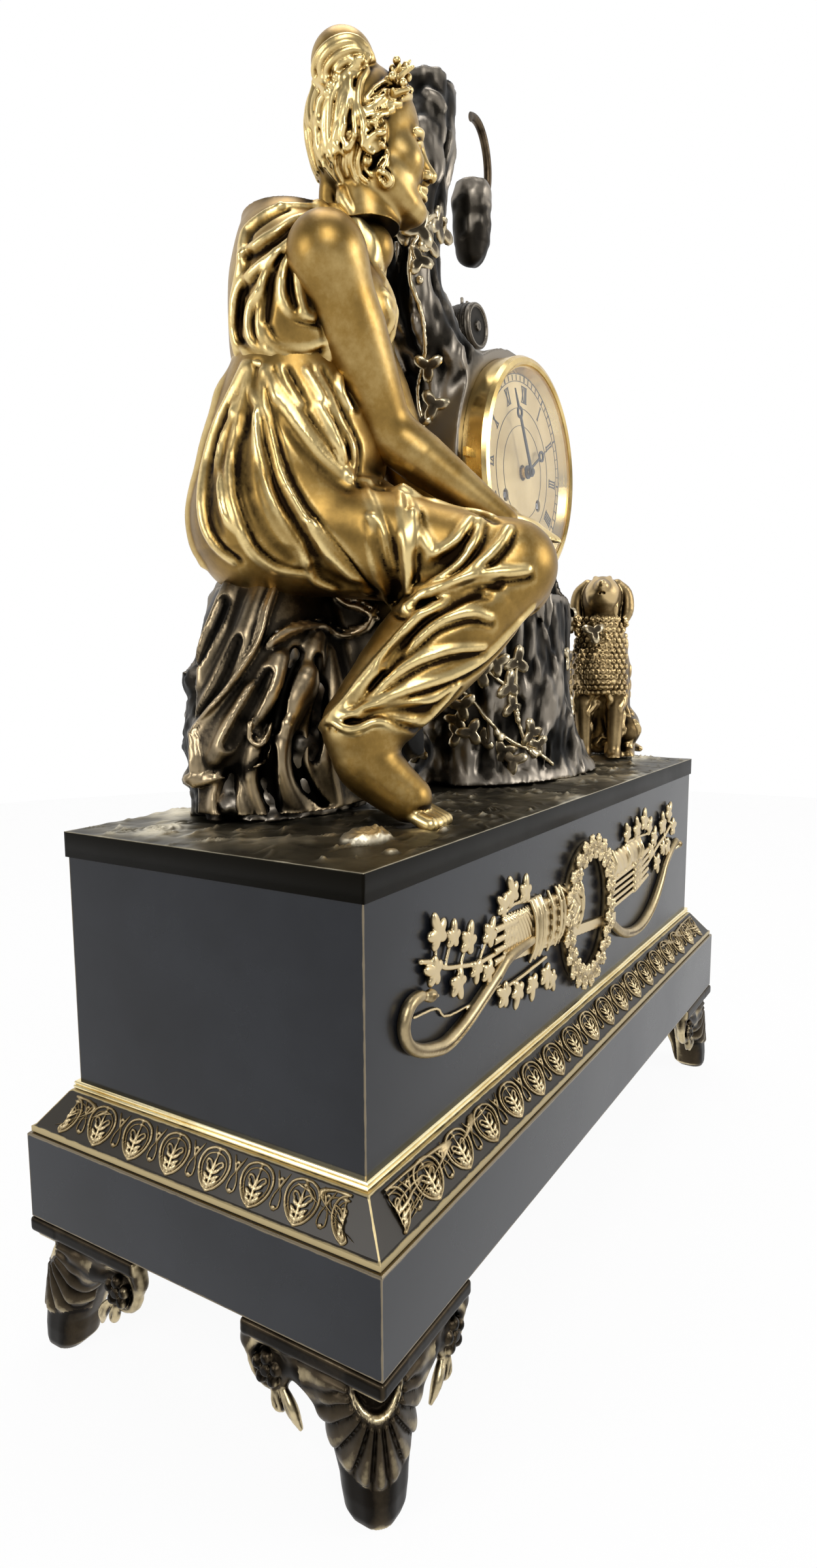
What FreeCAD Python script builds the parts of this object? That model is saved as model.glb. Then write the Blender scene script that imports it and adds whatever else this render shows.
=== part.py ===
import FreeCAD, Part
import math
import os
import re
import Sketcher
from types import SimpleNamespace

V = FreeCAD.Vector
X_AXIS, Y_AXIS, Z_AXIS = V(1, 0, 0), V(0, 1, 0), V(0, 0, 1)
ORIGIN = V(0, 0, 0)

# Figural mantel clock: a stepped bronze base on four feet, a seated draped figure on a rock,
# a hollow tree that carries the clock drum, and a sitting dog.
# X runs along the front to the right, Y to the back, Z up. The origin is on the ground under
# the centre of the plinth. All sizes are millimetres.
SIZES = [
    # the base, from the ground up
    ("plinth_length", 420.0, "lower dark block, along the front"),
    ("plinth_depth", 171.6, "lower dark block, front to back"),
    ("foot_height", 55.8, "ground to the underside of the plinth"),
    ("plinth_height", 36.6, "lower dark block"),
    ("plinth_wall", 3.0, "sheet of the plinth"),
    ("case_length", 390.2, "upper dark block, along the front"),
    ("case_depth", 140.2, "upper dark block, front to back"),
    ("case_height", 120.4, "upper dark block, from the deck of the plinth"),
    ("case_wall", 2.5, "sheet of the upper block"),
    ("frieze_height", 17.0, "ornamented sloping moulding"),
    ("frieze_lip", 2.6, "upright edge at the foot of the frieze"),
    ("frieze_inset", 1.2, "plinth edge to the lip of the frieze"),
    ("frieze_shelf", 2.5, "flat top of the frieze round the upper block"),
    ("bead_width", 1.8, "bright bead round the foot of the upper block"),
    ("bead_height", 3.2, "the same bead, upright"),
    ("slip_gap", 0.3, "gap where one casting slips over another"),
    ("terrain_thickness", 2.6, "cast ground plate"),
    ("terrain_overhang", 0.9, "ground plate past the upper block"),
    ("board_thickness", 10.0, "wooden bottom board"),
    # the feet
    ("foot_overhang", 0.7, "foot plate past the plinth"),
    ("foot_wing", 62.0, "foot plate along each side"),
    ("foot_plate", 5.9, "thickness of the foot plate"),
    ("foot_step", 1.7, "set back fillet above the foot plate"),
    ("foot_web", 13.0, "thickness of the fluted web"),
    ("scroll_radius", 11.5, "side scroll of a foot"),
    ("scroll_width", 8.0, "the same scroll, across"),
    ("screw_radius", 1.8, "wood screws of the feet"),
    ("screw_head", 3.4, "their heads"),
    # rods, studs and nuts
    ("rod_radius", 2.5, "long tie rods"),
    ("stud_radius", 2.0, "short studs of the castings"),
    ("stud_length", 16.0, "the same studs"),
    ("nut_width", 5.2, "half across the corners of the nuts"),
    ("nut_height", 3.6, "thickness of the nuts"),
    ("boss_radius", 6.0, "bosses that take the rods"),
    # the ornament on the front
    ("mount_height", 82.0, "wreath, top to bottom"),
    ("mount_thickness", 4.5, "cast ornament off the face"),
    ("mount_middle", 157.0, "centre of the wreath above the ground"),
    ("mount_half", 172.0, "centre to the end of the bow"),
    # the rock, the cloth and the figure
    ("seat_x", -107.0, "middle of the figure's seat"),
    ("seat_y", 34.0, "the same, front to back"),
    ("seat_rise", 98.0, "top of the rock above the ground plate"),
    ("figure_stature", 400.0, "the figure as if it stood up"),
    ("cloth_gap", 0.3, "gap between castings that meet on curved faces"),
    # the tree and the drum
    ("trunk_height", 334.0, "tree above the ground plate"),
    ("trunk_x", 66.0, "foot of the tree"),
    ("trunk_y", 8.0, "the same, front to back"),
    ("clock_x", 25.0, "centre of the dial"),
    ("clock_rise", 162.6, "centre of the dial above the ground plate"),
    ("drum_front", -16.5, "front face of the drum"),
    ("drum_length", 72.5, "drum, front to back"),
    ("drum_radius", 61.0, "outside of the drum"),
    ("drum_bore", 54.5, "inside of the drum"),
    ("cask_radius", 12.0, "little cask on the drum"),
    ("cask_length", 20.0, "the same cask"),
    # the dog
    ("dog_height", 124.0, "sitting dog, ground to crown"),
    ("dog_x", 142.0, "its front paws"),
    ("dog_y", -25.0, "the same, front to back"),
    ("dog_turn", 199.3, "direction that the dog faces, degrees from +X"),
    ("mound_rise", 3.4, "low mound under the dog"),
    # the bezel, the glass and the dial
    ("bezel_radius", 55.5, "outside of the bezel"),
    ("bezel_depth", 12.9, "bezel off the drum"),
    ("bezel_bore", 51.0, "bezel over the dial"),
    ("glass_radius", 50.3, "rim of the glass"),
    ("glass_thickness", 1.2, "glass"),
    ("glass_rise", 5.0, "crown of the glass"),
    ("knuckle_radius", 2.2, "hinge knuckles"),
    ("knuckle_half", 4.0, "half of the middle knuckle"),
    ("hinge_pin", 1.0, "hinge pin, radius"),
    ("running_gap", 0.06, "pin or arbor in its hole, radial"),
    ("dial_radius", 50.0, "dial plate"),
    ("dial_thickness", 1.2, "dial plate"),
    ("dial_setback", 6.0, "dial face in front of the drum"),
    ("winding_x", 20.0, "winding hole beside the centre"),
    ("winding_drop", 14.0, "winding hole below the centre"),
    ("winding_hole", 3.2, "radius of the winding holes"),
    ("minute_length", 42.0, "minute hand"),
    ("hour_length", 28.0, "hour hand"),
    ("hand_thickness", 0.8, "both hands"),
    # the movement
    ("plate_radius", 46.0, "movement plates"),
    ("plate_thickness", 2.2, "movement plates"),
    ("plate_front", 4.0, "front plate behind the drum's face"),
    ("plate_gap", 24.0, "between the plates"),
    ("arbor_radius", 1.0, "wheel arbors"),
    ("pivot_radius", 0.5, "their pivots"),
    ("barrel_radius", 15.5, "spring barrels"),
    ("barrel_depth", 12.3, "spring barrels"),
    ("winding_radius", 2.0, "winding arbors"),
    ("wheel_thickness", 1.2, "wheel blanks"),
    ("great_module", 0.6, "teeth of the barrels and the intermediate wheel"),
    ("centre_module", 0.5, "teeth of the centre wheel"),
    ("third_module", 0.4, "teeth of the third wheel"),
    ("motion_module", 0.45, "teeth of the cannon pinion"),
    ("hour_module", 0.42, "teeth of the hour wheel"),
    ("escape_radius", 8.5, "escape wheel"),
    ("escape_rise", 27.0, "escape arbor above the centre"),
    ("anchor_rise", 38.4, "anchor arbor and suspension above the centre"),
    # the pendulum and the bell
    ("pendulum_length", 140.0, "suspension to the middle of the bob"),
    ("pendulum_plane", 40.5, "pendulum behind the drum's face"),
    ("rod_thickness", 1.2, "pendulum rod, radius"),
    ("bob_radius", 17.0, "bob"),
    ("bob_thickness", 8.0, "bob"),
    ("nut_radius", 3.4, "rating nut"),
    ("swing_room", 14.0, "room for the bob on each side"),
    ("bell_radius", 29.0, "bell"),
    ("bell_depth", 14.0, "bell"),
    ("bell_wall", 1.6, "bell"),
    ("bell_back", 67.0, "crown of the bell behind the drum's face"),
    ("rear_ring", 4.0, "rear bezel off the drum"),
    ("rear_door_radius", 52.0, "rear door"),
    ("rear_door_thickness", 1.5, "rear door"),
]

doc = FreeCAD.newDocument("figural_clock")
sheet = doc.addObject("Spreadsheet::Sheet", "sizes")
for row, (alias, number, meaning) in enumerate(SIZES, 1):
    sheet.set("A%d" % row, meaning)
    sheet.set("B%d" % row, str(number))
    sheet.setAlias("B%d" % row, alias)
doc.recompute()
ALIASES = {alias for alias, number, meaning in SIZES}
s = SimpleNamespace(**{alias: float(sheet.get(alias)) for alias in ALIASES})
parts = {}


# Helpers that tie objects to the sheet

def named(text):
    """An expression with each size read from the sheet."""
    return re.sub(r"[a-z_]+", lambda m: "sizes." + m[0] if m[0] in ALIASES else m[0], text)


def value(text):
    return float(sheet.evalExpression(named(text)))


def part(node, thing):
    """Takes an object as the sub-part of that name."""
    thing.Label = node
    parts[node] = thing
    return thing


def shaped(node, shape):
    """A sub-part whose shape is made from the sheet's sizes with Part's own functions."""
    thing = doc.addObject("Part::Feature", node)
    thing.Shape = shape
    return part(node, thing)


def solid(kind, name, place=("0", "0", "0"), **sizes):
    """A Part primitive whose sizes and place follow the sheet."""
    thing = doc.addObject("Part::" + kind, name)
    for prop, text in sizes.items():
        thing.setExpression(prop, named(text))
    for axis, text in zip("xyz", place):
        thing.setExpression("Placement.Base." + axis, named(text))
    return thing


def block(name, length, width, height, z, x="0", y="0"):
    """A box centred on x and y that stands on z."""
    place = ("%s - (%s) / 2" % (x, length), "%s - (%s) / 2" % (y, width), z)
    return solid("Box", name, place, Length=length, Width=width, Height=height)


def cut(name, base, tool):
    thing = doc.addObject("Part::Cut", name)
    thing.Base = base
    thing.Tool = tool
    return thing


def joined(name, things, kind="MultiFuse"):
    thing = doc.addObject("Part::" + kind, name)
    if kind == "Compound":
        thing.Links = things
    else:
        thing.Shapes = things
    return thing


def origin_feature(body, role):
    return [f for f in body.Origin.OriginFeatures if f.Role == role][0]


def new_body(node):
    body = doc.addObject("PartDesign::Body", node)
    return part(node, body)


def new_sketch(body, name, plane):
    sketch = body.newObject("Sketcher::SketchObject", name)
    sketch.AttachmentSupport = (origin_feature(body, plane), "")
    sketch.MapMode = "FlatFace"
    return sketch


def bind(sketch, kind, geometry, point, text):
    """Holds one coordinate of a sketch point to an expression."""
    number = value(text)
    if abs(number) < 1e-9:
        axis = -2 if kind == "DistanceX" else -1
        sketch.addConstraint(Sketcher.Constraint("PointOnObject", geometry, point, axis))
        return
    index = sketch.addConstraint(Sketcher.Constraint(kind, -1, 1, geometry, point, number))
    sketch.setExpression("Constraints[%d]" % index, named(text))


def polygon(body, name, plane, points):
    """A sketch of straight lines through points given as pairs of expressions."""
    sketch = new_sketch(body, name, plane)
    at = [V(value(x), value(y), 0) for x, y in points]
    count = len(at)
    for i in range(count):
        sketch.addGeometry(Part.LineSegment(at[i], at[(i + 1) % count]))
    for i in range(count):
        sketch.addConstraint(Sketcher.Constraint("Coincident", i, 2, (i + 1) % count, 1))
    for i, (x, y) in enumerate(points):
        bind(sketch, "DistanceX", i, 1, x)
        bind(sketch, "DistanceY", i, 1, y)
    return sketch


def rectangle(body, name, plane, length, width):
    x, y = "(%s) / 2" % length, "(%s) / 2" % width
    corners = [("-" + x, "-" + y), (x, "-" + y), (x, y), ("-" + x, y)]
    return polygon(body, name, plane, corners)


def circles(body, name, plane, places):
    """A sketch of circles, each an x, a y and a radius given as expressions."""
    sketch = new_sketch(body, name, plane)
    for i, (x, y, radius) in enumerate(places):
        sketch.addGeometry(Part.Circle(V(value(x), value(y), 0), Z_AXIS, value(radius)))
        bind(sketch, "DistanceX", i, 3, x)
        bind(sketch, "DistanceY", i, 3, y)
        index = sketch.addConstraint(Sketcher.Constraint("Radius", i, value(radius)))
        sketch.setExpression("Constraints[%d]" % index, named(radius))
    return sketch


def feature(body, kind, name, sketch, length, reverse=False):
    """A pad or a pocket of a sketch."""
    thing = body.newObject("PartDesign::" + kind, name)
    thing.Profile = sketch
    thing.setExpression("Length", named(length))
    thing.Reversed = reverse
    sketch.Visibility = False
    return thing


def turned(node, points, x="0", y="0", z="0"):
    """A body turned about the Y axis from pairs of radius and distance back."""
    body = new_body(node)
    sketch = polygon(body, node + "_profile", "XY_Plane", points)
    thing = body.newObject("PartDesign::Revolution", node + "_turning")
    thing.Profile = sketch
    thing.ReferenceAxis = (sketch, ["V_Axis"])
    thing.Angle = 360
    set_place(body, x, y, z)
    return body


def set_place(thing, x, y, z):
    for axis, text in zip("xyz", (x, y, z)):
        thing.setExpression("Placement.Base." + axis, named(text))


# Helpers for cast forms

def spun(outline, place, direction):
    """A solid of revolution from edges in the XZ plane, turned to stand along a direction."""
    face = Part.Face(Part.Wire(outline))
    made = face.revolve(ORIGIN, Z_AXIS, 360)
    made = Part.Solid(made) if made.ShapeType == "Shell" else made
    turn = FreeCAD.Rotation(Z_AXIS, direction)
    made.Placement = FreeCAD.Placement(place, turn)
    return made


def limb(start, start_radius, end, end_radius):
    """A round tapered limb with a ball at each end."""
    along = end - start
    length = along.Length
    slope = (start_radius - end_radius) / length
    rise = math.sqrt(1 - slope * slope)
    low = V(start_radius * rise, 0, start_radius * slope)
    high = V(end_radius * rise, 0, length + end_radius * slope)
    base, tip = V(0, 0, -start_radius), V(0, 0, length + end_radius)
    turn = math.sqrt(0.5)
    lean = math.asin(slope)
    mid_low, mid_high = (lean - math.pi / 2) / 2, (lean + math.pi / 2) / 2
    arc_low = V(start_radius * math.cos(mid_low), 0, start_radius * math.sin(mid_low))
    arc_high = V(end_radius * math.cos(mid_high), 0, length + end_radius * math.sin(mid_high))
    edges = [
        Part.Arc(base, arc_low, low).toShape(),
        Part.LineSegment(low, high).toShape(),
        Part.Arc(high, arc_high, tip).toShape(),
        Part.LineSegment(tip, base).toShape(),
    ]
    return spun(edges, start, along)


def ball(centre, x_radius, y_radius, z_radius, turn=0):
    """An ellipsoid, turned about Z by degrees."""
    sphere = Part.makeSphere(1)
    matrix = FreeCAD.Matrix()
    matrix.scale(x_radius, y_radius, z_radius)
    matrix.rotateZ(math.radians(turn))
    matrix.move(centre)
    return sphere.transformGeometry(matrix)


def ring(centre, side, front, swell=None, points=12):
    """A closed smooth curve round a centre, on two half axes, with an optional wave."""
    at = []
    for i in range(points):
        angle = 2 * math.pi * i / points
        grow = swell(angle) if swell else 1
        at.append(centre + side * (grow * math.cos(angle)) + front * (grow * math.sin(angle)))
    curve = Part.BSplineCurve()
    curve.interpolate(Points=at, PeriodicFlag=True)
    return Part.Wire(curve.toShape())


def tube(rings):
    return Part.makeLoft(rings, True)


def prism(points, depth):
    """A flat outline given extruded along a vector."""
    return Part.Face(Part.makePolygon(points + points[:1])).extrude(depth)


def fused(shapes):
    return shapes[0].fuse(shapes[1:]).removeSplitter()


def one_solid(shape):
    """The largest solid of a cut shape."""
    return max(shape.Solids, key=lambda piece: piece.Volume)


# The base: plinth, upper block, frieze, bead, ground plate and bottom board

DECK = "(foot_height + plinth_height)"
CASE_TOP = "(foot_height + plinth_height + case_height)"
GROUND = "(foot_height + plinth_height + case_height + terrain_thickness)"
deck, case_top, ground = value(DECK), value(CASE_TOP), value(GROUND)

rod_x_text = "(case_length / 2 - case_wall - 5 * boss_radius)"
rod_y_text = "(case_depth / 2 - case_wall - 3 * boss_radius)"
ROD_PLACES = [(a + rod_x_text, b + rod_y_text) for a in ("", "-") for b in ("", "-")]
rod_x, rod_y = value(rod_x_text), value(rod_y_text)
rod_points = [(a * rod_x, b * rod_y) for a in (1, -1) for b in (1, -1)]
ROD_HOLE = "rod_radius + slip_gap"


def sheet_box(node, length, width, height, wall, top, bottom_z):
    """A box of sheet that is open below, with holes through its top for the rods."""
    body = new_body(node)
    outline = rectangle(body, node + "_outline", "XY_Plane", length, width)
    feature(body, "Pad", node + "_block", outline, height)
    inside = rectangle(body, node + "_inside", "XY_Plane", "%s - 2 * %s" % (length, wall),
                       "%s - 2 * %s" % (width, wall))
    feature(body, "Pocket", node + "_hollow", inside, "%s - %s" % (height, top), True)
    places = [(x, y, ROD_HOLE) for x, y in ROD_PLACES]
    holes = circles(body, node + "_rod_holes", "XY_Plane", places)
    feature(body, "Pocket", node + "_drilling", holes, height, True)
    set_place(body, "0", "0", bottom_z)
    return body


sheet_box("plinth", "plinth_length", "plinth_depth", "plinth_height", "plinth_wall",
          "plinth_wall", "foot_height")
sheet_box("upper_case", "case_length", "case_depth", "case_height", "case_wall",
          "case_wall", DECK)

lip_text = "(plinth_length / 2 - frieze_inset)"
lip_y_text = "(plinth_depth / 2 - frieze_inset)"
shelf_text = "(case_length / 2 + frieze_shelf)"
shelf_y_text = "(case_depth / 2 + frieze_shelf)"
lip_block = block("frieze_lip_block", "2 * " + lip_text, "2 * " + lip_y_text, "frieze_lip", DECK)
slope_block = doc.addObject("Part::Wedge", "frieze_slope")
for prop, text in {
    "Xmin": "-" + lip_text, "Xmax": lip_text, "Zmin": "-" + lip_y_text, "Zmax": lip_y_text,
    "X2min": "-" + shelf_text, "X2max": shelf_text,
    "Z2min": "-" + shelf_y_text, "Z2max": shelf_y_text,
    "Ymin": "frieze_lip", "Ymax": "frieze_height",
}.items():
    slope_block.setExpression(prop, named(text))
slope_block.Placement = FreeCAD.Placement(ORIGIN, FreeCAD.Rotation(X_AXIS, 90))
slope_block.setExpression("Placement.Base.z", named(DECK))
frieze_hole = block("frieze_hole", "case_length + 2 * slip_gap", "case_depth + 2 * slip_gap",
                    "frieze_height", DECK)
frieze_solid = joined("frieze_solid", [lip_block, slope_block])
part("frieze_moulding", cut("frieze_moulding", frieze_solid, frieze_hole))

bead_z = DECK + " + frieze_height"
bead_outer = block("bead_outer", "case_length + 2 * slip_gap + 2 * bead_width",
                   "case_depth + 2 * slip_gap + 2 * bead_width", "bead_height", bead_z)
bead_hole = block("bead_hole", "case_length + 2 * slip_gap", "case_depth + 2 * slip_gap",
                  "bead_height", bead_z)
part("rod_moulding", cut("rod_moulding", bead_outer, bead_hole))

board = new_body("base_board")
board_outline = rectangle(board, "board_outline", "XY_Plane",
                          "plinth_length - 2 * plinth_wall - 2 * slip_gap",
                          "plinth_depth - 2 * plinth_wall - 2 * slip_gap")
feature(board, "Pad", "board_block", board_outline, "board_thickness")
board_holes = circles(board, "board_holes", "XY_Plane",
                      [(x, y, ROD_HOLE) for x, y in ROD_PLACES])
feature(board, "Pocket", "board_drilling", board_holes, "board_thickness", True)
set_place(board, "0", "0", "foot_height")

# The ground plate has low mounds and hollow bosses that pass into the upper block's top
terrain_x = s.case_length / 2 + s.terrain_overhang
terrain_y = s.case_depth / 2 + s.terrain_overhang


def slab(low, high):
    size = high - low
    return Part.makeBox(size.x, size.y, size.z, low)


above_ground = slab(V(-terrain_x, -terrain_y, case_top), V(terrain_x, terrain_y, 2 * ground))
facing = V(math.cos(math.radians(s.dog_turn)), math.sin(math.radians(s.dog_turn)), 0)
dog_left = V(-facing.y, facing.x, 0)
dog_feet = V(s.dog_x, s.dog_y, ground + s.mound_rise)
mound_middle = dog_feet - facing * (0.2 * s.dog_height)


def mound(grow):
    """The low hump of the ground plate that the dog sits on."""
    centre = V(mound_middle.x, mound_middle.y, case_top)
    hump = ball(centre, 0.29 * s.dog_height + grow, 0.27 * s.dog_height + grow,
                s.terrain_thickness + 1.15 * s.mound_rise + grow, s.dog_turn)
    return hump.common(above_ground)


STONE_SHARE = (-0.769, -0.577)
stone_centre = V(STONE_SHARE[0] * terrain_x, STONE_SHARE[1] * terrain_y, case_top)
stone = ball(stone_centre, 2.2 * s.boss_radius, 1.7 * s.boss_radius,
             s.terrain_thickness + 2.2 * s.mound_rise, 15).common(above_ground)
ground_slab = slab(V(-terrain_x, -terrain_y, case_top), V(terrain_x, terrain_y, ground))
boss_low = case_top - 3 * s.case_wall
bosses = [Part.makeCylinder(s.boss_radius, case_top - boss_low, V(x, y, boss_low))
          for x, y in rod_points]
terrain = fused([ground_slab, mound(0), stone] + bosses)
boss_bores = [Part.makeCylinder(s.rod_radius + s.running_gap, 2.6 * s.case_wall, V(x, y, boss_low))
              for x, y in rod_points]

# Studs hold the castings down, and nuts close them under the top of the upper block
STUD_SHARES = [(-0.66, 0.62), (-0.46, 0.42), (0.36, 0.1), (0.58, 0.1)]
stud_points = [(a * terrain_x, b * terrain_y) for a, b in STUD_SHARES]
stud_points.append((mound_middle.x, mound_middle.y))
stud_low = ground - 0.56 * s.stud_length
studs = [Part.makeCylinder(s.stud_radius, s.stud_length, V(x, y, stud_low)) for x, y in stud_points]
stud_bores = [Part.makeCylinder(s.stud_radius + s.running_gap, s.stud_length + s.slip_gap,
                                V(x, y, stud_low)) for x, y in stud_points]
stud_holes = [Part.makeCylinder(s.stud_radius + s.slip_gap, s.stud_length, V(x, y, stud_low))
              for x, y in stud_points]
shaped("terrain_plate", terrain.cut(boss_bores + [h.common(ground_slab.fuse(mound(0)))
                                                  for h in stud_holes]))


def nut(centre, up, hole):
    """A six sided nut with its seat at a centre."""
    corners = [V(math.cos(math.pi / 3 * i), math.sin(math.pi / 3 * i), 0) * s.nut_width
               for i in range(6)]
    outline = prism([centre + c for c in corners], Z_AXIS * (s.nut_height * up))
    bore = Part.makeCylinder(hole + s.running_gap, 3 * s.nut_height,
                             centre - Z_AXIS * (1.5 * s.nut_height))
    return outline.cut(bore)


rod_low = s.foot_height - 1.3 * s.nut_height
tie_rods = [Part.makeCylinder(s.rod_radius, boss_low + 2.4 * s.case_wall - rod_low,
                              V(x, y, rod_low)) for x, y in rod_points]
shaped("tie_rods", Part.makeCompound(tie_rods))
nuts = [nut(V(x, y, s.foot_height), -1, s.rod_radius) for x, y in rod_points]
nuts += [nut(V(x, y, case_top - s.case_wall), -1, s.stud_radius) for x, y in stud_points]
shaped("fixing_nuts", Part.makeCompound(nuts))

top_holes = [(str(round(x, 4)), str(round(y, 4)), "stud_radius + slip_gap") for x, y in stud_points]

# The feet: a plate under the corner, a fluted web that narrows to the toe, two side scrolls
WEB_SHARES = [(1.0, 0.8), (0.82, 0.62), (0.6, 0.45), (0.35, 0.31), (0.12, 0.235), (0.0, 0.2)]


def foot(sx, sy):
    corner = V(sx * (s.plinth_length / 2 + s.foot_overhang),
               sy * (s.plinth_depth / 2 + s.foot_overhang), 0)

    def at(along_x, along_y, z):
        return V(corner.x - sx * along_x, corner.y - sy * along_y, z)

    plate_top = s.foot_height - s.foot_step
    plate_low = plate_top - s.foot_plate
    wing, web = s.foot_wing, s.foot_web
    plan = [(0, 0), (wing, 0), (wing, web), (web, wing), (0, wing)]
    plate = prism([at(a, b, plate_low) for a, b in plan], Z_AXIS * s.foot_plate)
    inset = s.foot_overhang + s.foot_step
    step_plan = [(inset, inset), (wing, inset), (wing, web), (web, wing), (inset, wing)]
    step = prism([at(a, b, plate_top) for a, b in step_plan], Z_AXIS * s.foot_step)
    rings = []
    edge = s.foot_overhang
    for height_share, wide_share in WEB_SHARES:
        wide, z = wide_share * wing, height_share * plate_low
        corners = [at(wide, edge, z), at(wide, web, z), at(web, wide, z), at(edge, wide, z)]
        if wide <= web:
            corners = [at(web, edge, z), at(web, web, z), at(web, web, z), at(edge, web, z)]
            corners = [at(web, edge, z), at(web, 0.7 * web, z), at(0.7 * web, web, z),
                       at(edge, web, z)]
        rings.append(Part.makePolygon(corners + corners[:1]))
    webbing = Part.makeLoft(rings, True, True)
    scroll_z = plate_low - 0.85 * s.scroll_radius
    reach = wing - s.scroll_radius
    front_scroll = Part.makeCylinder(s.scroll_radius, s.scroll_width,
                                     at(reach, edge + (s.scroll_width if sy > 0 else 0), scroll_z),
                                     V(0, 1, 0))
    side_scroll = Part.makeCylinder(s.scroll_radius, s.scroll_width,
                                    at(edge + (s.scroll_width if sx > 0 else 0), reach, scroll_z),
                                    V(1, 0, 0))
    return fused([plate, step, webbing, front_scroll, side_scroll])


CORNERS = {"front_left": (-1, -1), "front_right": (1, -1), "rear_left": (-1, 1), "rear_right": (1, 1)}
screws = []
screw_holes = []
for corner_name, (sx, sy) in CORNERS.items():
    corner_foot = foot(sx, sy)
    for along_x, along_y in ((0.8, 0.14), (0.14, 0.8)):
        x = sx * (s.plinth_length / 2 - along_x * s.foot_wing - s.plinth_wall)
        y = sy * (s.plinth_depth / 2 - along_y * s.foot_wing - s.plinth_wall)
        low = s.foot_height - s.foot_step - s.foot_plate
        hole = Part.makeCylinder(s.screw_radius + s.slip_gap, 2 * s.foot_plate, V(x, y, low))
        seat = Part.makeCylinder(s.screw_head + s.slip_gap, low + s.foot_plate / 3, V(x, y, 0))
        corner_foot = corner_foot.cut([hole, seat])
        shank = Part.makeCylinder(s.screw_radius, s.foot_plate + s.foot_step
                                  + s.board_thickness / 2, V(x, y, low + s.foot_plate / 3))
        head = Part.makeCylinder(s.screw_head, s.foot_plate / 3, V(x, y, low))
        screws.append(fused([head, shank]))
        screw_holes.append((along_x, along_y, sx, sy))
    shaped("foot_" + corner_name, one_solid(corner_foot))
shaped("foot_screws", Part.makeCompound(screws))
SCREW_PLACES = [
    ("%s(plinth_length / 2 - %s * foot_wing - plinth_wall)" % ("-" if sx < 0 else "", a),
     "%s(plinth_depth / 2 - %s * foot_wing - plinth_wall)" % ("-" if sy < 0 else "", b),
     "screw_radius + running_gap")
    for a, b, sx, sy in screw_holes
]
board_pilots = circles(board, "board_pilots", "XY_Plane", SCREW_PLACES)
feature(board, "Pocket", "board_pilot_drilling", board_pilots, "0.8 * board_thickness", True)

# The ornament on the front face: tables are shares of the bow's half length about the
# middle of the wreath, along X and up
front_face = -s.case_depth / 2
BOW_LEFT_SHARES = [(-0.93, 0.035), (-0.959, 0.049), (-0.994, 0.041), (-1.015, 0.006),
                   (-1.0, -0.035), (-0.959, -0.064), (-0.901, -0.084), (-0.843, -0.093),
                   (-0.767, -0.078), (-0.686, -0.049), (-0.605, -0.017), (-0.535, 0.012)]
BOW_RIGHT_SHARES = [(0.233, -0.099), (0.291, -0.134), (0.36, -0.16), (0.442, -0.174),
                    (0.523, -0.172), (0.605, -0.151), (0.674, -0.116), (0.733, -0.07),
                    (0.779, -0.023), (0.831, 0.012), (0.884, 0.035), (0.93, 0.052),
                    (0.959, 0.029)]
STRAP_SHARES = [(-0.547, -0.01), (-0.547, 0.026), (0.256, -0.081), (0.256, -0.116)]
IVY_LEFT_SHARES = [(-0.942, 0.116), (-0.884, 0.099), (-0.843, 0.076), (-0.773, 0.058),
                   (-0.686, 0.041), (-0.599, 0.038)]
IVY_RIGHT_SHARES = [(0.573, 0.02), (0.651, 0.052), (0.721, 0.076), (0.791, 0.093), (0.849, 0.11)]
LEAVES_LEFT_SHARES = [(-0.878, 0.157, 0.047), (-0.89, 0.081, 0.041), (-0.744, 0.105, 0.044),
                      (-0.791, 0.03, 0.041), (-0.64, 0.093, 0.041), (-0.645, 0.012, 0.035)]
LEAVES_LOW_SHARES = [(-0.552, -0.078, 0.041), (-0.477, -0.09, 0.041), (-0.39, -0.098, 0.042),
                     (-0.301, -0.1, 0.044), (-0.262, -0.125, 0.038)]
LEAVES_HIGH_SHARES = [(-0.52, 0.165, 0.048), (-0.442, 0.151, 0.041), (-0.564, 0.145, 0.035)]
LEAVES_RIGHT_SHARES = [(0.64, 0.105, 0.041), (0.686, 0.017, 0.041), (0.744, 0.134, 0.047),
                       (0.814, 0.169, 0.044), (0.808, 0.052, 0.041), (0.872, 0.11, 0.041)]
LEAVES_TOP_SHARES = [(0.523, 0.183, 0.047), (0.448, 0.164, 0.041), (0.579, 0.16, 0.041)]
LEAF_OUTLINE = [1.0, 0.62, 0.85, 0.45, 0.72, 0.5, 0.72, 0.45, 0.85, 0.62]


def on_front(x_share, z_share, off=0):
    return V(x_share * s.mount_half, front_face - off, s.mount_middle + z_share * s.mount_half)


def relief(points, depth, off=0):
    """A flat faced casting that stands off the front face."""
    return prism([V(p.x, front_face - off, p.z) for p in points], V(0, -depth, 0))


def band(shares, half_width, depth, taper=1.0):
    """A strip of constant depth along a path on the front face."""
    path = [on_front(a, b) for a, b in shares]
    left, right = [], []
    for i, here in enumerate(path):
        along = path[min(i + 1, len(path) - 1)] - path[max(i - 1, 0)]
        along.normalize()
        share = i / (len(path) - 1)
        half = half_width * (taper + (1 - taper) * share)
        side = V(-along.z, 0, along.x) * half
        left.append(here + side)
        right.append(here - side)
    return relief(left + right[::-1], depth)


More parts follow.
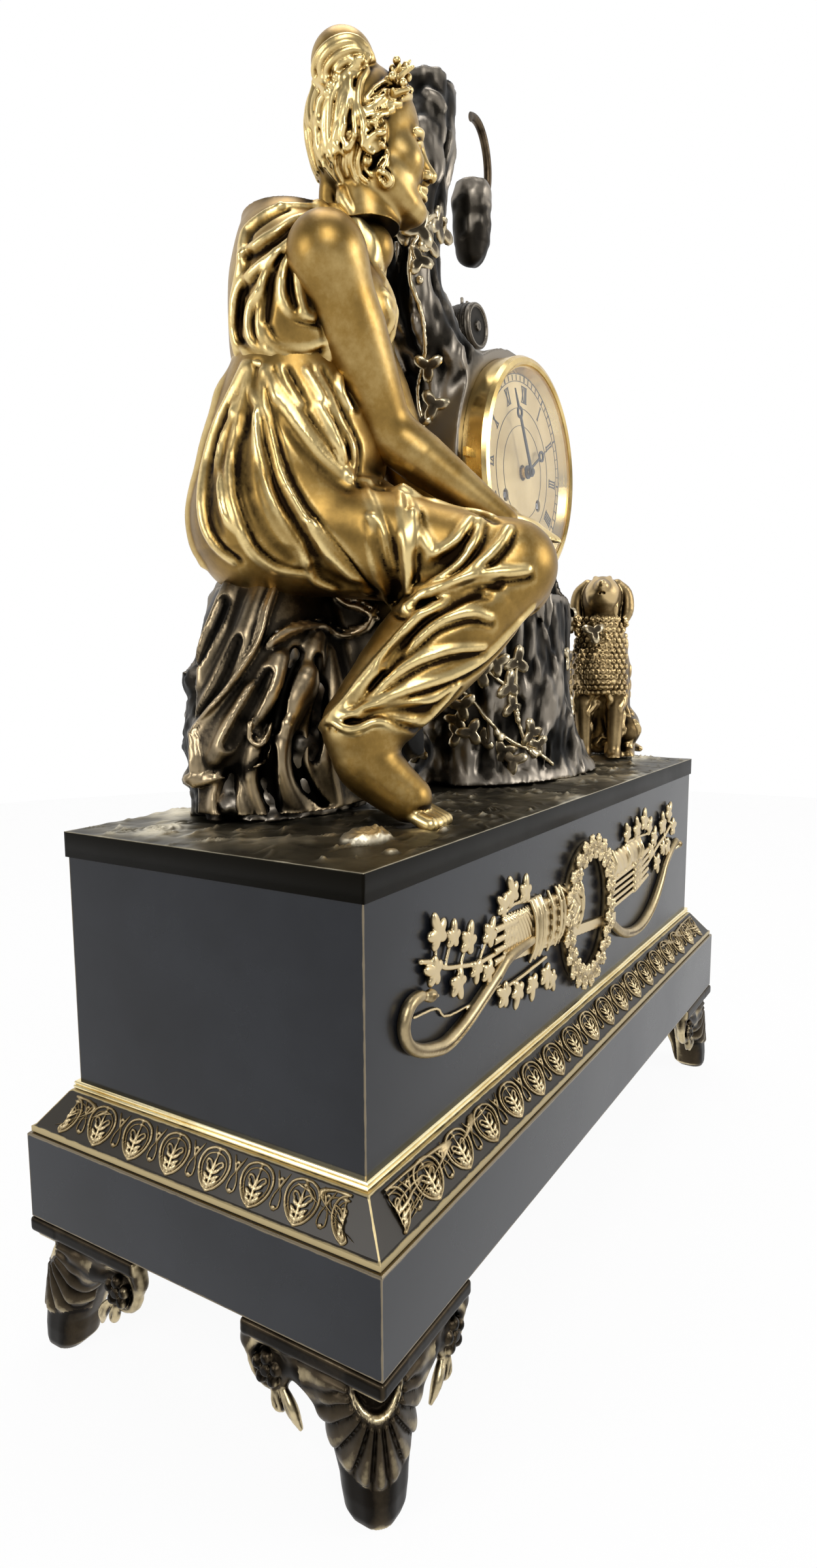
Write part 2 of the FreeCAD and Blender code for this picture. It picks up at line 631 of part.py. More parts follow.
def leaves(shares, depth, stem):
    """Five lobed leaves, each a place and a radius, on stalks from the nearest stem point."""
    made = []
    for number, (a, b, size) in enumerate(shares):
        centre, start = on_front(a, b), math.pi / 2 + 0.7 * math.sin(2.1 * number)
        points = []
        for i, grow in enumerate(LEAF_OUTLINE):
            angle = start + 2 * math.pi * i / len(LEAF_OUTLINE)
            radius = size * s.mount_half * grow
            points.append(centre + V(math.cos(angle), 0, math.sin(angle)) * radius)
        made.append(relief(points, depth))
        near = min(stem, key=lambda p: math.hypot(p[0] - a, p[1] - b))
        made.append(band([near, (a, b)], 0.006 * s.mount_half, 0.8 * depth))
    return made


depth = s.mount_thickness
bow_width = 0.013 * s.mount_half
strap = relief([on_front(a, b) for a, b in STRAP_SHARES], 0.25 * depth)
bow = fused([band(BOW_LEFT_SHARES, bow_width, 0.7 * depth, 0.6),
             band(BOW_RIGHT_SHARES[::-1], bow_width, 0.7 * depth, 0.6), strap])
bow_room = fused([band(BOW_LEFT_SHARES, bow_width + s.slip_gap, depth, 0.6),
                  band(BOW_RIGHT_SHARES[::-1], bow_width + s.slip_gap, depth, 0.6), strap])

# The left quiver from its feathers at the left to its mouth by the wreath
QUIVER_SHARES = [(-0.552, 0.122), (-0.395, 0.108), (-0.395, 0.12), (-0.337, 0.12),
                 (-0.337, 0.108), (-0.233, 0.1), (-0.2, 0.118), (-0.047, 0.11),
                 (-0.047, -0.045), (-0.233, -0.05), (-0.337, -0.058), (-0.337, -0.075),
                 (-0.395, -0.075), (-0.395, -0.058), (-0.552, -0.064)]
quiver = relief([on_front(a, b) for a, b in QUIVER_SHARES], depth)
quiver_room = relief([on_front(a, b) + V(s.slip_gap if a > -0.1 else 0, 0, s.slip_gap if b > 0 else
                                         -s.slip_gap) for a, b in QUIVER_SHARES], 2 * depth)
QUIVER_STEM_SHARES = [(-0.54, 0.03), (-0.5, 0.03), (-0.44, 0.03), (-0.37, 0.03), (-0.3, 0.03),
                      (-0.24, 0.02)]
low_leaves = fused([quiver] + leaves(LEAVES_LOW_SHARES, 0.6 * depth, QUIVER_STEM_SHARES)
                   + leaves(LEAVES_HIGH_SHARES, 0.6 * depth, QUIVER_STEM_SHARES))
quiver_left = one_solid(low_leaves.cut(bow_room))

wreath_height = s.mount_height / 2
wreath_centre = on_front(0, 0)


def oval(height, wide, thick, turn=0.0):
    """An upright oval plate on the front face."""
    points = [wreath_centre + V(wide * math.cos(t), 0, height * math.sin(t))
              for t in (2 * math.pi * (i + turn) / 36 for i in range(36))]
    return relief(points, thick)


wreath = oval(0.93 * wreath_height, 0.88 * wreath_height, depth)
wreath = wreath.cut(oval(0.6 * wreath_height, 0.54 * wreath_height, depth))
ribbon_points = [(-0.035, 0.225), (0.0, 0.235), (0.02, 0.09), (-0.01, -0.04), (0.012, -0.21),
                 (-0.03, -0.21), (-0.05, -0.05), (-0.02, 0.08)]
ribbon = relief([on_front(a, b) for a, b in ribbon_points], 0.8 * depth)
wreath = fused([wreath, ribbon]).cut([quiver_room, bow_room])
wreath = one_solid(wreath)

RIGHT_SHARES = [(0.225, 0.12), (0.465, 0.145), (0.47, 0.105), (0.593, 0.075), (0.593, 0.02),
                (0.5, -0.02), (0.225, -0.06)]
wreath_room = oval(0.93 * wreath_height + s.slip_gap, 0.88 * wreath_height + s.slip_gap, 2 * depth)
quiver_right = relief([on_front(a, b) for a, b in RIGHT_SHARES], 0.9 * depth)
quiver_right = fused([quiver_right] + leaves(LEAVES_TOP_SHARES, 0.6 * depth,
                                             [(0.44, 0.1), (0.5, 0.06)]))
quiver_right = one_solid(quiver_right.cut([wreath_room, bow_room]))

ivy_left = fused([band(IVY_LEFT_SHARES, 0.5 * bow_width, 0.4 * depth)]
                 + leaves(LEAVES_LEFT_SHARES, 0.55 * depth, IVY_LEFT_SHARES))
quiver_room_low = relief([on_front(a, b) + V(-s.slip_gap if a < -0.5 else 0, 0, 0)
                          for a, b in QUIVER_SHARES], 2 * depth)
ivy_left = one_solid(ivy_left.cut([bow_room, quiver_room_low]))
right_room = relief([on_front(a, b) + V(s.slip_gap if a > 0.55 else 0, 0, 0)
                     for a, b in RIGHT_SHARES], 2 * depth)
ivy_right = fused([band(IVY_RIGHT_SHARES, 0.5 * bow_width, 0.4 * depth)]
                  + leaves(LEAVES_RIGHT_SHARES, 0.55 * depth, IVY_RIGHT_SHARES))
ivy_right = one_solid(ivy_right.cut([bow_room, right_room]))

# Pins behind each casting pass through the front wall and are riveted inside
PIN_SHARES = [(-0.84, 0.085), (-0.67, 0.075), (-0.45, 0.09), (-0.14, 0.08), (0.0, 0.19),
              (0.0, -0.19), (0.3, 0.09), (0.5, 0.06), (0.7, 0.07), (0.83, 0.1),
              (-0.767, -0.078), (0.674, -0.116)]
pin_radius = 0.5 * s.stud_radius
pin_reach = 0.35 * depth


def pins(radius, shares):
    return [Part.makeCylinder(radius, pin_reach + 1.6 * s.case_wall,
                              on_front(a, b, pin_reach), Y_AXIS) for a, b in shares]


rivets = [Part.makeCylinder(1.7 * pin_radius, 0.4 * s.case_wall,
                            on_front(a, b, -s.case_wall), Y_AXIS) for a, b in PIN_SHARES]
mount_pins = [fused([pin, rivet]) for pin, rivet in zip(pins(pin_radius, PIN_SHARES), rivets)]
pin_rooms = pins(pin_radius + s.running_gap, PIN_SHARES)
for node, shape in (("mount_bow", bow), ("mount_wreath", wreath),
                    ("mount_quiver_left", quiver_left), ("mount_quiver_right", quiver_right),
                    ("mount_ivy_left", ivy_left), ("mount_ivy_right", ivy_right)):
    shaped(node, one_solid(shape.cut(pin_rooms)))
shaped("fixing_studs", Part.makeCompound(studs + mount_pins))
case = parts["upper_case"]
front_holes = circles(case, "front_holes", "XZ_Plane", [
    ("%s * mount_half" % a,
     "mount_middle + %s * mount_half - %s" % (b, DECK), "stud_radius / 2 + running_gap")
    for a, b in PIN_SHARES])
feature(case, "Pocket", "front_drilling", front_holes, "case_depth", True)
stud_sketch = circles(case, "stud_holes", "XY_Plane", top_holes)
feature(case, "Pocket", "stud_drilling", stud_sketch, "2 * case_height", True)
boss_sketch = circles(case, "boss_holes", "XY_Plane",
                      [(x, y, "boss_radius + slip_gap") for x, y in ROD_PLACES])
feature(case, "Pocket", "boss_drilling", boss_sketch, "2 * case_height", True)

# The figure. Each place is a share of the stature about the seat and the ground.
SEAT = V(s.seat_x, s.seat_y, ground)
JOINT_SHARES = {
    "pelvis": (0, 0, 0.309), "right_hip": (-0.03, -0.0225, 0.304),
    "left_hip": (0.045, 0.0225, 0.304), "right_knee": (0.07, -0.2475, 0.259),
    "left_knee": (0.1625, -0.205, 0.2565), "right_ankle": (0.055, -0.08, 0.0965),
    "left_ankle": (0.1475, -0.03, 0.0915), "right_heel": (0.06, -0.03, 0.071),
    "left_heel": (0.15, 0.015, 0.071), "right_toe": (0.0575, -0.15, 0.0145),
    "left_toe": (0.1525, -0.1, 0.0145), "right_shoulder": (-0.05, -0.11, 0.545),
    "left_shoulder": (0.115, -0.05, 0.545), "right_elbow": (0.0425, -0.115, 0.404),
    "left_elbow": (0.1375, -0.12, 0.3965), "right_wrist": (0.11, -0.22, 0.3115),
    "left_wrist": (0.125, -0.215, 0.316), "neck": (0.04, -0.1, 0.585),
    "head": (0.045, -0.1025, 0.6815), "bun": (0.005, -0.0925, 0.7465),
    "lap": (0.06, -0.1, 0.285),
}
stature = s.figure_stature
J = {name: SEAT + V(a, b, c) * stature for name, (a, b, c) in JOINT_SHARES.items()}
BELT_SHARE = 0.376
NECK_SHARE = 0.605
torso_ahead = V(math.cos(math.radians(-66)), math.sin(math.radians(-66)), 0)
torso_side = V(-torso_ahead.y, torso_ahead.x, 0)
head_ahead = V(math.cos(math.radians(-52)), math.sin(math.radians(-52)), 0)
head_side = V(-head_ahead.y, head_ahead.x, 0)
belt_z = ground + BELT_SHARE * stature
neck_z = ground + NECK_SHARE * stature
figure_room = V(stature, stature, 0)


def skirt(grow):
    """Hips, thighs and shins under the long dress."""
    k = stature
    hips = ball(J["pelvis"], 0.115 * k + grow, 0.088 * k + grow, 0.085 * k + grow, 24)
    legs = []
    for side in ("right", "left"):
        legs.append(limb(J[side + "_hip"], 0.07 * k + grow, J[side + "_knee"], 0.047 * k + grow))
        legs.append(limb(J[side + "_knee"], 0.0465 * k + grow, J[side + "_ankle"],
                         0.032 * k + grow))
        legs.append(limb(J[side + "_heel"], 0.019 * k + grow, J[side + "_toe"],
                         0.0135 * k + grow))
    cloth = limb(J["lap"], 0.05 * k + grow, (J["right_knee"] + J["left_knee"]) / 2,
                 0.034 * k + grow)
    back_low, back_high = SEAT + V(0.005, 0.0, 0.3) * k, SEAT + V(0.012, -0.02, 0.36) * k
    waist = limb(back_low, 0.09 * k + grow, back_high, 0.078 * k + grow)
    return fused([hips, waist, cloth] + legs)


# Each torso ring: height, centre ahead of the seat line, half width and half depth, as shares
TORSO_SHARES = [(0.35, 0.06, 0.088, 0.072), (0.376, 0.064, 0.082, 0.066),
                (0.42, 0.074, 0.094, 0.073), (0.475, 0.092, 0.104, 0.074),
                (0.52, 0.1, 0.106, 0.062), (0.556, 0.105, 0.1, 0.048),
                (0.578, 0.107, 0.06, 0.04), (0.6, 0.108, 0.034, 0.034), (0.63, 0.109, 0.032, 0.032)]


def torso(grow):
    rings = []
    for height, ahead, wide, deep in TORSO_SHARES:
        centre = SEAT + V(0, 0, height * stature) + torso_ahead * (ahead * stature)
        rings.append(ring(centre, torso_side * (wide * stature + grow),
                          torso_ahead * (deep * stature + grow)))
    return tube(rings)


def room(low, high):
    return slab(V(-2 * terrain_x, -2 * terrain_y, low), V(2 * terrain_x, 2 * terrain_y, high))


below_belt, above_belt = room(ground - terrain_y, belt_z), room(belt_z, neck_z)
skirt_form, skirt_grown = skirt(0), skirt(s.cloth_gap)
torso_form, torso_grown = torso(0), torso(s.cloth_gap)


def arm(side, upper, lower, grow):
    k = stature
    parts_of_arm = [
        limb(J[side + "_shoulder"], upper * k + grow, J[side + "_elbow"], 0.024 * k + grow),
        limb(J[side + "_elbow"], 0.0235 * k + grow, J[side + "_wrist"], lower * k + grow),
    ]
    reach = J[side + "_wrist"] + (J[side + "_wrist"] - J[side + "_elbow"]) * 0.22
    parts_of_arm.append(limb(J[side + "_wrist"], lower * k + grow, reach, 0.018 * k + grow))
    return fused(parts_of_arm)


left_arm = arm("left", 0.031, 0.016, 0)
right_arm, right_grown = arm("right", 0.031, 0.016, 0), arm("right", 0.031, 0.016, s.cloth_gap)
left_arm = one_solid(left_arm.cut([skirt_grown, right_grown]))
right_arm = one_solid(right_arm.cut([torso_grown, skirt_grown]))
torso_piece = one_solid(torso_form.common(above_belt).fuse(left_arm.cut(torso_form)))


def head(grow):
    k = stature
    jaw = J["head"] + head_ahead * (0.018 * k) - Z_AXIS * (0.03 * k)
    skull = ball(J["head"] + Z_AXIS * (0.012 * k) - head_ahead * (0.008 * k), 0.064 * k + grow,
                 0.053 * k + grow, 0.062 * k + grow, -52)
    face = ball(jaw, 0.044 * k + grow, 0.037 * k + grow, 0.052 * k + grow, -52)
    knot = ball(J["bun"], 0.033 * k + grow, 0.03 * k + grow, 0.032 * k + grow, -52)
    lock = limb(J["head"] - head_ahead * (0.045 * k) - Z_AXIS * (0.02 * k), 0.018 * k + grow,
                J["neck"] - head_ahead * (0.025 * k) + Z_AXIS * (0.018 * k), 0.013 * k + grow)
    neck = limb(J["neck"], 0.031 * k + grow, J["head"] - Z_AXIS * (0.02 * k), 0.03 * k + grow)
    return fused([skull, face, knot, lock, neck])


head_piece = one_solid(head(0).common(room(neck_z, 2 * neck_z)))
shaped("figure_torso", torso_piece)
shaped("figure_head", head_piece)
shaped("figure_arm_right", right_arm)

# The rock seat and the cloth over it
ROCK_SHARES = [(0.0, 0.0, 1.0), (0.12, 0.01, 0.97), (0.3, -0.01, 1.0), (0.55, 0.0, 0.93),
               (0.8, 0.02, 0.82), (1.0, 0.03, 0.62)]
rock_side = V(0.46 * s.seat_rise, 0.12 * s.seat_rise, 0)
rock_ahead = V(0.1 * s.seat_rise, -0.34 * s.seat_rise, 0)


def rock(grow, scale=1.0, low=0.0):
    rings = []
    for rise, shift, wide in ROCK_SHARES:
        height = low + (1 - low) * rise
        centre = V(s.seat_x + shift * s.seat_rise, s.seat_y + 0.02 * s.seat_rise,
                   ground + height * s.seat_rise * (1 if scale == 1 else scale))
        centre.z += grow if rise == 1 else 0
        side = rock_side * (wide * scale) + rock_side * (grow / rock_side.Length)
        ahead = rock_ahead * (wide * scale) + rock_ahead * (grow / rock_ahead.Length)
        wave = (lambda t, r=rise: 1 + 0.05 * math.sin(3 * t + 4 * r) + 0.03 * math.cos(5 * t - r))
        rings.append(ring(centre, side, ahead, wave))
    return tube(rings)


rock_form = rock(0)
cloth_form = rock(0, 1.09, 0.03)
screen = FreeCAD.Rotation(Z_AXIS, -58.5)
cloth_side = slab(V(-0.26 * s.seat_rise, -2 * terrain_y, 0), V(2 * terrain_x, 2 * terrain_y, 2 * ground))
cloth_side.Placement = FreeCAD.Placement(V(s.seat_x, s.seat_y, 0), screen)
behind = slab(V(-2 * terrain_x, 0.1 * s.seat_rise, 0), V(2 * terrain_x, 2 * terrain_y,
                                                   ground + 0.86 * s.seat_rise))
behind.Placement = FreeCAD.Placement(V(s.seat_x, s.seat_y, 0), screen)
rock_piece = one_solid(rock_form.cut([skirt_grown] + stud_bores))
cloth = cloth_form.common(cloth_side).cut([rock(s.cloth_gap), behind, skirt_grown])
shaped("rock_seat", rock_piece)
shaped("seat_drapery", one_solid(cloth))
shaped("figure_skirt", one_solid(skirt_form.common(below_belt).cut(right_grown.common(
    room(ground, ground + 0.28 * stature)))))

# The tree: rings as shares of its height, each a rise, a middle along X and two half widths
TRUNK_SHARES = [(0.0, 0.0, 0.233, 0.15), (0.04, -0.012, 0.2, 0.133), (0.15, -0.05, 0.197, 0.126),
                (0.255, -0.06, 0.203, 0.126), (0.345, -0.08, 0.18, 0.12), (0.5, -0.114, 0.175, 0.12),
                (0.62, -0.165, 0.15, 0.11), (0.73, -0.25, 0.092, 0.074),
                (0.91, -0.257, 0.078, 0.06), (1.0, -0.25, 0.06, 0.048)]
CLOCK = V(s.clock_x, s.drum_front, ground + s.clock_rise)
tree = s.trunk_height


def trunk(grow):
    rings = []
    for rise, shift, wide, deep in TRUNK_SHARES:
        centre = V(s.trunk_x + shift * tree, s.trunk_y, ground + rise * tree)
        wave = (lambda t, r=rise: 1 + 0.03 * math.sin(4 * t + 9 * r) + 0.02 * math.cos(7 * t - 5 * r))
        rings.append(ring(centre, V(wide * tree + grow, 0, 0), V(0, deep * tree + grow, 0), wave, 16))
    return tube(rings)


trunk_form = trunk(0)
burl = ball(V(s.trunk_x + 0.19 * tree, s.trunk_y, ground + 0.253 * tree), 0.055 * tree,
            0.05 * tree, 0.056 * tree)
drum = Part.makeCylinder(s.drum_radius, s.drum_length, CLOCK, Y_AXIS)
cask_seat = V(s.clock_x - 2, s.drum_front + 0.38 * s.drum_length, CLOCK.z + s.drum_radius)
saddle = slab(cask_seat - V(s.cask_radius / 2, s.cask_length / 2, s.cask_radius),
              cask_seat + V(s.cask_radius / 2, s.cask_length / 2, s.cask_radius / 4))
tree_form = fused([trunk_form, burl, drum, saddle])
bore = Part.makeCylinder(s.drum_bore, 4 * s.drum_length, CLOCK - Y_AXIS * s.drum_length, Y_AXIS)
front_room = slab(V(s.clock_x - s.drum_radius, -2 * terrain_y, CLOCK.z - s.drum_radius),
                  V(s.clock_x + s.drum_radius, s.drum_front, CLOCK.z + s.drum_radius))
rear_room = slab(V(s.clock_x - s.drum_radius, s.drum_front + s.drum_length, CLOCK.z - s.drum_radius),
                 V(s.clock_x + s.drum_radius, 2 * terrain_y, CLOCK.z + s.drum_radius))
pendulum_y = s.drum_front + s.pendulum_plane
slot_half = s.bob_radius + s.swing_room
slot_low = CLOCK.z + s.anchor_rise - s.pendulum_length - 2 * s.bob_radius
slot = slab(V(s.clock_x - slot_half, pendulum_y - s.bob_thickness, slot_low),
            V(s.clock_x + slot_half, 2 * terrain_y, CLOCK.z))
cask_low = cask_seat + V(0, -0.5 * s.cask_length - s.cloth_gap, 1.25 * s.cask_radius + s.cloth_gap)
cask_room = Part.makeCylinder(s.cask_radius + s.cloth_gap, s.cask_length + 2 * s.cloth_gap,
                              cask_low, Y_AXIS)
tree_piece = tree_form.cut([bore, cask_room, front_room, rear_room, slot, mound(s.cloth_gap)] + stud_bores)
shaped("tree_trunk", one_solid(tree_piece))

# The pouch on the upper trunk, its strap, and the little cask with its cord
POUCH_SHARES = [(0.0, 0.35, 0.3), (0.15, 0.85, 0.8), (0.5, 1.0, 1.0), (0.8, 0.8, 0.9),
                (1.0, 0.62, 0.7)]
pouch_side, pouch_deep = V(0.031 * tree, 0, 0), V(0, 0.036 * tree, 0)
pouch_low = V(s.trunk_x - 0.147 * tree, s.trunk_y - 0.012 * tree, ground + 0.8 * tree)
pouch_rings = [ring(pouch_low + Z_AXIS * (rise * 0.105 * tree), pouch_side * wide, pouch_deep * deep)
               for rise, wide, deep in POUCH_SHARES]
trunk_grown = trunk(s.cloth_gap)
pouch = one_solid(tube(pouch_rings).cut(trunk_grown))
shaped("quiver_pouch", pouch)

CASK_SHARES = [(0.0, 0.5), (0.82, 0.5), (0.9, 0.42), (1.0, 0.2), (1.0, -0.2), (0.9, -0.42),
               (0.82, -0.5), (0.0, -0.5)]
clock_z_text = GROUND + " + clock_rise"
turned("round_flask", [("cask_radius * %s" % a, "cask_length * %s" % b) for a, b in CASK_SHARES],
       "clock_x - 2", "drum_front + 0.38 * drum_length",
       clock_z_text + " + drum_radius + 1.25 * cask_radius + cloth_gap")


def cord(points, radius, sides=8):
    """A thin round cord swept along a smooth curve through points."""
    curve = Part.BSplineCurve()
    curve.interpolate(points)
    path = Part.Wire(curve.toShape())
    start = curve.tangent(curve.FirstParameter)[0]
    end = Part.Wire(Part.makeCircle(radius, points[0], start))
    return path.makePipeShell([end], True, True)


strap_top = V(s.trunk_x - 0.15 * tree, s.trunk_y - 0.03 * tree, ground + 0.985 * tree)
strap_path = [strap_top + V(-0.055 * tree, 0, -0.012 * tree), strap_top + V(0.0, 0, -0.005 * tree),
              strap_top + V(0.018 * tree, 0, -0.035 * tree),
              strap_top + V(0.016 * tree, 0, -0.083 * tree)]
strap_cord = cord(strap_path, 0.006 * tree)
pouch_grown = tube([ring(pouch_low + Z_AXIS * (rise * 0.105 * tree + (s.cloth_gap if rise else 0)),
                         pouch_side * wide + X_AXIS * s.cloth_gap,
                         pouch_deep * deep + Y_AXIS * s.cloth_gap)
                    for rise, wide, deep in POUCH_SHARES])
shaped("pouch_strap", one_solid(strap_cord.cut([trunk_grown, pouch_grown])))

# The dog: shares of its height ahead, to its left and up from its front paws
D = s.dog_height


def dog_at(ahead, left, up):
    return dog_feet + facing * (ahead * D) + dog_left * (left * D) + Z_AXIS * (up * D)


def dog(grow):
    limbs = [
        (-0.11, 0, 0.5, 0.15, -0.27, 0, 0.17, 0.165), (-0.1, 0, 0.6, 0.115, -0.04, 0, 0.8, 0.09),
        (-0.02, 0, 0.86, 0.1, 0.035, 0, 0.865, 0.08), (0.03, 0, 0.86, 0.062, 0.115, 0, 0.9, 0.04),
        (-0.05, 0, 0.47, 0.13, -0.09, 0, 0.62, 0.125),
        (-0.36, 0.0, 0.07, 0.045, -0.4, 0.16, 0.05, 0.032),
    ]
    for side in (1, -1):
        limbs.append((-0.06, 0.085 * side, 0.4, 0.055, -0.015, 0.075 * side, 0.05, 0.036))
        limbs.append((-0.015, 0.075 * side, 0.036, 0.036, 0.04, 0.078 * side, 0.026, 0.026))
        limbs.append((-0.25, 0.1 * side, 0.17, 0.125, -0.14, 0.13 * side, 0.16, 0.085))
        limbs.append((-0.14, 0.14 * side, 0.06, 0.05, -0.05, 0.15 * side, 0.035, 0.033))
        limbs.append((-0.045, 0.085 * side, 0.89, 0.035, -0.06, 0.115 * side, 0.77, 0.022))
    made = []
    for a, b, c, radius, d, e, f, end_radius in limbs:
        made.append(limb(dog_at(a, b, c), radius * D + grow, dog_at(d, e, f), end_radius * D + grow))
    return fused(made)


under_dog = [mound(s.cloth_gap), room(ground - D, ground + s.cloth_gap)]
dog_piece = dog(0).cut(under_dog + stud_bores)
shaped("dog", one_solid(dog_piece))

# The dial ring in the mouth of the drum, the hinged bezel, its glass and the dial
RING_DEPTH = "0.23 * bezel_depth"
hinge_x_text = "(bezel_radius + knuckle_radius + slip_gap + 0.1)"
hinge_y_text = "(-%s - hinge_pin)" % RING_DEPTH
ring_turning = turned("dial_ring_turning", [
    ("drum_bore - slip_gap", "plate_front"), ("drum_bore - slip_gap", "0"), ("bezel_radius", "0"),
    ("bezel_radius", "-" + RING_DEPTH), ("dial_radius + slip_gap", "-" + RING_DEPTH),
    ("dial_radius + slip_gap", "dial_thickness - dial_setback"),
    ("dial_radius - 3 * bead_width", "dial_thickness - dial_setback"),
    ("dial_radius - 3 * bead_width", "plate_front"),
])
del parts["dial_ring_turning"]


def knuckle(name, low, high, radius, x=hinge_x_text, y=hinge_y_text):
    return solid("Cylinder", name, (x, y, low), Radius=radius, Height="%s - (%s)" % (high, low))


def leaf_block(name, low, high, x_low, x_high, y_low, y_high):
    return solid("Box", name, (x_low, y_low, low), Length="%s - (%s)" % (x_high, x_low),
                 Width="%s - (%s)" % (y_high, y_low), Height="%s - (%s)" % (high, low))


outer_low, outer_high = "knuckle_half + slip_gap", "2 * knuckle_half"
ring_pieces = [ring_turning]
for name, low, high in (("upper", outer_low, outer_high), ("lower", "-" + outer_high,
                                                         "-(%s)" % outer_low)):
    ring_pieces.append(knuckle("ring_knuckle_" + name, low, high, "knuckle_radius"))
    ring_pieces.append(leaf_block("ring_leaf_" + name, low, high, "bezel_radius - 2",
                                  hinge_x_text, "-" + RING_DEPTH, "-" + RING_DEPTH + " / 3"))
ring_pieces.append(knuckle("ring_pin", "-2.1 * knuckle_half", "2.1 * knuckle_half", "hinge_pin"))
dial_ring = joined("dial_ring", ring_pieces)

door_back = "-" + RING_DEPTH
bezel_turning = turned("bezel_turning", [
    ("bezel_radius", door_back), ("bezel_radius", "-0.78 * bezel_depth"),
    ("bezel_radius - 1.2", "-0.94 * bezel_depth"), ("bezel_radius - 3.3", "-bezel_depth"),
    ("bezel_bore", "-0.93 * bezel_depth"), ("bezel_bore", "-0.81 * bezel_depth"),
    ("bezel_bore - 1.1", "-0.81 * bezel_depth"), ("dial_radius - 2.2", "-dial_setback - slip_gap"),
    ("dial_radius + 2 * slip_gap", "-dial_setback - slip_gap"),
    ("dial_radius + 2 * slip_gap", door_back),
])
del parts["bezel_turning"]
catch_x = "-bezel_radius - 2.2 * knuckle_radius"
bezel_solid = joined("bezel_solid", [
    bezel_turning, knuckle("bezel_knuckle", "-knuckle_half", "knuckle_half", "knuckle_radius"),
    leaf_block("bezel_leaf", "-knuckle_half", "knuckle_half", "bezel_bore + 2", hinge_x_text,
               "-%s - 2 * hinge_pin" % RING_DEPTH, "-%s - 0.1" % RING_DEPTH),
    leaf_block("bezel_catch", "-knuckle_half / 2", "knuckle_half / 2", catch_x, "-bezel_bore - 2",
               "-%s - 2 * hinge_pin" % RING_DEPTH, "-%s - 0.1" % RING_DEPTH),
])
bezel = cut("bezel", bezel_solid, knuckle("bezel_pin_hole", "-2 * knuckle_half",
                                          "2 * knuckle_half", "hinge_pin + running_gap"))
for thing in (dial_ring, bezel):
    set_place(thing, "clock_x", "drum_front", clock_z_text)
part("dial_ring", dial_ring)
part("bezel", bezel)

GLASS_SHARES = [(1.0, 0.0), (0.8, 0.4), (0.6, 0.67), (0.4, 0.86), (0.2, 0.965), (0.0, 1.0)]
glass_back = "(-0.81 * bezel_depth - 0.02)"
inner = [("glass_radius * %s" % a, "%s - glass_rise * %s" % (glass_back, b))
         for a, b in GLASS_SHARES]
outer = [(a, b + " - glass_thickness") for a, b in inner]
turned("glass", inner + outer[::-1], "clock_x", "drum_front", clock_z_text)

dial = turned("dial", [("4 * arbor_radius", "-dial_setback"), ("dial_radius", "-dial_setback"),
                       ("dial_radius", "dial_thickness - dial_setback"),
                       ("4 * arbor_radius", "dial_thickness - dial_setback")],
              "clock_x", "drum_front", clock_z_text)
winding = circles(dial, "winding_holes", "XZ_Plane",
                  [("winding_x", "-winding_drop", "winding_hole"),
                   ("-winding_x", "-winding_drop", "winding_hole")])
feature(dial, "Pocket", "winding_drilling", winding, "2 * bezel_depth", True)


# The movement: flat faced prisms on arbors along Y, placed from the centre of the dial
def clock_at(x, y, z):
    return CLOCK + V(x, y, z)


def circle_points(radius, sides, x=0.0, z=0.0, turn=0.0):
    return [(x + radius * math.cos(2 * math.pi * (i + turn) / sides),
             z + radius * math.sin(2 * math.pi * (i + turn) / sides)) for i in range(sides)]


def plate(outline, holes, low, high):
    """A flat plate from its outline and its holes, between two distances back."""
    wires = []
    for points in [outline] + holes:
        at = [clock_at(x, low, z) for x, z in points]
        wires.append(Part.makePolygon(at + at[:1]))
    return Part.makeFace(wires, "Part::FaceMakerBullseye").extrude(V(0, high - low, 0))


def rod(x, z, radius, low, high, sides=16, turn=0.5):
    return plate(circle_points(radius, sides, x, z, turn), [], low, high)


def teeth(count, module, x, z, turn=0.0):
    """The outline of a gear; turn is the angle of its first tooth in degrees."""
    pitch = count * module / 2
    points = []
    for i in range(count):
        middle = math.radians(turn) + 2 * math.pi * i / count
        for radius, wide in ((pitch - 1.25 * module, -0.25), (pitch, -0.19),
                             (pitch + 0.8 * module, -0.07), (pitch + 0.8 * module, 0.07),
                             (pitch, 0.19), (pitch - 1.25 * module, 0.25)):
            angle = middle + wide * 2 * math.pi / count
            points.append((x + radius * math.cos(angle), z + radius * math.sin(angle)))
    return points


def crossed(radius, hub, rim, arms, x, z):
    """The openings between the arms of a wheel."""
    holes = []
    outer, inner = radius - rim, hub
    gap = 0.55 * s.wheel_thickness
    for arm_number in range(arms):
        start = 2 * math.pi * arm_number / arms
        stop = start + 2 * math.pi / arms
        points = []
        for i in range(7):
            lean = math.asin(gap / outer)
            angle = start + lean + (stop - start - 2 * lean) * i / 6
            points.append((x + outer * math.cos(angle), z + outer * math.sin(angle)))
        for i in range(4):
            lean = math.asin(gap / inner)
            angle = stop - lean - (stop - start - 2 * lean) * i / 3
            points.append((x + inner * math.cos(angle), z + inner * math.sin(angle)))
        holes.append(points)
    return holes


def mesh_turn(x, z, other_x, other_z, count, other_count, turn):
    """The first tooth angle of a gear that meshes with a gear whose angle is known."""
    to_other = math.degrees(math.atan2(other_z - z, other_x - x))
    from_other = to_other + 180
    phase = ((from_other - turn) / (360.0 / other_count)) % 1
    return to_other + (phase + 0.5) * 360.0 / count


front_back = s.plate_front + s.plate_thickness
back_front = front_back + s.plate_gap
back_back = back_front + s.plate_thickness
wheel = s.wheel_thickness
bx, bz = s.winding_x, -s.winding_drop

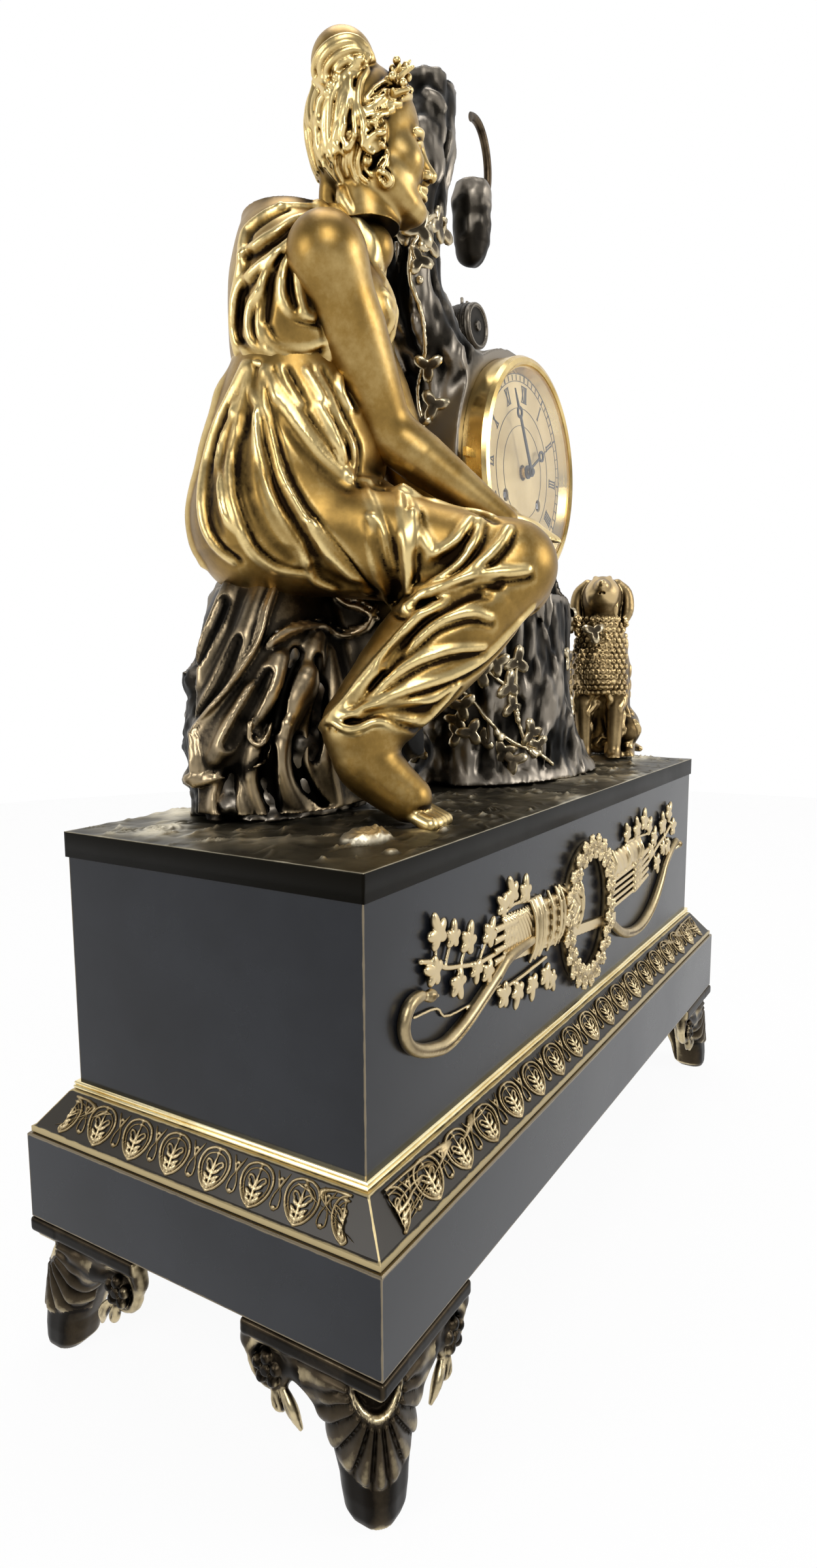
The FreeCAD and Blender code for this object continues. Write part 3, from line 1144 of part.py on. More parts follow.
# Tooth counts of the train
GREAT, FIRST_PINION = 60, 10
SECOND, CENTRE_PINION = 70, 10
CENTRE, THIRD_PINION = 80, 8
THIRD, ESCAPE_PINION = 96, 8
ESCAPE = 40
CANNON, MINUTE, MINUTE_PINION, HOUR = 14, 42, 12, 48


def crossing_point(ax, az, a_reach, cx, cz, c_reach, side):
    """The point at two reaches from two centres, to one side of the line between them."""
    gap = math.hypot(cx - ax, cz - az)
    along = (a_reach ** 2 - c_reach ** 2 + gap ** 2) / (2 * gap)
    off = math.sqrt(a_reach ** 2 - along ** 2) * side
    ux, uz = (cx - ax) / gap, (cz - az) / gap
    return ax + ux * along - uz * off, az + uz * along + ux * off


great_reach = (GREAT + FIRST_PINION) * s.great_module / 2
second_reach = (SECOND + CENTRE_PINION) * s.centre_module / 2
third_reach = 0.375 * (CENTRE + THIRD_PINION) / 2
centre_tooth, escape_tooth = 0.375, 0.3
escape_reach = (THIRD + ESCAPE_PINION) * escape_tooth / 2
ix, iz = crossing_point(0, 0, second_reach, bx, bz, great_reach, 1)
tx, tz = crossing_point(0, 0, third_reach, 0, s.escape_rise, escape_reach, 1)
escape_z, anchor_z = s.escape_rise, s.anchor_rise
mx, mz = 0.0, (CANNON + MINUTE) * s.motion_module / 2
kx, kz = -bx - great_reach / 2, bz + great_reach * math.sqrt(0.75)
great_level = front_back + 13.5
second_level = front_back + 17.5
third_level = front_back + 15.5
centre_level = front_back + 20.3
escape_level = front_back + 8.0

# The phases start at the centre arbor and run out along the train
centre_pinion_turn = 0.0
second_turn = mesh_turn(ix, iz, 0, 0, SECOND, CENTRE_PINION, centre_pinion_turn)
first_pinion_turn = 0.0
great_turn = mesh_turn(bx, bz, ix, iz, GREAT, FIRST_PINION, first_pinion_turn)
third_pinion_turn = mesh_turn(tx, tz, 0, 0, THIRD_PINION, CENTRE, 0.0)
third_turn = 0.0
escape_pinion_turn = mesh_turn(0, escape_z, tx, tz, ESCAPE_PINION, THIRD, third_turn)
minute_turn = mesh_turn(mx, mz, 0, 0, MINUTE, CANNON, 0.0)
hour_turn = mesh_turn(0, 0, mx, mz, HOUR, MINUTE_PINION, 0.0)
strike_turn = mesh_turn(-bx, bz, kx, kz, GREAT, FIRST_PINION, 0.0)


def barrel(x, turn):
    """A spring barrel with its toothed edge, free on its winding arbor."""
    hole = [circle_points(s.winding_radius + 0.1, 16, x, bz, 0.5)]
    pitch = GREAT * s.great_module / 2
    case_low = great_level - s.barrel_depth
    body = plate(circle_points(s.barrel_radius, 48, x, bz), hole, case_low, great_level)
    hollow = plate(circle_points(s.barrel_radius - wheel, 48, x, bz),
                   [circle_points(2 * s.winding_radius, 16, x, bz)], case_low + wheel,
                   great_level - wheel)
    gear = plate(teeth(GREAT, s.great_module, x, bz, turn), hole, great_level, great_level + wheel)
    return body.cut(hollow).fuse(gear).removeSplitter()


def winding_arbor(x):
    pieces = [rod(x, bz, s.winding_radius, s.plate_front - 2, back_back + 1)]
    square = circle_points(s.winding_radius, 4, x, bz, 0.5)
    pieces.append(plate(square, [], -s.dial_setback + s.dial_thickness / 2, s.plate_front - 1))
    collar_low = great_level - s.barrel_depth - wheel
    pieces.append(rod(x, bz, 1.6 * s.winding_radius, front_back + 0.2, collar_low + 0.9))
    return fused(pieces)


def arbor(x, z, low, high):
    """An arbor with thin pivots in both plates."""
    return [rod(x, z, s.arbor_radius, low, high),
            rod(x, z, s.pivot_radius, s.plate_front, low),
            rod(x, z, s.pivot_radius, high, back_back)]


shaft_low, shaft_high = front_back + 0.3, back_front - 0.3
shaped("going_barrel", barrel(bx, great_turn))
shaped("strike_barrel", barrel(-bx, strike_turn))
shaped("going_arbor", winding_arbor(bx))
shaped("strike_arbor", winding_arbor(-bx))
second_radius = SECOND * s.centre_module / 2
shaped("intermediate_wheel", fused(arbor(ix, iz, shaft_low, shaft_high) + [
    plate(teeth(FIRST_PINION, s.great_module, ix, iz, first_pinion_turn), [],
          great_level - 0.8, great_level + wheel + 0.6),
    plate(teeth(SECOND, s.centre_module, ix, iz, second_turn),
          crossed(second_radius - 1.3 * s.centre_module, 3.2, 2.0, 5, ix, iz),
          second_level, second_level + wheel)]))
centre_radius = CENTRE * centre_tooth / 2
cannon_low = s.plate_front - 1.0
cannon_front = -s.dial_setback - 4.6
shaped("centre_wheel", fused([
    rod(0, 0, 1.3 * s.arbor_radius, cannon_low - 0.2, shaft_high),
    rod(0, 0, s.pivot_radius, shaft_high, back_back),
    rod(0, 0, 1.7 * s.arbor_radius, cannon_front, cannon_low),
    plate(teeth(CANNON, s.motion_module, 0, 0), [], cannon_low - 2.2, cannon_low),
    plate(teeth(CENTRE_PINION, s.centre_module, 0, 0, centre_pinion_turn), [],
          second_level - 0.5, second_level + wheel + 0.5),
    plate(teeth(CENTRE, centre_tooth, 0, 0), crossed(centre_radius - 0.5, 3.0, 1.8, 5, 0, 0),
          centre_level, centre_level + wheel)]))
shaped("third_wheel", fused(arbor(tx, tz, shaft_low, shaft_high) + [
    plate(teeth(THIRD_PINION, 0.56 * centre_tooth, tx, tz, third_pinion_turn), [],
          centre_level - 0.5, centre_level + wheel + 0.5),
    plate(teeth(THIRD, 0.93 * escape_tooth, tx, tz, third_turn),
          crossed(0.93 * THIRD * escape_tooth / 2 - 0.4, 2.6, 1.6, 5, tx, tz),
          third_level, third_level + 0.8 * wheel)]))
escape_points = []
for i in range(ESCAPE):
    for radius, wide in ((0.84, 0.0), (1.0, 0.42), (0.985, 0.52), (0.84, 0.6)):
        angle = 2 * math.pi * (i + wide) / ESCAPE
        escape_points.append((s.escape_radius * radius * math.cos(angle),
                              escape_z + s.escape_radius * radius * math.sin(angle)))
shaped("escape_wheel", fused(arbor(0, escape_z, shaft_low, shaft_high) + [
    plate(teeth(ESCAPE_PINION, escape_tooth, 0, escape_z, escape_pinion_turn), [],
          third_level - 0.6, third_level + 1.4 * wheel),
    plate(escape_points, crossed(0.8 * s.escape_radius, 2.2, 0.9, 4, 0, escape_z),
          escape_level, escape_level + 0.8 * wheel)]))

# The anchor, with its crutch behind the back plate
ANCHOR_SHARES = [(-0.3, 0.2), (0.3, 0.2), (0.86, -0.16), (1.12, -0.62), (1.06, -0.78),
                 (0.92, -0.6), (0.7, -0.3), (0.25, -0.14), (-0.25, -0.14), (-0.7, -0.3),
                 (-0.92, -0.6), (-1.06, -0.78), (-1.12, -0.62), (-0.86, -0.16)]
anchor_outline = [(a * (s.escape_radius + 1.4), anchor_z + b * (s.escape_radius + 1.4))
                  for a, b in ANCHOR_SHARES]
crutch_low, crutch_high = back_back + 1.6, back_back + 3.2
pendulum_back = s.pendulum_plane
crutch_drop = 30.0 / 38.4 * anchor_z
prong_x = s.rod_thickness + 3 * s.running_gap
shaped("anchor", fused([
    rod(0, anchor_z, s.arbor_radius, shaft_low, crutch_high),
    rod(0, anchor_z, s.pivot_radius, s.plate_front, shaft_low),
    plate(anchor_outline, [], escape_level, escape_level + 0.8 * wheel),
    plate([(-wheel, anchor_z - crutch_drop), (wheel, anchor_z - crutch_drop),
           (wheel, anchor_z), (-wheel, anchor_z)], [], crutch_low, crutch_high),
    plate([(-prong_x - wheel, anchor_z - crutch_drop), (prong_x + wheel, anchor_z - crutch_drop),
           (prong_x + wheel, anchor_z - crutch_drop + 3 * wheel),
           (-prong_x - wheel, anchor_z - crutch_drop + 3 * wheel)], [], crutch_low, crutch_high)]
    + [plate([(side * prong_x, anchor_z - crutch_drop),
              (side * (prong_x + wheel), anchor_z - crutch_drop),
              (side * (prong_x + wheel), anchor_z - crutch_drop + 2 * wheel),
              (side * prong_x, anchor_z - crutch_drop + 2 * wheel)], [],
             crutch_high, pendulum_back + s.rod_thickness) for side in (1, -1)]))

# The plates: the front one carries the pillars, the back one the cock of the pendulum
pivot_hole = s.pivot_radius + s.running_gap
pivots = [(ix, iz), (tx, tz), (0, escape_z)]
PILLAR_PLACES = [(0.65, 0.62), (-0.65, 0.62), (0.2, -0.87), (-0.2, -0.87)]
pillar_places = [(a * s.plate_radius, b * s.plate_radius) for a, b in PILLAR_PLACES]
barrel_holes = [circle_points(s.winding_radius + 0.1, 16, x, bz, 0.5) for x in (bx, -bx)]
front_pivots = [circle_points(pivot_hole, 16, x, z, 0.5) for x, z in pivots + [(0, anchor_z),
                                                                            (kx, kz)]]
centre_hole = [circle_points(1.3 * s.arbor_radius + 0.1, 16, 0, 0, 0.5)]
front_plate = plate(circle_points(s.plate_radius, 72), barrel_holes + front_pivots + centre_hole,
                    s.plate_front, front_back)
minute_pin = rod(mx, mz, s.arbor_radius, s.plate_front - 6.4, s.plate_front)
front_pillars = [rod(x, z, 2.4 * s.arbor_radius, front_back, back_front) for x, z in pillar_places]
front_tails = [rod(x, z, 1.2 * s.arbor_radius, back_front, back_back + 2)
               for x, z in pillar_places]
shaped("front_plate", fused([front_plate, minute_pin] + front_pillars + front_tails))
back_pivots = [circle_points(pivot_hole, 16, x, z, 0.5) for x, z in pivots + [(0, 0)]]
tail_holes = [circle_points(1.2 * s.arbor_radius + 0.1, 16, x, z, 0.5) for x, z in pillar_places]
through = [circle_points(s.arbor_radius + 0.1, 16, 0, anchor_z, 0.5),
           circle_points(s.arbor_radius + 0.1, 16, kx, kz, 0.5)]
back_plate = plate(circle_points(s.plate_radius, 72),
                   barrel_holes + back_pivots + tail_holes + through, back_front, back_back)
cock_x, cock_low = 9.0, anchor_z - 3.6
cock_high = math.sqrt(s.plate_radius ** 2 - (cock_x + 2) ** 2)
cock_back = crutch_high + 0.5
legs = [plate([(x, cock_low), (x + 2, cock_low), (x + 2, cock_high), (x, cock_high)], [],
              back_back, cock_back) for x in (cock_x, -cock_x - 2)]
bridge = plate([(-cock_x - 2, cock_low), (cock_x + 2, cock_low), (cock_x + 2, cock_high),
                (-cock_x - 2, cock_high)], [], cock_back, cock_back + 1.6)
hanger_pin = rod(0, anchor_z, s.arbor_radius, cock_back + 1.6, pendulum_back + 2.6)
hanger_head = rod(0, anchor_z, 1.7 * s.arbor_radius, pendulum_back + 1.9, pendulum_back + 2.6)
hammer_x, hammer_z = 1.17 * s.bell_radius, 0.07 * s.bell_radius
hammer_back = s.bell_back - 0.75 * s.bell_depth
hammer_pin = rod(hammer_x, hammer_z, s.arbor_radius, back_back, hammer_back + 2)
shaped("back_plate", fused([back_plate, bridge, hanger_pin, hanger_head, hammer_pin] + legs))

# Motion work in front of the front plate
minute_low = cannon_low - 1.8
hour_low = minute_low - 2.4
pipe_hole = [circle_points(1.7 * s.arbor_radius + 0.12, 16, 0, 0, 0.5)]
minute_hole = [circle_points(s.arbor_radius + 0.12, 16, mx, mz, 0.5)]
shaped("minute_wheel", fused([
    plate(teeth(MINUTE, s.motion_module, mx, mz, minute_turn), minute_hole
          + crossed(MINUTE * s.motion_module / 2 - 0.6, 3.4, 1.4, 4, mx, mz),
          minute_low, minute_low + wheel),
    plate(teeth(MINUTE_PINION, s.hour_module, mx, mz), minute_hole, hour_low - 0.4, minute_low)]))
hour_front = -s.dial_setback - 2.5
shaped("hour_wheel", fused([
    plate(teeth(HOUR, s.hour_module, 0, 0, hour_turn),
          pipe_hole + crossed(HOUR * s.hour_module / 2 - 0.6, 3.6, 1.4, 4, 0, 0),
          hour_low, hour_low + wheel),
    plate(circle_points(2.6 * s.arbor_radius, 16, 0, 0, 0.5), pipe_hole, hour_front, hour_low)]))


def hand(length, moon, degrees, hub, hole, low):
    """A slim hand with a pierced moon near its tip."""
    turn = math.radians(degrees)
    ux, uz = math.sin(turn), math.cos(turn)

    def at(along, across):
        return (ux * along - uz * across, uz * along + ux * across)

    high = low + s.hand_thickness
    moon_at = 0.72 * length
    stem = plate([at(0, -0.024 * length), at(moon_at, -0.016 * length),
                  at(moon_at, 0.016 * length), at(0, 0.024 * length)], [], low, high)
    tip = plate([at(moon_at, -0.02 * length), at(length, 0), at(moon_at, 0.02 * length)],
                [], low, high)
    mx_, mz_ = at(moon_at, 0)
    hub_plate = plate(circle_points(hub, 24), [], low, high)
    disc = plate(circle_points(moon, 24, mx_, mz_), [], low, high)
    window = plate(circle_points(0.62 * moon, 24, mx_, mz_), [], low, high)
    bore_plate = plate(circle_points(hole, 16, 0, 0, 0.5), [], low, high)
    return fused([stem, tip, hub_plate, disc]).cut([window, bore_plate])


hour_degrees, minute_degrees = 57.5, 330.0
hour_hand_low = hour_front - s.hand_thickness
shaped("hour_hand", fused([
    hand(s.hour_length, 2.9, hour_degrees, 3.4, 1.7 * s.arbor_radius + 0.12, hour_hand_low),
    plate(circle_points(3.2, 24), pipe_hole, hour_front - 0.01, hour_front)]))
minute_hand_low = cannon_front - s.hand_thickness
shaped("minute_hand", fused([
    hand(s.minute_length, 2.9, minute_degrees, 2.6, 0.7, minute_hand_low),
    plate(circle_points(1.6, 24), [], minute_hand_low - 0.8, minute_hand_low)]))

# The pendulum
bob_text = "anchor_rise - pendulum_length"
rod_bottom = anchor_z - s.pendulum_length - s.bob_radius - 2.2 * s.nut_radius
eye = plate(circle_points(2.6 * s.arbor_radius, 24, 0, anchor_z),
            [circle_points(s.arbor_radius + 0.08, 16, 0, anchor_z, 0.5)],
            pendulum_back - s.rod_thickness, pendulum_back + s.rod_thickness)
wire = Part.makeCylinder(s.rod_thickness, anchor_z - 2.2 * s.arbor_radius - rod_bottom,
                         clock_at(0, pendulum_back, rod_bottom))
shaped("pendulum_rod", fused([eye, wire]))
BOB_SHARES = [(0.0, 0.5), (0.6, 0.42), (0.9, 0.24), (1.0, 0.08), (1.0, -0.08), (0.9, -0.24),
              (0.6, -0.42), (0.0, -0.5)]
bob_turning = turned("bob_turning", [("bob_radius * %s" % a, "bob_thickness * %s" % b)
                                     for a, b in BOB_SHARES])
del parts["bob_turning"]
bob_hole = solid("Cylinder", "bob_hole", ("0", "0", "-2 * bob_radius"),
                 Radius="rod_thickness + running_gap", Height="4 * bob_radius")
bob = part("bob", cut("bob", bob_turning, bob_hole))
set_place(bob, "clock_x", "drum_front + pendulum_plane", "%s + %s" % (clock_z_text, bob_text))
nut_turning = solid("Cylinder", "nut_blank", Radius="nut_radius", Height="nut_radius")
nut_hole = solid("Cylinder", "nut_hole", Radius="rod_thickness + running_gap",
                 Height="2 * nut_radius")
rating = part("rating_nut", cut("rating_nut", nut_turning, nut_hole))
set_place(rating, "clock_x", "drum_front + pendulum_plane",
          "%s + %s - bob_radius - 1.2 * nut_radius" % (clock_z_text, bob_text))

# The strike side: count wheel, hammer, bell and stand
count_low = back_back + 1.0
count_radius = 0.86 * great_reach * 0.7
count_points = []
NOTCHES = [0, 2, 5, 9, 14, 20, 27, 35, 44, 54, 65, 77]
for i in range(90):
    grow = 0.86 if i in NOTCHES else 1.0
    for wide in (0.12, 0.88):
        angle = 2 * math.pi * (i + wide) / 90
        count_points.append((kx + count_radius * grow * math.cos(angle),
                             kz + count_radius * grow * math.sin(angle)))
shaped("count_wheel", fused([
    rod(kx, kz, s.arbor_radius, shaft_low, count_low + wheel + 1),
    rod(kx, kz, s.pivot_radius, s.plate_front, shaft_low),
    plate(teeth(FIRST_PINION, s.great_module, kx, kz), [], great_level - 0.8,
          great_level + wheel + 0.6),
    plate(count_points, [], count_low, count_low + wheel)]))
arm_length = 0.66 * s.bell_radius
sleeve = plate(circle_points(2.4 * s.arbor_radius, 24, hammer_x, hammer_z),
               [circle_points(s.arbor_radius + 0.1, 16, hammer_x, hammer_z, 0.5)],
               back_back + 0.4, hammer_back + 1.6)
hammer_arm = plate([(hammer_x - 1, hammer_z + 1.8), (hammer_x + 1, hammer_z + 1.8),
                    (hammer_x + 1, hammer_z + arm_length), (hammer_x - 1, hammer_z + arm_length)],
                   [], hammer_back - 0.8, hammer_back + 1.2)
hammer_head = plate([(hammer_x - 3.2, hammer_z + arm_length), (hammer_x + 4, hammer_z + arm_length),
                     (hammer_x + 4, hammer_z + arm_length + 5),
                     (hammer_x - 3.2, hammer_z + arm_length + 5)], [], hammer_back - 2,
                    hammer_back + 2.4)
shaped("hammer", fused([sleeve, hammer_arm, hammer_head]))
BELL_SHARES = [(1.0, 0.0), (0.985, 0.3), (0.9, 0.62), (0.7, 0.87), (0.4, 0.97)]
bell_z_text = clock_z_text
inside_bell = [("(bell_radius - bell_wall) * %s" % a, "bell_back - bell_depth + (bell_depth "
                "- bell_wall) * %s" % b) for a, b in BELL_SHARES]
outside_bell = [("bell_radius * %s" % a, "bell_back - bell_depth + bell_depth * %s" % b)
                for a, b in BELL_SHARES]
bell_profile = (outside_bell + [("2 * arbor_radius", "bell_back"),
                                ("2 * arbor_radius", "bell_back - bell_wall")]
                + inside_bell[::-1])
turned("bell", bell_profile, "clock_x", "drum_front", bell_z_text)
stand_x, stand_z = 0.41 * s.bell_radius, -0.41 * s.bell_radius
stand_back = s.bell_back - 2.4 * s.bell_wall
shaped("bell_stand", fused([
    rod(stand_x, stand_z, 2 * s.arbor_radius, back_back, stand_back),
    plate([(stand_x - 1.6, stand_z - 2), (stand_x + 2, stand_z + 1.6), (1.6, 2), (-2, -1.6)], [],
          stand_back - 2.4, stand_back),
    rod(0, 0, 3 * s.arbor_radius, stand_back - 2.4, s.bell_back - 1.06 * s.bell_wall),
    rod(0, 0, 1.5 * s.arbor_radius, stand_back - 1.2, s.bell_back + 2.6),
    rod(0, 0, 2.8 * s.arbor_radius, s.bell_back, s.bell_back + 1.6, 6)]))

# The rear ring and its hinged door, and the two long screws that hold ring to ring
rear_hinge_x = "(rear_door_radius + 1.15 * knuckle_radius)"
rear_hinge_y = "(drum_length + rear_ring + 0.8 * knuckle_radius)"
rear_turning = turned("rear_turning", [
    ("drum_bore - slip_gap", "drum_length - plate_front"), ("drum_bore - slip_gap", "drum_length"),
    ("drum_radius - 2", "drum_length"), ("drum_radius - 2", "drum_length + rear_ring"),
    ("plate_radius", "drum_length + rear_ring"), ("plate_radius", "drum_length - plate_front")])
del parts["rear_turning"]
rear_pieces = [rear_turning]
for name, low, high in (("upper", outer_low, outer_high), ("lower", "-" + outer_high,
                                                         "-(%s)" % outer_low)):
    rear_pieces.append(knuckle("rear_knuckle_" + name, low, high, "0.75 * knuckle_radius",
                               rear_hinge_x, rear_hinge_y))
    rear_pieces.append(leaf_block("rear_leaf_" + name, low, high,
                                  rear_hinge_x + " - 0.3 * knuckle_radius",
                                  rear_hinge_x + " + 0.6 * knuckle_radius",
                                  "drum_length + rear_ring / 2", rear_hinge_y))
rear_pieces.append(knuckle("rear_pin", "-2.1 * knuckle_half", "2.1 * knuckle_half",
                           "0.6 * hinge_pin", rear_hinge_x, rear_hinge_y))
rear_ring = part("rear_ring", joined("rear_ring", rear_pieces))
door_turning = turned("rear_door_turning", [
    ("0", "drum_length + rear_ring"), ("rear_door_radius", "drum_length + rear_ring"),
    ("rear_door_radius", "drum_length + rear_ring + rear_door_thickness"),
    ("0", "drum_length + rear_ring + rear_door_thickness")])
del parts["rear_door_turning"]
door_solid = joined("rear_door_solid", [
    door_turning, knuckle("door_knuckle", "-knuckle_half", "knuckle_half",
                          "0.75 * knuckle_radius", rear_hinge_x, rear_hinge_y),
    leaf_block("door_leaf", "-knuckle_half", "knuckle_half", "rear_door_radius - 3",
               rear_hinge_x, "drum_length + rear_ring + 0.1",
               "drum_length + rear_ring + rear_door_thickness"),
    solid("Cylinder", "door_knob", ("3 - rear_door_radius", "drum_length + rear_ring + 1.1 * knuckle_radius", "0"),
          Radius="knuckle_radius", Height="1.6 * knuckle_radius")])
door_hole = knuckle("door_pin_hole", "-2 * knuckle_half", "2 * knuckle_half",
                    "0.6 * hinge_pin + running_gap", rear_hinge_x, rear_hinge_y)
rear_door = part("rear_door", cut("rear_door", door_solid, door_hole))
for thing in (rear_ring, rear_door):
    set_place(thing, "clock_x", "drum_front", clock_z_text)
rod_reach = s.plate_radius + 0.5 * (s.drum_bore - s.plate_radius)
case_rods = [Part.makeCylinder(0.5 * s.rod_radius, s.drum_length - 2 * s.plate_front,
                               clock_at(side * rod_reach, s.plate_front, 0), Y_AXIS)
             for side in (1, -1)]
shaped("case_rods", Part.makeCompound(case_rods))

# The tail: checks each sub-part and writes its file
doc.recompute()
os.makedirs("parts", exist_ok=True)
for old in os.listdir("parts"):
    os.remove(os.path.join("parts", old))
for item in doc.Objects:
    if "Invalid" in item.State or "Error" in item.State:
        raise RuntimeError("not built: " + item.Label)
for node, thing in parts.items():
    shape = thing.Shape
    if shape.isNull() or not shape.isValid() or not shape.Solids:
        raise RuntimeError("bad shape: " + node)
    shape.exportStep("parts/%s.step" % node)
    print(node, len(shape.Solids), round(shape.Volume), [round(v, 1) for v in (
        shape.BoundBox.XMin, shape.BoundBox.XMax, shape.BoundBox.YMin, shape.BoundBox.YMax,
        shape.BoundBox.ZMin, shape.BoundBox.ZMax)])
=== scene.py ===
import math
import bpy
import numpy as np
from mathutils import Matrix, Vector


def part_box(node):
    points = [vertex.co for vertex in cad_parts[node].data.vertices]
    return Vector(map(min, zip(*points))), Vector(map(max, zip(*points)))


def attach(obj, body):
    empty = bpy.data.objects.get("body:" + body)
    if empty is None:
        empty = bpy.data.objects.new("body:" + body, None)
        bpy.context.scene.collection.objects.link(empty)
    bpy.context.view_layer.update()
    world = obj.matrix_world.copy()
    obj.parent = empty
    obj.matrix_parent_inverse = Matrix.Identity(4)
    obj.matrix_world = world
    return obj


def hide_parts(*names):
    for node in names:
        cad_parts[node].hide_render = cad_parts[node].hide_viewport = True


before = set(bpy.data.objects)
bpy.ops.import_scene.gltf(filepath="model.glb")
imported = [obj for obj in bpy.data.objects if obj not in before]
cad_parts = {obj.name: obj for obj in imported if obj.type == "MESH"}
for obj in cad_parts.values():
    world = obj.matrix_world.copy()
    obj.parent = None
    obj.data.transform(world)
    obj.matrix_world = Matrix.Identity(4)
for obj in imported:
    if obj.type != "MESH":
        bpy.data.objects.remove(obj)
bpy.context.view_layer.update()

import openvdb
from mathutils import Matrix, Vector

# The studio: a pale floor, a pale backdrop behind the clock, soft lamps, and a camera
# that stands low at the front left corner and looks along the figure's back.
PHOTO_WIDTH, PHOTO_HEIGHT, PHOTO_FOCUS = 1250, 2400, 1403.1
CAMERA_TURN, CAMERA_TILT, CAMERA_ROLL = math.radians(-58.5152), math.radians(7.58727), math.radians(-0.21906)
EYE = np.array([-427.3, -229.2, 280.8])
level = Vector((math.sin(CAMERA_TURN), -math.cos(CAMERA_TURN), 0)) * math.cos(CAMERA_TILT)
eye_back = Vector((level.x, level.y, math.sin(CAMERA_TILT)))
eye_side = Vector((0, 0, 1)).cross(eye_back).normalized()
eye_up = eye_back.cross(eye_side)
roll = Matrix.Rotation(CAMERA_ROLL, 3, eye_back)
eye_side, eye_up = roll @ eye_side, roll @ eye_up
camera = bpy.data.objects.new("camera", bpy.data.cameras.new("camera"))
bpy.context.collection.objects.link(camera)
camera.data.sensor_fit = "VERTICAL"
camera.data.sensor_height = 36
camera.data.lens = 36 * PHOTO_FOCUS / PHOTO_HEIGHT
camera.data.clip_start = 0.01
camera.matrix_world = Matrix.Translation(Vector(EYE / 1000)) @ Matrix(
    (eye_side, eye_up, eye_back)).transposed().to_4x4()
bpy.context.scene.camera = camera
bpy.context.scene.view_settings.view_transform = "Standard"


class Wire:
    """A socket of a material, with arithmetic."""

    def __init__(self, tree, socket):
        self.tree, self.socket = tree, socket

    def _maths(self, kind, first, second, clamp=False):
        made = self.tree.nodes.new("ShaderNodeMath")
        made.operation, made.use_clamp = kind, clamp
        for slot, value in zip(made.inputs, (first, second)):
            if isinstance(value, Wire):
                self.tree.links.new(value.socket, slot)
            else:
                slot.default_value = value
        return Wire(self.tree, made.outputs[0])

    def __add__(self, other):
        return self._maths("ADD", self, other)

    __radd__ = __add__

    def __sub__(self, other):
        return self._maths("SUBTRACT", self, other)

    def __rsub__(self, other):
        return self._maths("SUBTRACT", other, self)

    def __mul__(self, other):
        return self._maths("MULTIPLY", self, other)

    __rmul__ = __mul__

    def __truediv__(self, other):
        return self._maths("DIVIDE", self, other)

    def held(self):
        return self._maths("ADD", self, 0.0, clamp=True)


class Finish:
    """One material: its principled shader and the nodes that feed it."""

    def __init__(self, name, **settings):
        self.material = bpy.data.materials.new(name)
        self.material.use_nodes = True
        self.tree = self.material.node_tree
        self.shader = self.tree.nodes["Principled BSDF"]
        self.set(**settings)

    def set(self, **settings):
        for name, value in settings.items():
            slot = self.shader.inputs[name.replace("_", " ")]
            if isinstance(value, Wire):
                self.tree.links.new(value.socket, slot)
            else:
                slot.default_value = value

    def node(self, kind, settings=(), out=0, **inputs):
        made = self.tree.nodes.new("ShaderNode" + kind)
        for name, value in dict(settings).items():
            if name == "stops":
                while len(made.color_ramp.elements) < len(value):
                    made.color_ramp.elements.new(0.5)
                for stop, (place, colour) in zip(made.color_ramp.elements, value):
                    stop.position, stop.color = place, (*colour, 1)
            else:
                setattr(made, name, value)
        for name, value in inputs.items():
            slot = made.inputs[int(name[1:]) if name[0] == "i" and name[1:].isdigit() else name]
            if isinstance(value, Wire):
                self.tree.links.new(value.socket, slot)
            else:
                slot.default_value = value
        return Wire(self.tree, made.outputs[out])

    def place(self):
        return self.node("TexCoord", out=3)

    def noise(self, scale, detail=4.0, rough=0.55, stretch=None):
        place = self.place()
        if stretch:
            place = self.node("Mapping", Vector=place, Scale=stretch)
        return self.node("TexNoise", Vector=place, Scale=scale, Detail=detail, Roughness=rough)

    def attribute(self, name):
        return self.node("Attribute", {"attribute_name": name}, out=2)

    def ramp(self, factor, *stops):
        return self.node("ValToRGB", {"stops": stops}, Fac=factor)

    def mix(self, factor, first, second):
        wide = [value if isinstance(value, Wire) else (*value, 1) for value in (first, second)]
        return self.node("Mix", {"data_type": "RGBA"}, out=2, i0=factor, i6=wide[0], i7=wide[1])

    def between(self, value, low, high):
        return ((value - low) / (high - low)).held()

    def bump(self, height, strength=0.3, distance=0.0003):
        self.set(Normal=self.node("Bump", Strength=strength, Distance=distance, Height=height))


def seen_white(name, colour, strength):
    """A stage finish that looks white to the camera and to metal, and still takes a shadow."""
    finish = Finish(name, Base_Color=(*colour, 1), Roughness=0.9)
    paths = [finish.node("LightPath", out=number) for number in (0, 3, 6)]
    glow = finish.node("Emission", Color=(1, 1, 1, 1), Strength=1.0)
    blend = finish.node("MixShader", i0=(paths[0] + paths[1] + paths[2]).held() * strength,
                        i1=Wire(finish.tree, finish.shader.outputs[0]), i2=glow)
    finish.tree.links.new(blend.socket, finish.tree.nodes["Material Output"].inputs["Surface"])
    return finish.material


def plain_mesh(name, points, faces, material, smooth=True):
    mesh = bpy.data.meshes.new(name)
    mesh.from_pydata([tuple(point) for point in points], [], faces)
    if smooth:
        mesh.polygons.foreach_set("use_smooth", [True] * len(mesh.polygons))
    mesh.materials.append(material)
    made = bpy.data.objects.new(name, mesh)
    bpy.context.collection.objects.link(made)
    return made


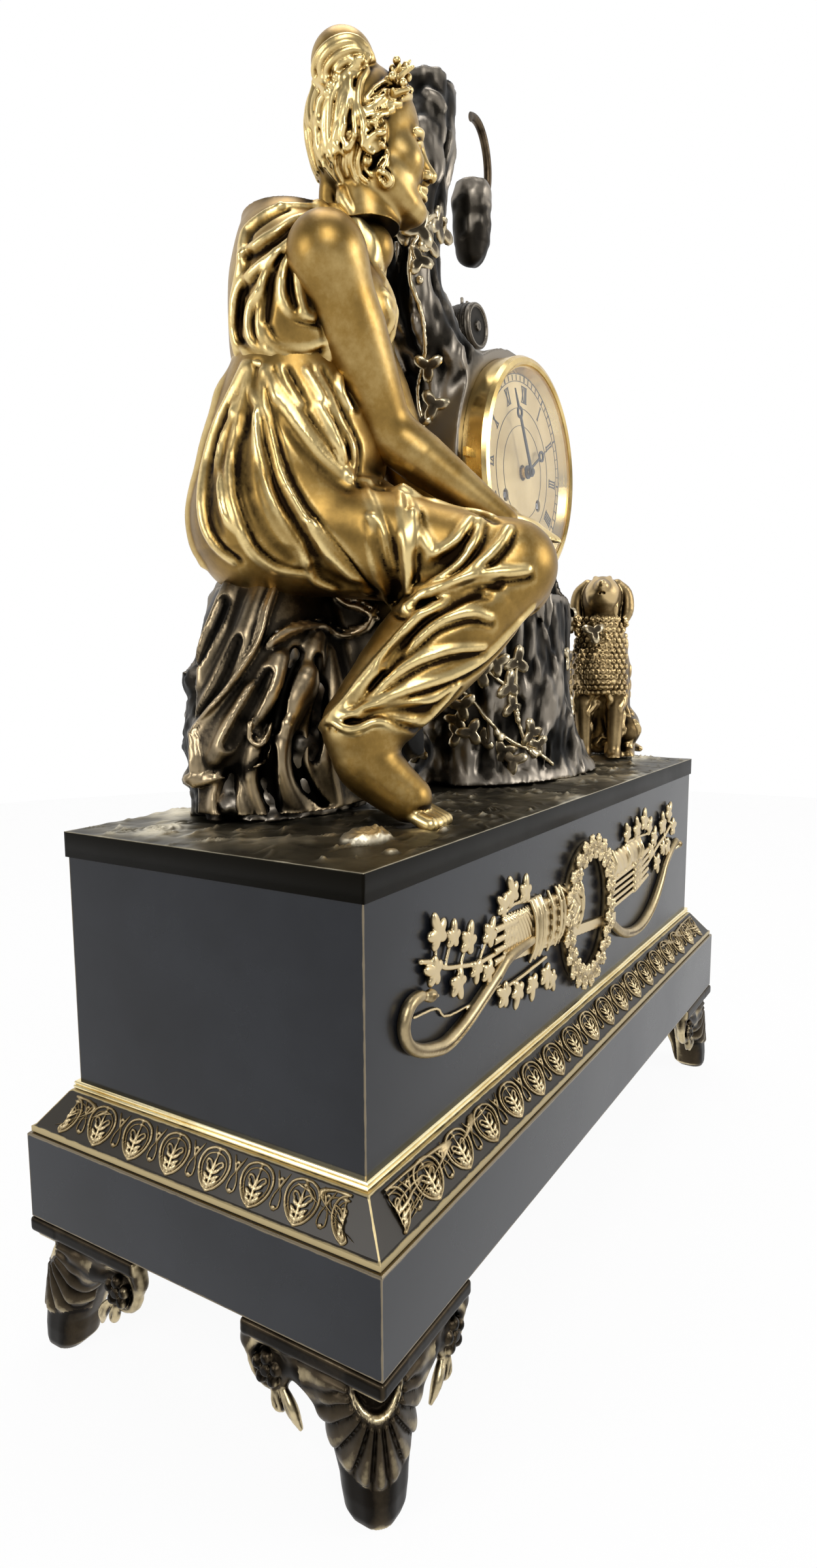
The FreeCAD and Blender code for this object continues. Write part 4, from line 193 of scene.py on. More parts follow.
def paint(made, values, name="relief"):
    """Stores a number for each point of a piece, for its material to read."""
    made.data.attributes.new(name, "FLOAT", "POINT").data.foreach_set("value", values)


FLOOR_SIZE, BACKDROP_DISTANCE = 4.0, 1.6
floor = plain_mesh("floor", [(-FLOOR_SIZE, -FLOOR_SIZE, 0), (FLOOR_SIZE, -FLOOR_SIZE, 0),
                             (FLOOR_SIZE, FLOOR_SIZE, 0), (-FLOOR_SIZE, FLOOR_SIZE, 0)],
                   [(0, 1, 2, 3)], seen_white("floor_paper", (0.88, 0.88, 0.88), 0.94), False)
arc = [math.radians(31.5 + step * 10) for step in range(-10, 11)]
wall = [(BACKDROP_DISTANCE * math.cos(t), BACKDROP_DISTANCE * math.sin(t), z) for t in arc for z in (0, 3)]
backdrop = plain_mesh("backdrop", wall, [(2 * k, 2 * k + 1, 2 * k + 3, 2 * k + 2) for k in range(20)],
                      seen_white("backdrop_paper", (0.86, 0.86, 0.86), 1.0))

world = bpy.data.worlds.new("studio")
world.use_nodes = True
world.node_tree.nodes["Background"].inputs[0].default_value = (0.62, 0.63, 0.65, 1)
world.node_tree.nodes["Background"].inputs[1].default_value = 0.34
bpy.context.scene.world = world
# Each lamp has its name, place, size and power. All look at the middle of the clock
LAMP_AIM = Vector((0, 0, 0.3))
LAMPS = [("key_lamp", (-1.15, -0.95, 1.25), 0.7, 13), ("side_lamp", (-1.2, 0.5, 0.6), 0.5, 5),
         ("front_lamp", (0.55, -1.35, 0.75), 0.6, 9), ("top_lamp", (0.1, 0.1, 1.6), 0.7, 8)]
for name, place, size, power in LAMPS:
    lamp = bpy.data.objects.new(name, bpy.data.lights.new(name, "AREA"))
    lamp.data.size, lamp.data.energy = size, power
    lamp.location = place
    lamp.rotation_euler = (Vector(place) - LAMP_AIM).to_track_quat("Z", "Y").to_euler()
    bpy.context.collection.objects.link(lamp)


# The two dark blocks are bronze sheet with a brown black patina, brazed at the corners and
# worn bright along their edges. Each is one folded box, and they stand one on the other.
def patina(name, dark, worn, rough, glint=0.0):
    """Dark patina with mottling, a bright rubbed edge where the wear attribute says so."""
    finish = Finish(name, Coat_Weight=0.16, Coat_Roughness=0.22, Specular_IOR_Level=0.3)
    cloud = finish.noise(14, 5)
    fine = finish.noise(160, 3)
    wear = finish.between(finish.attribute("wear") + (fine - 0.5) * 0.9, 0.45, 0.8)
    tone = finish.ramp(cloud, (0.3, dark), (0.62, tuple(c * 1.9 + 0.004 for c in dark)),
                       (0.8, tuple(c * 1.3 + glint for c in dark)))
    finish.set(Base_Color=finish.mix(wear, tone, worn), Roughness=(cloud - 0.5) * 0.25 + rough,
               Metallic=wear * 0.75 + 0.25)
    finish.bump(fine * 0.4 + cloud, 0.12)
    return finish.material


def stack(name, rings, material, corner=0.5, edge=1.0):
    """A rectangular block from rings of (half length, half depth, height, wear), in mm."""
    points, wears, faces = [], [], []
    for half_x, half_y, z, wear in rings:
        loop = []
        for sx, sy in ((1, -1), (1, 1), (-1, 1), (-1, -1)):
            first = sx == sy
            for part, amount in ((0, 0), (1, 1), (2, 1), (3, 0)):
                along = (1 + edge, 0.3, 0, 0)[part] * corner
                across = (0, 0, 0.3, 1 + edge)[part] * corner
                inset = (along, across) if not first else (across, along)
                loop.append((sx * (half_x - inset[0]), sy * (half_y - inset[1]), max(wear, amount)))
        points += [(x / 1000, y / 1000, z / 1000) for x, y, _ in loop]
        wears += [w for _, _, w in loop]
    sides = len(points) // len(rings)
    for k in range(len(rings) - 1):
        for n in range(sides):
            m = (n + 1) % sides
            faces.append((k * sides + n, k * sides + m, (k + 1) * sides + m, (k + 1) * sides + n))
    faces.append(tuple(range(sides))[::-1])
    faces.append(tuple(range((len(rings) - 1) * sides, len(rings) * sides)))
    made = plain_mesh(name, points, faces, material, False)
    paint(made, wears, "wear")
    return made


def box_mm(node):
    low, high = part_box(node)
    return np.array(low) * 1000, np.array(high) * 1000


block_patina = patina("block_patina", (0.005, 0.006, 0.0085), (0.22, 0.18, 0.12), 0.27, 0.006)


def block_of(node, edge=1.6):
    """A block with worn edges that has the size of its CAD node."""
    low, high = box_mm(node)
    x, y, bottom, top = high[0], high[1], low[2], high[2]
    return stack(node + "_block", [(x - 0.5, y - 0.5, bottom, 1), (x, y, bottom + 0.5, 1),
                                   (x, y, bottom + edge, 0), (x, y, top - edge, 0),
                                   (x, y, top - 0.5, 1), (x - 0.5, y - 0.5, top, 1),
                                   (x - 3.4, y - 3.4, top, 0)], block_patina)


for node in ("plinth", "upper_case"):
    block = block_of(node)
    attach(block, "case")
    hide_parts(node)


# The sloping frieze is a cast bronze moulding with a row of gilt palmettes on a dark ground; the palmettes
# are brighter where they stand out, partly rubbing and partly painted highlight, and darker low down as
# painted shade. It sits on the lower block and is held by the upper one.
class Clay:
    """Modelling wax held as distances in mm on a grid, so that forms join softly."""

    def __init__(self, low, high, cell):
        self.cell, self.low = cell, np.array(low, float)
        self.size = np.ceil((np.array(high) - self.low) / cell).astype(int) + 1
        self.reach = 9.0
        self.far = np.full(self.size, self.reach, np.float32)

    def window(self, low, high):
        first = np.clip(np.floor((np.array(low) - self.low) / self.cell), 0, self.size - 1).astype(int)
        last = np.clip(np.ceil((np.array(high) - self.low) / self.cell) + 1, 1, self.size).astype(int)
        last = np.maximum(last, first + 1)
        axes = [(self.low[n] + self.cell * np.arange(first[n], last[n])).astype(np.float32)
                for n in range(3)]
        x, y, z = np.meshgrid(*axes, indexing="ij", sparse=True)
        return tuple(slice(a, b) for a, b in zip(first, last)), x, y, z

    def add(self, spot, shape, soft):
        old = self.far[spot]
        share = np.clip(0.5 + 0.5 * (old - shape) / soft, 0, 1)
        self.far[spot] = old + (shape - old) * share - soft * share * (1 - share)

    def take(self, spot, shape, soft):
        old = self.far[spot]
        share = np.clip(0.5 - 0.5 * (old + shape) / soft, 0, 1)
        self.far[spot] = old + (-shape - old) * share + soft * share * (1 - share)

    @staticmethod
    def limb_field(x, y, z, a, b, first, last):
        ax, ay, az = x - a[0], y - a[1], z - a[2]
        d = b - a
        along = np.clip((ax * d[0] + ay * d[1] + az * d[2]) / max(d @ d, 1e-6), 0, 1)
        gap = np.sqrt((ax - along * d[0]) ** 2 + (ay - along * d[1]) ** 2 + (az - along * d[2]) ** 2)
        return gap - (first + (last - first) * along)

    def limb(self, a, b, first, last, soft=4.0, dig=False):
        self.chain([a, b], [first, last], soft, dig, False)

    def chain(self, points, radii, soft=2.0, dig=False, round_off=True):
        """A tube through points, joined on or dug out with one soft edge."""
        points = np.array(points, float)
        radii = np.broadcast_to(radii, len(points)) if np.isscalar(radii) else np.array(radii, float)
        if round_off and len(points) > 2:
            points, radii = smooth_line(points, radii)
        margin = radii.max() + soft + 2 * self.cell
        if not dig:
            margin = max(margin, radii.max() + 4)
        spot, x, y, z = self.window(points.min(0) - margin, points.max(0) + margin)
        whole = np.full(self.far[spot].shape, 99.0, np.float32)
        corner = [s.start for s in spot]
        for a, b, first, last in zip(points[:-1], points[1:], radii[:-1], radii[1:]):
            part, px, py, pz = self.window(np.minimum(a, b) - margin, np.maximum(a, b) + margin)
            inner = tuple(slice(s.start - c, s.stop - c) for s, c in zip(part, corner))
            whole[inner] = np.minimum(whole[inner], self.limb_field(px, py, pz, a, b, first, last))
        (self.take if dig else self.add)(spot, whole, soft)

    def ball(self, centre, radii, ahead=(1, 0, 0), soft=4.0, dig=False, up=(0, 0, 1)):
        """An ellipsoid: half sizes ahead, sideways and up."""
        ahead, up = Vector(ahead).normalized(), Vector(up)
        side = up.cross(ahead).normalized()
        up = ahead.cross(side)
        margin = max(radii) + soft + 3
        centre, radii = np.array(centre, float), np.array(radii, float)
        spot, x, y, z = self.window(centre - margin, centre + margin)
        x, y, z = x - centre[0], y - centre[1], z - centre[2]
        near = far = 0
        for axis, radius in zip((ahead, side, up), radii):
            share = (x * axis[0] + y * axis[1] + z * axis[2]) / radius
            near, far = near + share ** 2, far + (share / radius) ** 2
        near, far = np.sqrt(near), np.sqrt(far)
        (self.take if dig else self.add)(spot, near * (near - 1) / np.maximum(far, 1e-4), soft)

    def value(self, points):
        place = (np.asarray(points) - self.low) / self.cell
        base = np.clip(np.floor(place).astype(int), 0, self.size - 2)
        t = np.clip(place - base, 0, 1)
        total = 0
        for corner in range(8):
            step = np.array([corner >> 2, corner >> 1 & 1, corner & 1])
            weight = np.prod(np.where(step, t, 1 - t), axis=1)
            where = base + step
            total = total + weight * self.far[where[:, 0], where[:, 1], where[:, 2]]
        return total

    def slope(self, points):
        step = self.cell
        move = np.eye(3) * step
        found = np.stack([self.value(points + m) - self.value(points - m) for m in move], 1)
        return found / np.maximum(np.linalg.norm(found, axis=1, keepdims=True), 1e-6)

    def settle(self, points, lift=0.0):
        points = np.array(points, float)
        for _ in range(5):
            points = points - self.slope(points) * (self.value(points) - lift)[:, None]
        return points

    def seen(self, pixels, lift=0.0):
        """Points of the surface that the camera sees at pixels of the photograph."""
        pixels = np.array(pixels, float)
        side, up, back = (np.array(v) for v in (eye_side, eye_up, eye_back))
        rays = ((pixels[:, :1] - PHOTO_WIDTH / 2) * side - (pixels[:, 1:] - PHOTO_HEIGHT / 2) * up
                ) / PHOTO_FOCUS - back
        rays /= np.linalg.norm(rays, axis=1, keepdims=True)
        gone = np.full(len(pixels), np.linalg.norm(self.low + self.size * self.cell / 2 - EYE)
                       - 0.6 * self.cell * np.linalg.norm(self.size))
        best, nearest = gone.copy(), np.full(len(pixels), 99.0)
        stopped = np.zeros(len(pixels), bool)
        for _ in range(220):
            here = EYE + rays * gone[:, None]
            value = self.value(here)
            inside = np.all((here > self.low) & (here < self.low + self.size * self.cell), axis=1)
            value = np.where(inside, value, 2.5)
            better = (value < nearest) & inside & ~stopped
            nearest, best = np.where(better, value, nearest), np.where(better, gone, best)
            stopped |= value < 0.15
            gone = np.where(stopped, gone, gone + np.clip(value, 0.2, 2.2))
        return self.settle(EYE + rays * best[:, None], lift)

    def fold(self, pixels, radius, sink=0.0, soft=2.5, dig=False, taper=0.5):
        """A ridge or a valley of cloth or hair, drawn over what the camera sees."""
        line = smooth_line(np.array(pixels, float), np.ones(len(pixels)), 3)[0]
        line = self.seen(line, -sink)
        line = line[np.abs(self.value(line) + sink) < 1.5]
        if len(line) < 3:
            return
        share = np.sin(np.linspace(0.12, 0.94, len(line)) * math.pi) ** 0.6
        self.chain(line, radius * (taper + (1 - taper) * share), soft, dig, False)

    def roughen(self, scale, height, seed, stretch=(1, 1, 1)):
        """Smooth random relief over the whole surface."""
        rng = np.random.default_rng(seed)
        spots = tuple(slice(0, n) for n in self.size)
        coarse = [max(2, int(n * self.cell / scale * s) + 3) for n, s in zip(self.size, stretch)]
        field = rng.standard_normal(coarse).astype(np.float32)
        for axis in range(3):
            place = np.linspace(0, coarse[axis] - 1.001, self.size[axis])
            base = place.astype(int)
            t = (place - base).astype(np.float32)
            t = t * t * (3 - 2 * t)
            shape = [1, 1, 1]
            shape[axis] = -1
            t = t.reshape(shape)
            field = np.take(field, base, axis) * (1 - t) + np.take(field, base + 1, axis) * t
        self.far[spots] += field * height

    def mesh(self, name, material, crease=1.6):
        """The surface as a mesh, with a relief attribute: 1 on ridges, 0 in hollows."""
        grid = openvdb.FloatGrid(self.reach)
        far = np.clip(self.far, -self.reach, self.reach)
        far[0], far[-1], far[:, 0], far[:, -1] = (self.reach,) * 4
        far[:, :, 0] = far[:, :, -1] = self.reach
        grid.copyFromArray(far)
        points, quads = grid.convertToQuads()
        points = points.astype(float) * self.cell + self.low
        # The relief attribute measures how far each point stands out or sinks in; the gilding finishes turn
        # it into painted shade in hollows and painted highlight on ridges.
        relief = 0.5
        normal = self.slope(points)
        for step, share in ((crease, 0.4), (2.4 * crease, 0.34), (4.4 * crease, 0.26)):
            out, inner = self.value(points + normal * step), self.value(points - normal * step)
            relief = relief + share * ((inner + step) - (step - out)) / step * 1.35 * min(1, crease / 1.6)
        made = plain_mesh(name, points / 1000, quads[:, ::-1].tolist(), material)
        paint(made, np.clip(relief, 0, 1))
        made.data.update()
        return made


def smooth_line(points, radii, parts=4):
    """A curve through points, with its radii."""
    points = np.array(points, float)
    whole = np.column_stack([points, radii])
    ends = np.vstack([2 * whole[0] - whole[1], whole, 2 * whole[-1] - whole[-2]])
    found = []
    for n in range(len(whole) - 1):
        a, b, c, d = ends[n:n + 4]
        for t in np.arange(parts) / parts:
            found.append(0.5 * (2 * b + (c - a) * t + (2 * a - 5 * b + 4 * c - d) * t ** 2
                                + (3 * b - a - 3 * c + d) * t ** 3))
    found.append(whole[-1])
    found = np.array(found)
    return found[:, :-1], np.maximum(found[:, -1], 0.05)


def gilding(name, deep, middle, bright, low=0.3, high=0.7, rough=0.36, metal=1.0):
    """Cast metal, darker in its hollows and brighter on its ridges: partly patina and rubbing, partly
    painted shade in the hollows and painted highlight on the ridges.
    """
    finish = Finish(name, Metallic=metal)
    height = finish.attribute("relief")
    cloud = finish.noise(38, 5)
    speck = finish.noise(420, 3)
    # The relief attribute sets the tone: deep in hollows as painted shade, bright on ridges as painted
    # highlight; clouds and specks vary the patina at random.
    level_of = height + (cloud - 0.5) * 0.55 + (speck - 0.5) * 0.14
    share = finish.between(level_of, low - 0.12, high + 0.12)
    tone = finish.ramp(share, (0.0, deep), (0.42, middle), (0.9, bright))
    finish.set(Base_Color=tone, Roughness=(0.5 - share) * 0.14 + (cloud - 0.5) * 0.12 + rough)
    finish.bump(speck * 0.5 + cloud, 0.1)
    return finish.material


# For the palmettes and the mounts: deep is the painted shade colour of hollows, bright the painted highlight
# colour of ridges.
relief_gilding = gilding("relief_gilding", (0.012, 0.008, 0.004), (0.17, 0.12, 0.055), (0.66, 0.53, 0.31),
                         0.26, 0.78, 0.4)
frieze_low, frieze_high = box_mm("frieze_moulding")
lip_z, top_z = frieze_low[2] + 2.6, frieze_high[2]
wall_x, wall_y = box_mm("upper_case")[1][0] + 0.3, box_mm("upper_case")[1][1] + 0.3
shelf_x, shelf_y = wall_x + 2.3, wall_y + 2.3
frieze = stack("frieze_ground", [
    (frieze_high[0] - 0.5, frieze_high[1] - 0.5, frieze_low[2], 0.2),
    (frieze_high[0], frieze_high[1], frieze_low[2] + 0.6, 1), (frieze_high[0], frieze_high[1], lip_z, 1),
    (frieze_high[0] - 1.2, frieze_high[1] - 1.2, lip_z + 0.5, 0),
    (shelf_x + 0.8, shelf_y + 0.8, top_z - 1.1, 0), (shelf_x, shelf_y, top_z - 0.4, 1),
    (shelf_x - 1.6, shelf_y - 1.6, top_z, 0.3), (wall_x, wall_y, top_z, 0),
    (wall_x, wall_y, frieze_low[2], 0)], patina("frieze_patina", (0.012, 0.009, 0.005),
                                                (0.5, 0.4, 0.21), 0.4))
frieze_slope = Vector((-(frieze_high[0] - 1.2 - shelf_x - 0.8), 0, top_z - 1.1 - lip_z - 0.5))
slope_length = frieze_slope.length


def palmette():
    """One heart with its stem, scrolls and leaves, flat on its slope: points are across, up, out."""
    clay = Clay((-10.6, -2, -1.4), (10.6, slope_length + 1.5, 2.6), 0.42)
    top = slope_length
    heart = [(0, 0.6), (3.4, 2.6), (6.3, 6.5), (7.3, 11), (5.8, 15), (2.6, 16.9), (0, 17.1)]
    for side in (1, -1):
        for inset, radius in ((1.0, 0.62), (0.78, 0.4)):
            chain = [(side * x * inset, 1.2 * (1 - inset) * 6 + y * inset * top / 18, 0.1)
                     for x, y in heart]
            clay.chain(chain, radius, 0.5)
        clay.chain([(side * x, y * top / 18, 0.2) for x, y in
                    ((0.3, 9), (1.8, 11.6), (3.6, 12.2), (4.1, 10.6), (2.9, 10.2))], 0.5, 0.4)
        for y, reach in ((3.4, 3.0), (5.8, 3.9), (8.2, 3.4)):
            clay.chain([(0, y * top / 18 - 1, 0.1), (side * reach * 0.6, y * top / 18 + 0.2, 0.6),
                        (side * reach, y * top / 18 + 1.5, 0.1)], [0.35, 0.75, 0.3], 0.4)
        clay.chain([(side * 10.2, 2.5, 0), (side * 8.6, 4, 0.2), (side * 9, 7, 0.2), (side * 10, 9, 0)],
                   0.42, 0.4)
        clay.chain([(side * 10.4, 10, 0), (side * 9, 12.5, 0.2), (side * 7.7, 15, 0)], [0.7, 0.5, 0.3], 0.4)
    clay.chain([(0, 1, 0.2), (0, 8 * top / 18, 0.5), (0, 14 * top / 18, 0.2)], [0.4, 0.6, 0.4], 0.4)
    for x, y in ((0, 15.2), (10.4, 14.5), (10.4, 4), (-10.4, 14.5), (-10.4, 4)):
        clay.ball((x, y * top / 18, 0.2), (0.75, 0.75, 0.7), soft=0.3)
    grid = openvdb.FloatGrid(clay.reach)
    grid.copyFromArray(clay.far)
    points, triangles, quads = grid.convertToPolygons(adaptivity=0.35)
    points = points.astype(float) * clay.cell + clay.low
    faces = [f[::-1] for f in triangles.tolist() + quads.tolist()
             if points[f, 2].max() > -0.1]
    return points, faces


palmette_points, palmette_faces = palmette()
FRONT_COUNT, SIDE_COUNT = 18, 8
run_x, run_y = 2 * (frieze_high[0] - 6), 2 * (frieze_high[1] - 6)
row_points, row_faces, row_relief = [], [], []
sides = ((0, FRONT_COUNT, run_x, frieze_high[1]), (1, SIDE_COUNT, run_y, frieze_high[0]))
for turn, count, run, out in [(turn + half, *size) for half in (0, 2) for turn, *size in sides]:
    for number in range(count):
        middle = (number - (count - 1) / 2) * run / count
        squeeze = run / count / 21
        along = palmette_points[:, 0] * squeeze + middle
        rise = palmette_points[:, 1] / slope_length
        narrow = 1 - np.clip(np.abs(along) - run / 2 + 11, 0, 20) * 0.045 * rise
        across = -(out - 1.2 + frieze_slope.x * rise) - palmette_points[:, 2] * 0.78
        height = lip_z + 0.5 + frieze_slope.z * rise + palmette_points[:, 2] * 0.62
        angle = turn * math.pi / 2
        x = along * narrow * math.cos(angle) - across * math.sin(angle)
        y = along * narrow * math.sin(angle) + across * math.cos(angle)
        row_faces += [[n + len(row_relief) for n in face] for face in palmette_faces]
        row_points += np.column_stack([x, y, height]).tolist()
        # The relief of each palmette rises with its height over the slope: painted highlight on raised
        # parts, painted shade low down.
        row_relief += np.clip(palmette_points[:, 2] * 0.55 + 0.25, 0, 1).tolist()
palmettes = plain_mesh("frieze_palmettes", np.array(row_points) / 1000, row_faces, relief_gilding)
paint(palmettes, row_relief)
for piece in (frieze, palmettes):
    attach(piece, "case")
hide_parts("frieze_moulding")


# A bright beaded rod hides the joint between the frieze and the upper block. It is a brass
# wire of two round beads, bent round the block and pinned.
bead_low, bead_high = box_mm("rod_moulding")
bead_brass = gilding("bead_brass", (0.2, 0.12, 0.03), (0.7, 0.52, 0.2), (1.0, 0.88, 0.55), 0.3, 0.6, 0.24)
step_z = (bead_high[2] - bead_low[2]) / 2
rings = []
for row in (0, 1):
    for angle in range(-80, 81, 32):
        inset = bead_high[0] - step_z / 2 * (1 - math.cos(math.radians(angle))) - row * 0.3
        rings.append((inset, inset - bead_high[0] + bead_high[1],
                      bead_low[2] + step_z * (row + 0.5 + 0.5 * math.sin(math.radians(angle))), 1))
rod = stack("bead_rod", rings, bead_brass, 0.3, 0.3)
paint(rod, [0.6] * len(rod.data.vertices))
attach(rod, "case")
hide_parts("rod_moulding")

# Four cast feet stand under the corners: a plate, a fluted web that narrows to a smooth
# toe, and a scroll with a flower at each side. They are screwed up into the bottom board.
# foot_gilding: deep is painted shade in hollows, bright is painted highlight on ridges.
foot_gilding = gilding("foot_gilding", (0.008, 0.006, 0.004), (0.06, 0.045, 0.028), (0.8, 0.66, 0.4),
                       0.3, 0.8, 0.36)
foot_low, foot_high = box_mm("foot_front_left")
clay = Clay(foot_low - (0.8, 0.8, 0), foot_high + (3, 3, 0.6), 0.62)
corner = np.array([foot_low[0], foot_low[1], 0])
plate_z = foot_high[2]
spot, x, y, z = clay.window(clay.low, clay.low + clay.size * clay.cell)


def slab_field(low, high, edge):
    middle, half = (np.array(low) + high) / 2, (np.array(high) - low) / 2 - edge
    gaps = [np.maximum(np.abs(v - m) - h, 0) for v, m, h in zip((x, y, z), middle, half)]
    return np.sqrt(gaps[0] ** 2 + gaps[1] ** 2 + gaps[2] ** 2) - edge


wing = foot_high[0] - foot_low[0]
for start, below, long, broad, above, edge in ((0, 6, wing - 2, 16, 0, 1.4),
                                               (2, 8.4, wing - 6, 13, 5, 1.0)):
    for reach in ((long, broad), (broad, long)):
        low, high = corner + (start, start, plate_z - below), corner + (*reach, plate_z - above)
        clay.add(spot, slab_field(low, high, edge), 0.5)
# The leg stands across the corner, broad above, and sweeps down to a round toe. Thirteen
# tongues fan out on its front round a sunk half circle
along_x, along_y = x - corner[0], y - corner[1]
LEG = [(0, 17, 1.6), (3, 20, 0.8), (9, 21.5, 0.6), (14, 22.5, 0.8), (24, 27, 1.2), (34, 32, 1.6),
       (44, 37, 1.8), (56, 41, 1.4)]
far_side, inset = (np.interp(z, [row[0] for row in LEG], [row[n] for row in LEG]) for n in (1, 2))
TONGUE_COUNT, FAN_HALF_TURN = 13, 1.62
half, middle = (far_side - inset) / 2, (far_side + inset) / 2
rounding = 0.8 * half
leg = np.hypot(np.maximum(np.abs(along_x - middle) - half + rounding, 0),
               np.maximum(np.abs(along_y - middle) - half + rounding, 0)) - rounding
leg = np.maximum(leg, np.minimum(along_x, along_y) - 17)
fan_z = plate_z - 7
reach_out, turn_of = np.hypot(along_x - along_y, z - fan_z), np.arctan2(along_x - along_y, fan_z - z)
on_front_side = (np.minimum(along_x, along_y) < inset + 7) * (np.abs(turn_of) < FAN_HALF_TURN)
tongue = np.abs(np.cos(TONGUE_COUNT * turn_of))
shown = np.clip((reach_out - 13.2) / 1.0, 0, 1) * np.clip((32.5 + 1.5 * tongue - reach_out) / 2, 0, 1)
leg = leg + on_front_side * shown * (1.2 - 2.6 * tongue ** 0.6)
leg = leg + on_front_side * 3.2 * np.clip((10.8 - reach_out) / 1.2, 0, 1)
leg = leg - on_front_side * 0.7 * np.clip(1 - np.abs(reach_out - 12.2) / 0.9, 0, 1)
leg = np.maximum(leg, np.maximum(z - plate_z + 5.5, 0.2 - z))
clay.add(spot, leg.astype(np.float32), 0.8)
for hand in (1, -1):
    def turned(point, hand=hand):
        return corner + (np.array(point) if hand == 1 else np.array([point[1], point[0], point[2]]))

    roll_middle = np.array([49.0, 4.6, plate_z - 16.0])
    spiral = []
    for step in range(22):
        angle = math.radians(95 - step * 21)
        radius = 10.2 - step * 0.32
        spiral.append(turned(roll_middle + (radius * math.cos(angle), 0, radius * math.sin(angle))))
    clay.chain(spiral, 2.2, 0.6, round_off=False)
    facing = (1, 0, 0) if hand == 1 else (0, 1, 0)
    clay.ball(turned(roll_middle + (0, 2.2, 0)), (8.4, 3.4, 8.4), facing, 0.8)
    clay.limb(turned((24, 8, plate_z - 13)), turned((46, 8, plate_z - 13)), 7.5, 6, 2)
    clay.chain([turned((wing - 4, 4.5, plate_z - 5)), turned((wing - 2.5, 4.5, plate_z - 10)),
                turned(roll_middle + (9.6, 0, 3))], [3.4, 3.0, 2.4], 1.5)
    clay.chain([turned((27, 5.5, plate_z - 22)), turned((33, 5.0, plate_z - 15)),
                turned((40, 4.6, plate_z - 7))],
               [3.4, 3.0, 2.6], 3)
    for petal in range(5):
        angle = petal * 2 * math.pi / 5 + 0.3
        tip = roll_middle + (4.2 * math.cos(angle), -2.4, 4.2 * math.sin(angle))
        clay.ball(turned(tip), (2.6, 2.4, 2.6), soft=0.3)
    clay.ball(turned(roll_middle + (0, -3.6, 0)), (2.1, 2.1, 2.1), soft=0.3)
    for drop, long in ((-9.5, 19), (-3.5, 15.5)):
        clay.chain([turned(roll_middle + (drop * 0.5, -0.8, -6)), turned(roll_middle + (drop, -1.6, -12)),
                    turned(roll_middle + (drop * 1.3, -0.4, -long))], [1.4, 2.3, 0.9], 0.6)
        clay.chain([turned(roll_middle + (drop * 0.7, -4.0, -8)),
                    turned(roll_middle + (drop * 1.15, -3.4, -long + 3))],
                   0.6, 0.5, True)
clay.far = np.maximum(clay.far, (0.1 - z).astype(np.float32))
clay.far = np.maximum(clay.far, (z - plate_z + 0.05).astype(np.float32))
pattern = clay.mesh("foot_pattern", foot_gilding, 1.4)
points = np.empty(len(pattern.data.vertices) * 3)
pattern.data.vertices.foreach_get("co", points)
points = points.reshape(-1, 3)
shine = np.empty(len(points))
pattern.data.attributes["relief"].data.foreach_get("value", shine)
quads = [list(polygon.vertices) for polygon in pattern.data.polygons]
own = points * 1000 - corner
own_across, own_near = own[:, 0] - own[:, 1], np.minimum(own[:, 0], own[:, 1])
own_reach, own_turn = np.hypot(own_across, own[:, 2] - fan_z), np.arctan2(own_across, fan_z - own[:, 2])
on_fan = (own_near < 9) * (np.abs(own_turn) < FAN_HALF_TURN) * (own_reach > 13) * (own_reach < 34)
own_tongue = np.abs(np.cos(TONGUE_COUNT * own_turn))
# On the fan the relief is drawn anew: bright on each tongue and more so towards its tip as painted
# highlight, dark in the grooves as painted shade; elsewhere the relief is lowered, darkening the foot.
shine = np.where(on_fan, 0.12 + (0.08 + 0.012 * own_reach) * own_tongue ** 0.7, shine * 0.72)
bpy.data.objects.remove(pattern)
for name, flip_x, flip_y in (("front_left", 1, 1), ("front_right", -1, 1), ("rear_left", 1, -1),
                             ("rear_right", -1, -1)):
    faces = quads if flip_x * flip_y == 1 else [quad[::-1] for quad in quads]
    foot = plain_mesh("cast_foot_" + name, points * (flip_x, flip_y, 1), faces, foot_gilding)
    paint(foot, shine)
    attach(foot, "case")
    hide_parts("foot_" + name)

# The trophy on the front is cast and chased in six pieces, each riveted through the sheet:
# a bow, a wreath of flowers, two quivers and two sprays of ivy.
front_y = box_mm("upper_case")[0][1]
MOUNT_HALF, MOUNT_MIDDLE = 172.0, 157.0


def on_front(across, up, off=0.0):
    return np.array([across, front_y - off, up])


def mount_clay(node, cell=0.55, spare=4.0):
    low, high = box_mm(node)
    return Clay((low[0] - spare, front_y - 6.6, low[2] - spare),
                (high[0] + spare, front_y + 1, high[2] + spare), cell)


def leaf_on_front(clay, across, up, size, lean):
    """A five lobed ivy leaf with a midrib in each lobe."""
    for lobe in range(5):
        angle = lean + (lobe - 2) * 1.12
        reach = size * (0.62, 0.72, 0.95, 0.72, 0.62)[lobe]
        way = np.array([math.cos(angle), 0, math.sin(angle)])
        clay.ball(on_front(across, up, 1.9) + way * reach * 0.5, (reach * 0.62, size * 0.27, 1.5), way, 0.5,
                  up=(0, -1, 0))
        tip = on_front(across, up, 3.5) + way * reach * 0.9
        clay.limb(on_front(across, up, 3.9), tip, 0.45, 0.25, 0.5, True)


def hand_in(clay, name, node, crease=0.9):
    clay.far = np.maximum(clay.far, (clay.low[1] + clay.cell * np.arange(clay.size[1])
                                     - front_y - 0.1)[None, :, None].astype(np.float32))
    made = clay.mesh(name, relief_gilding, crease)
    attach(made, "case")
    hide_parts(node)


def shares(*pairs):
    return [on_front(a * MOUNT_HALF, MOUNT_MIDDLE + b * MOUNT_HALF, 2.0) for a, b in pairs]


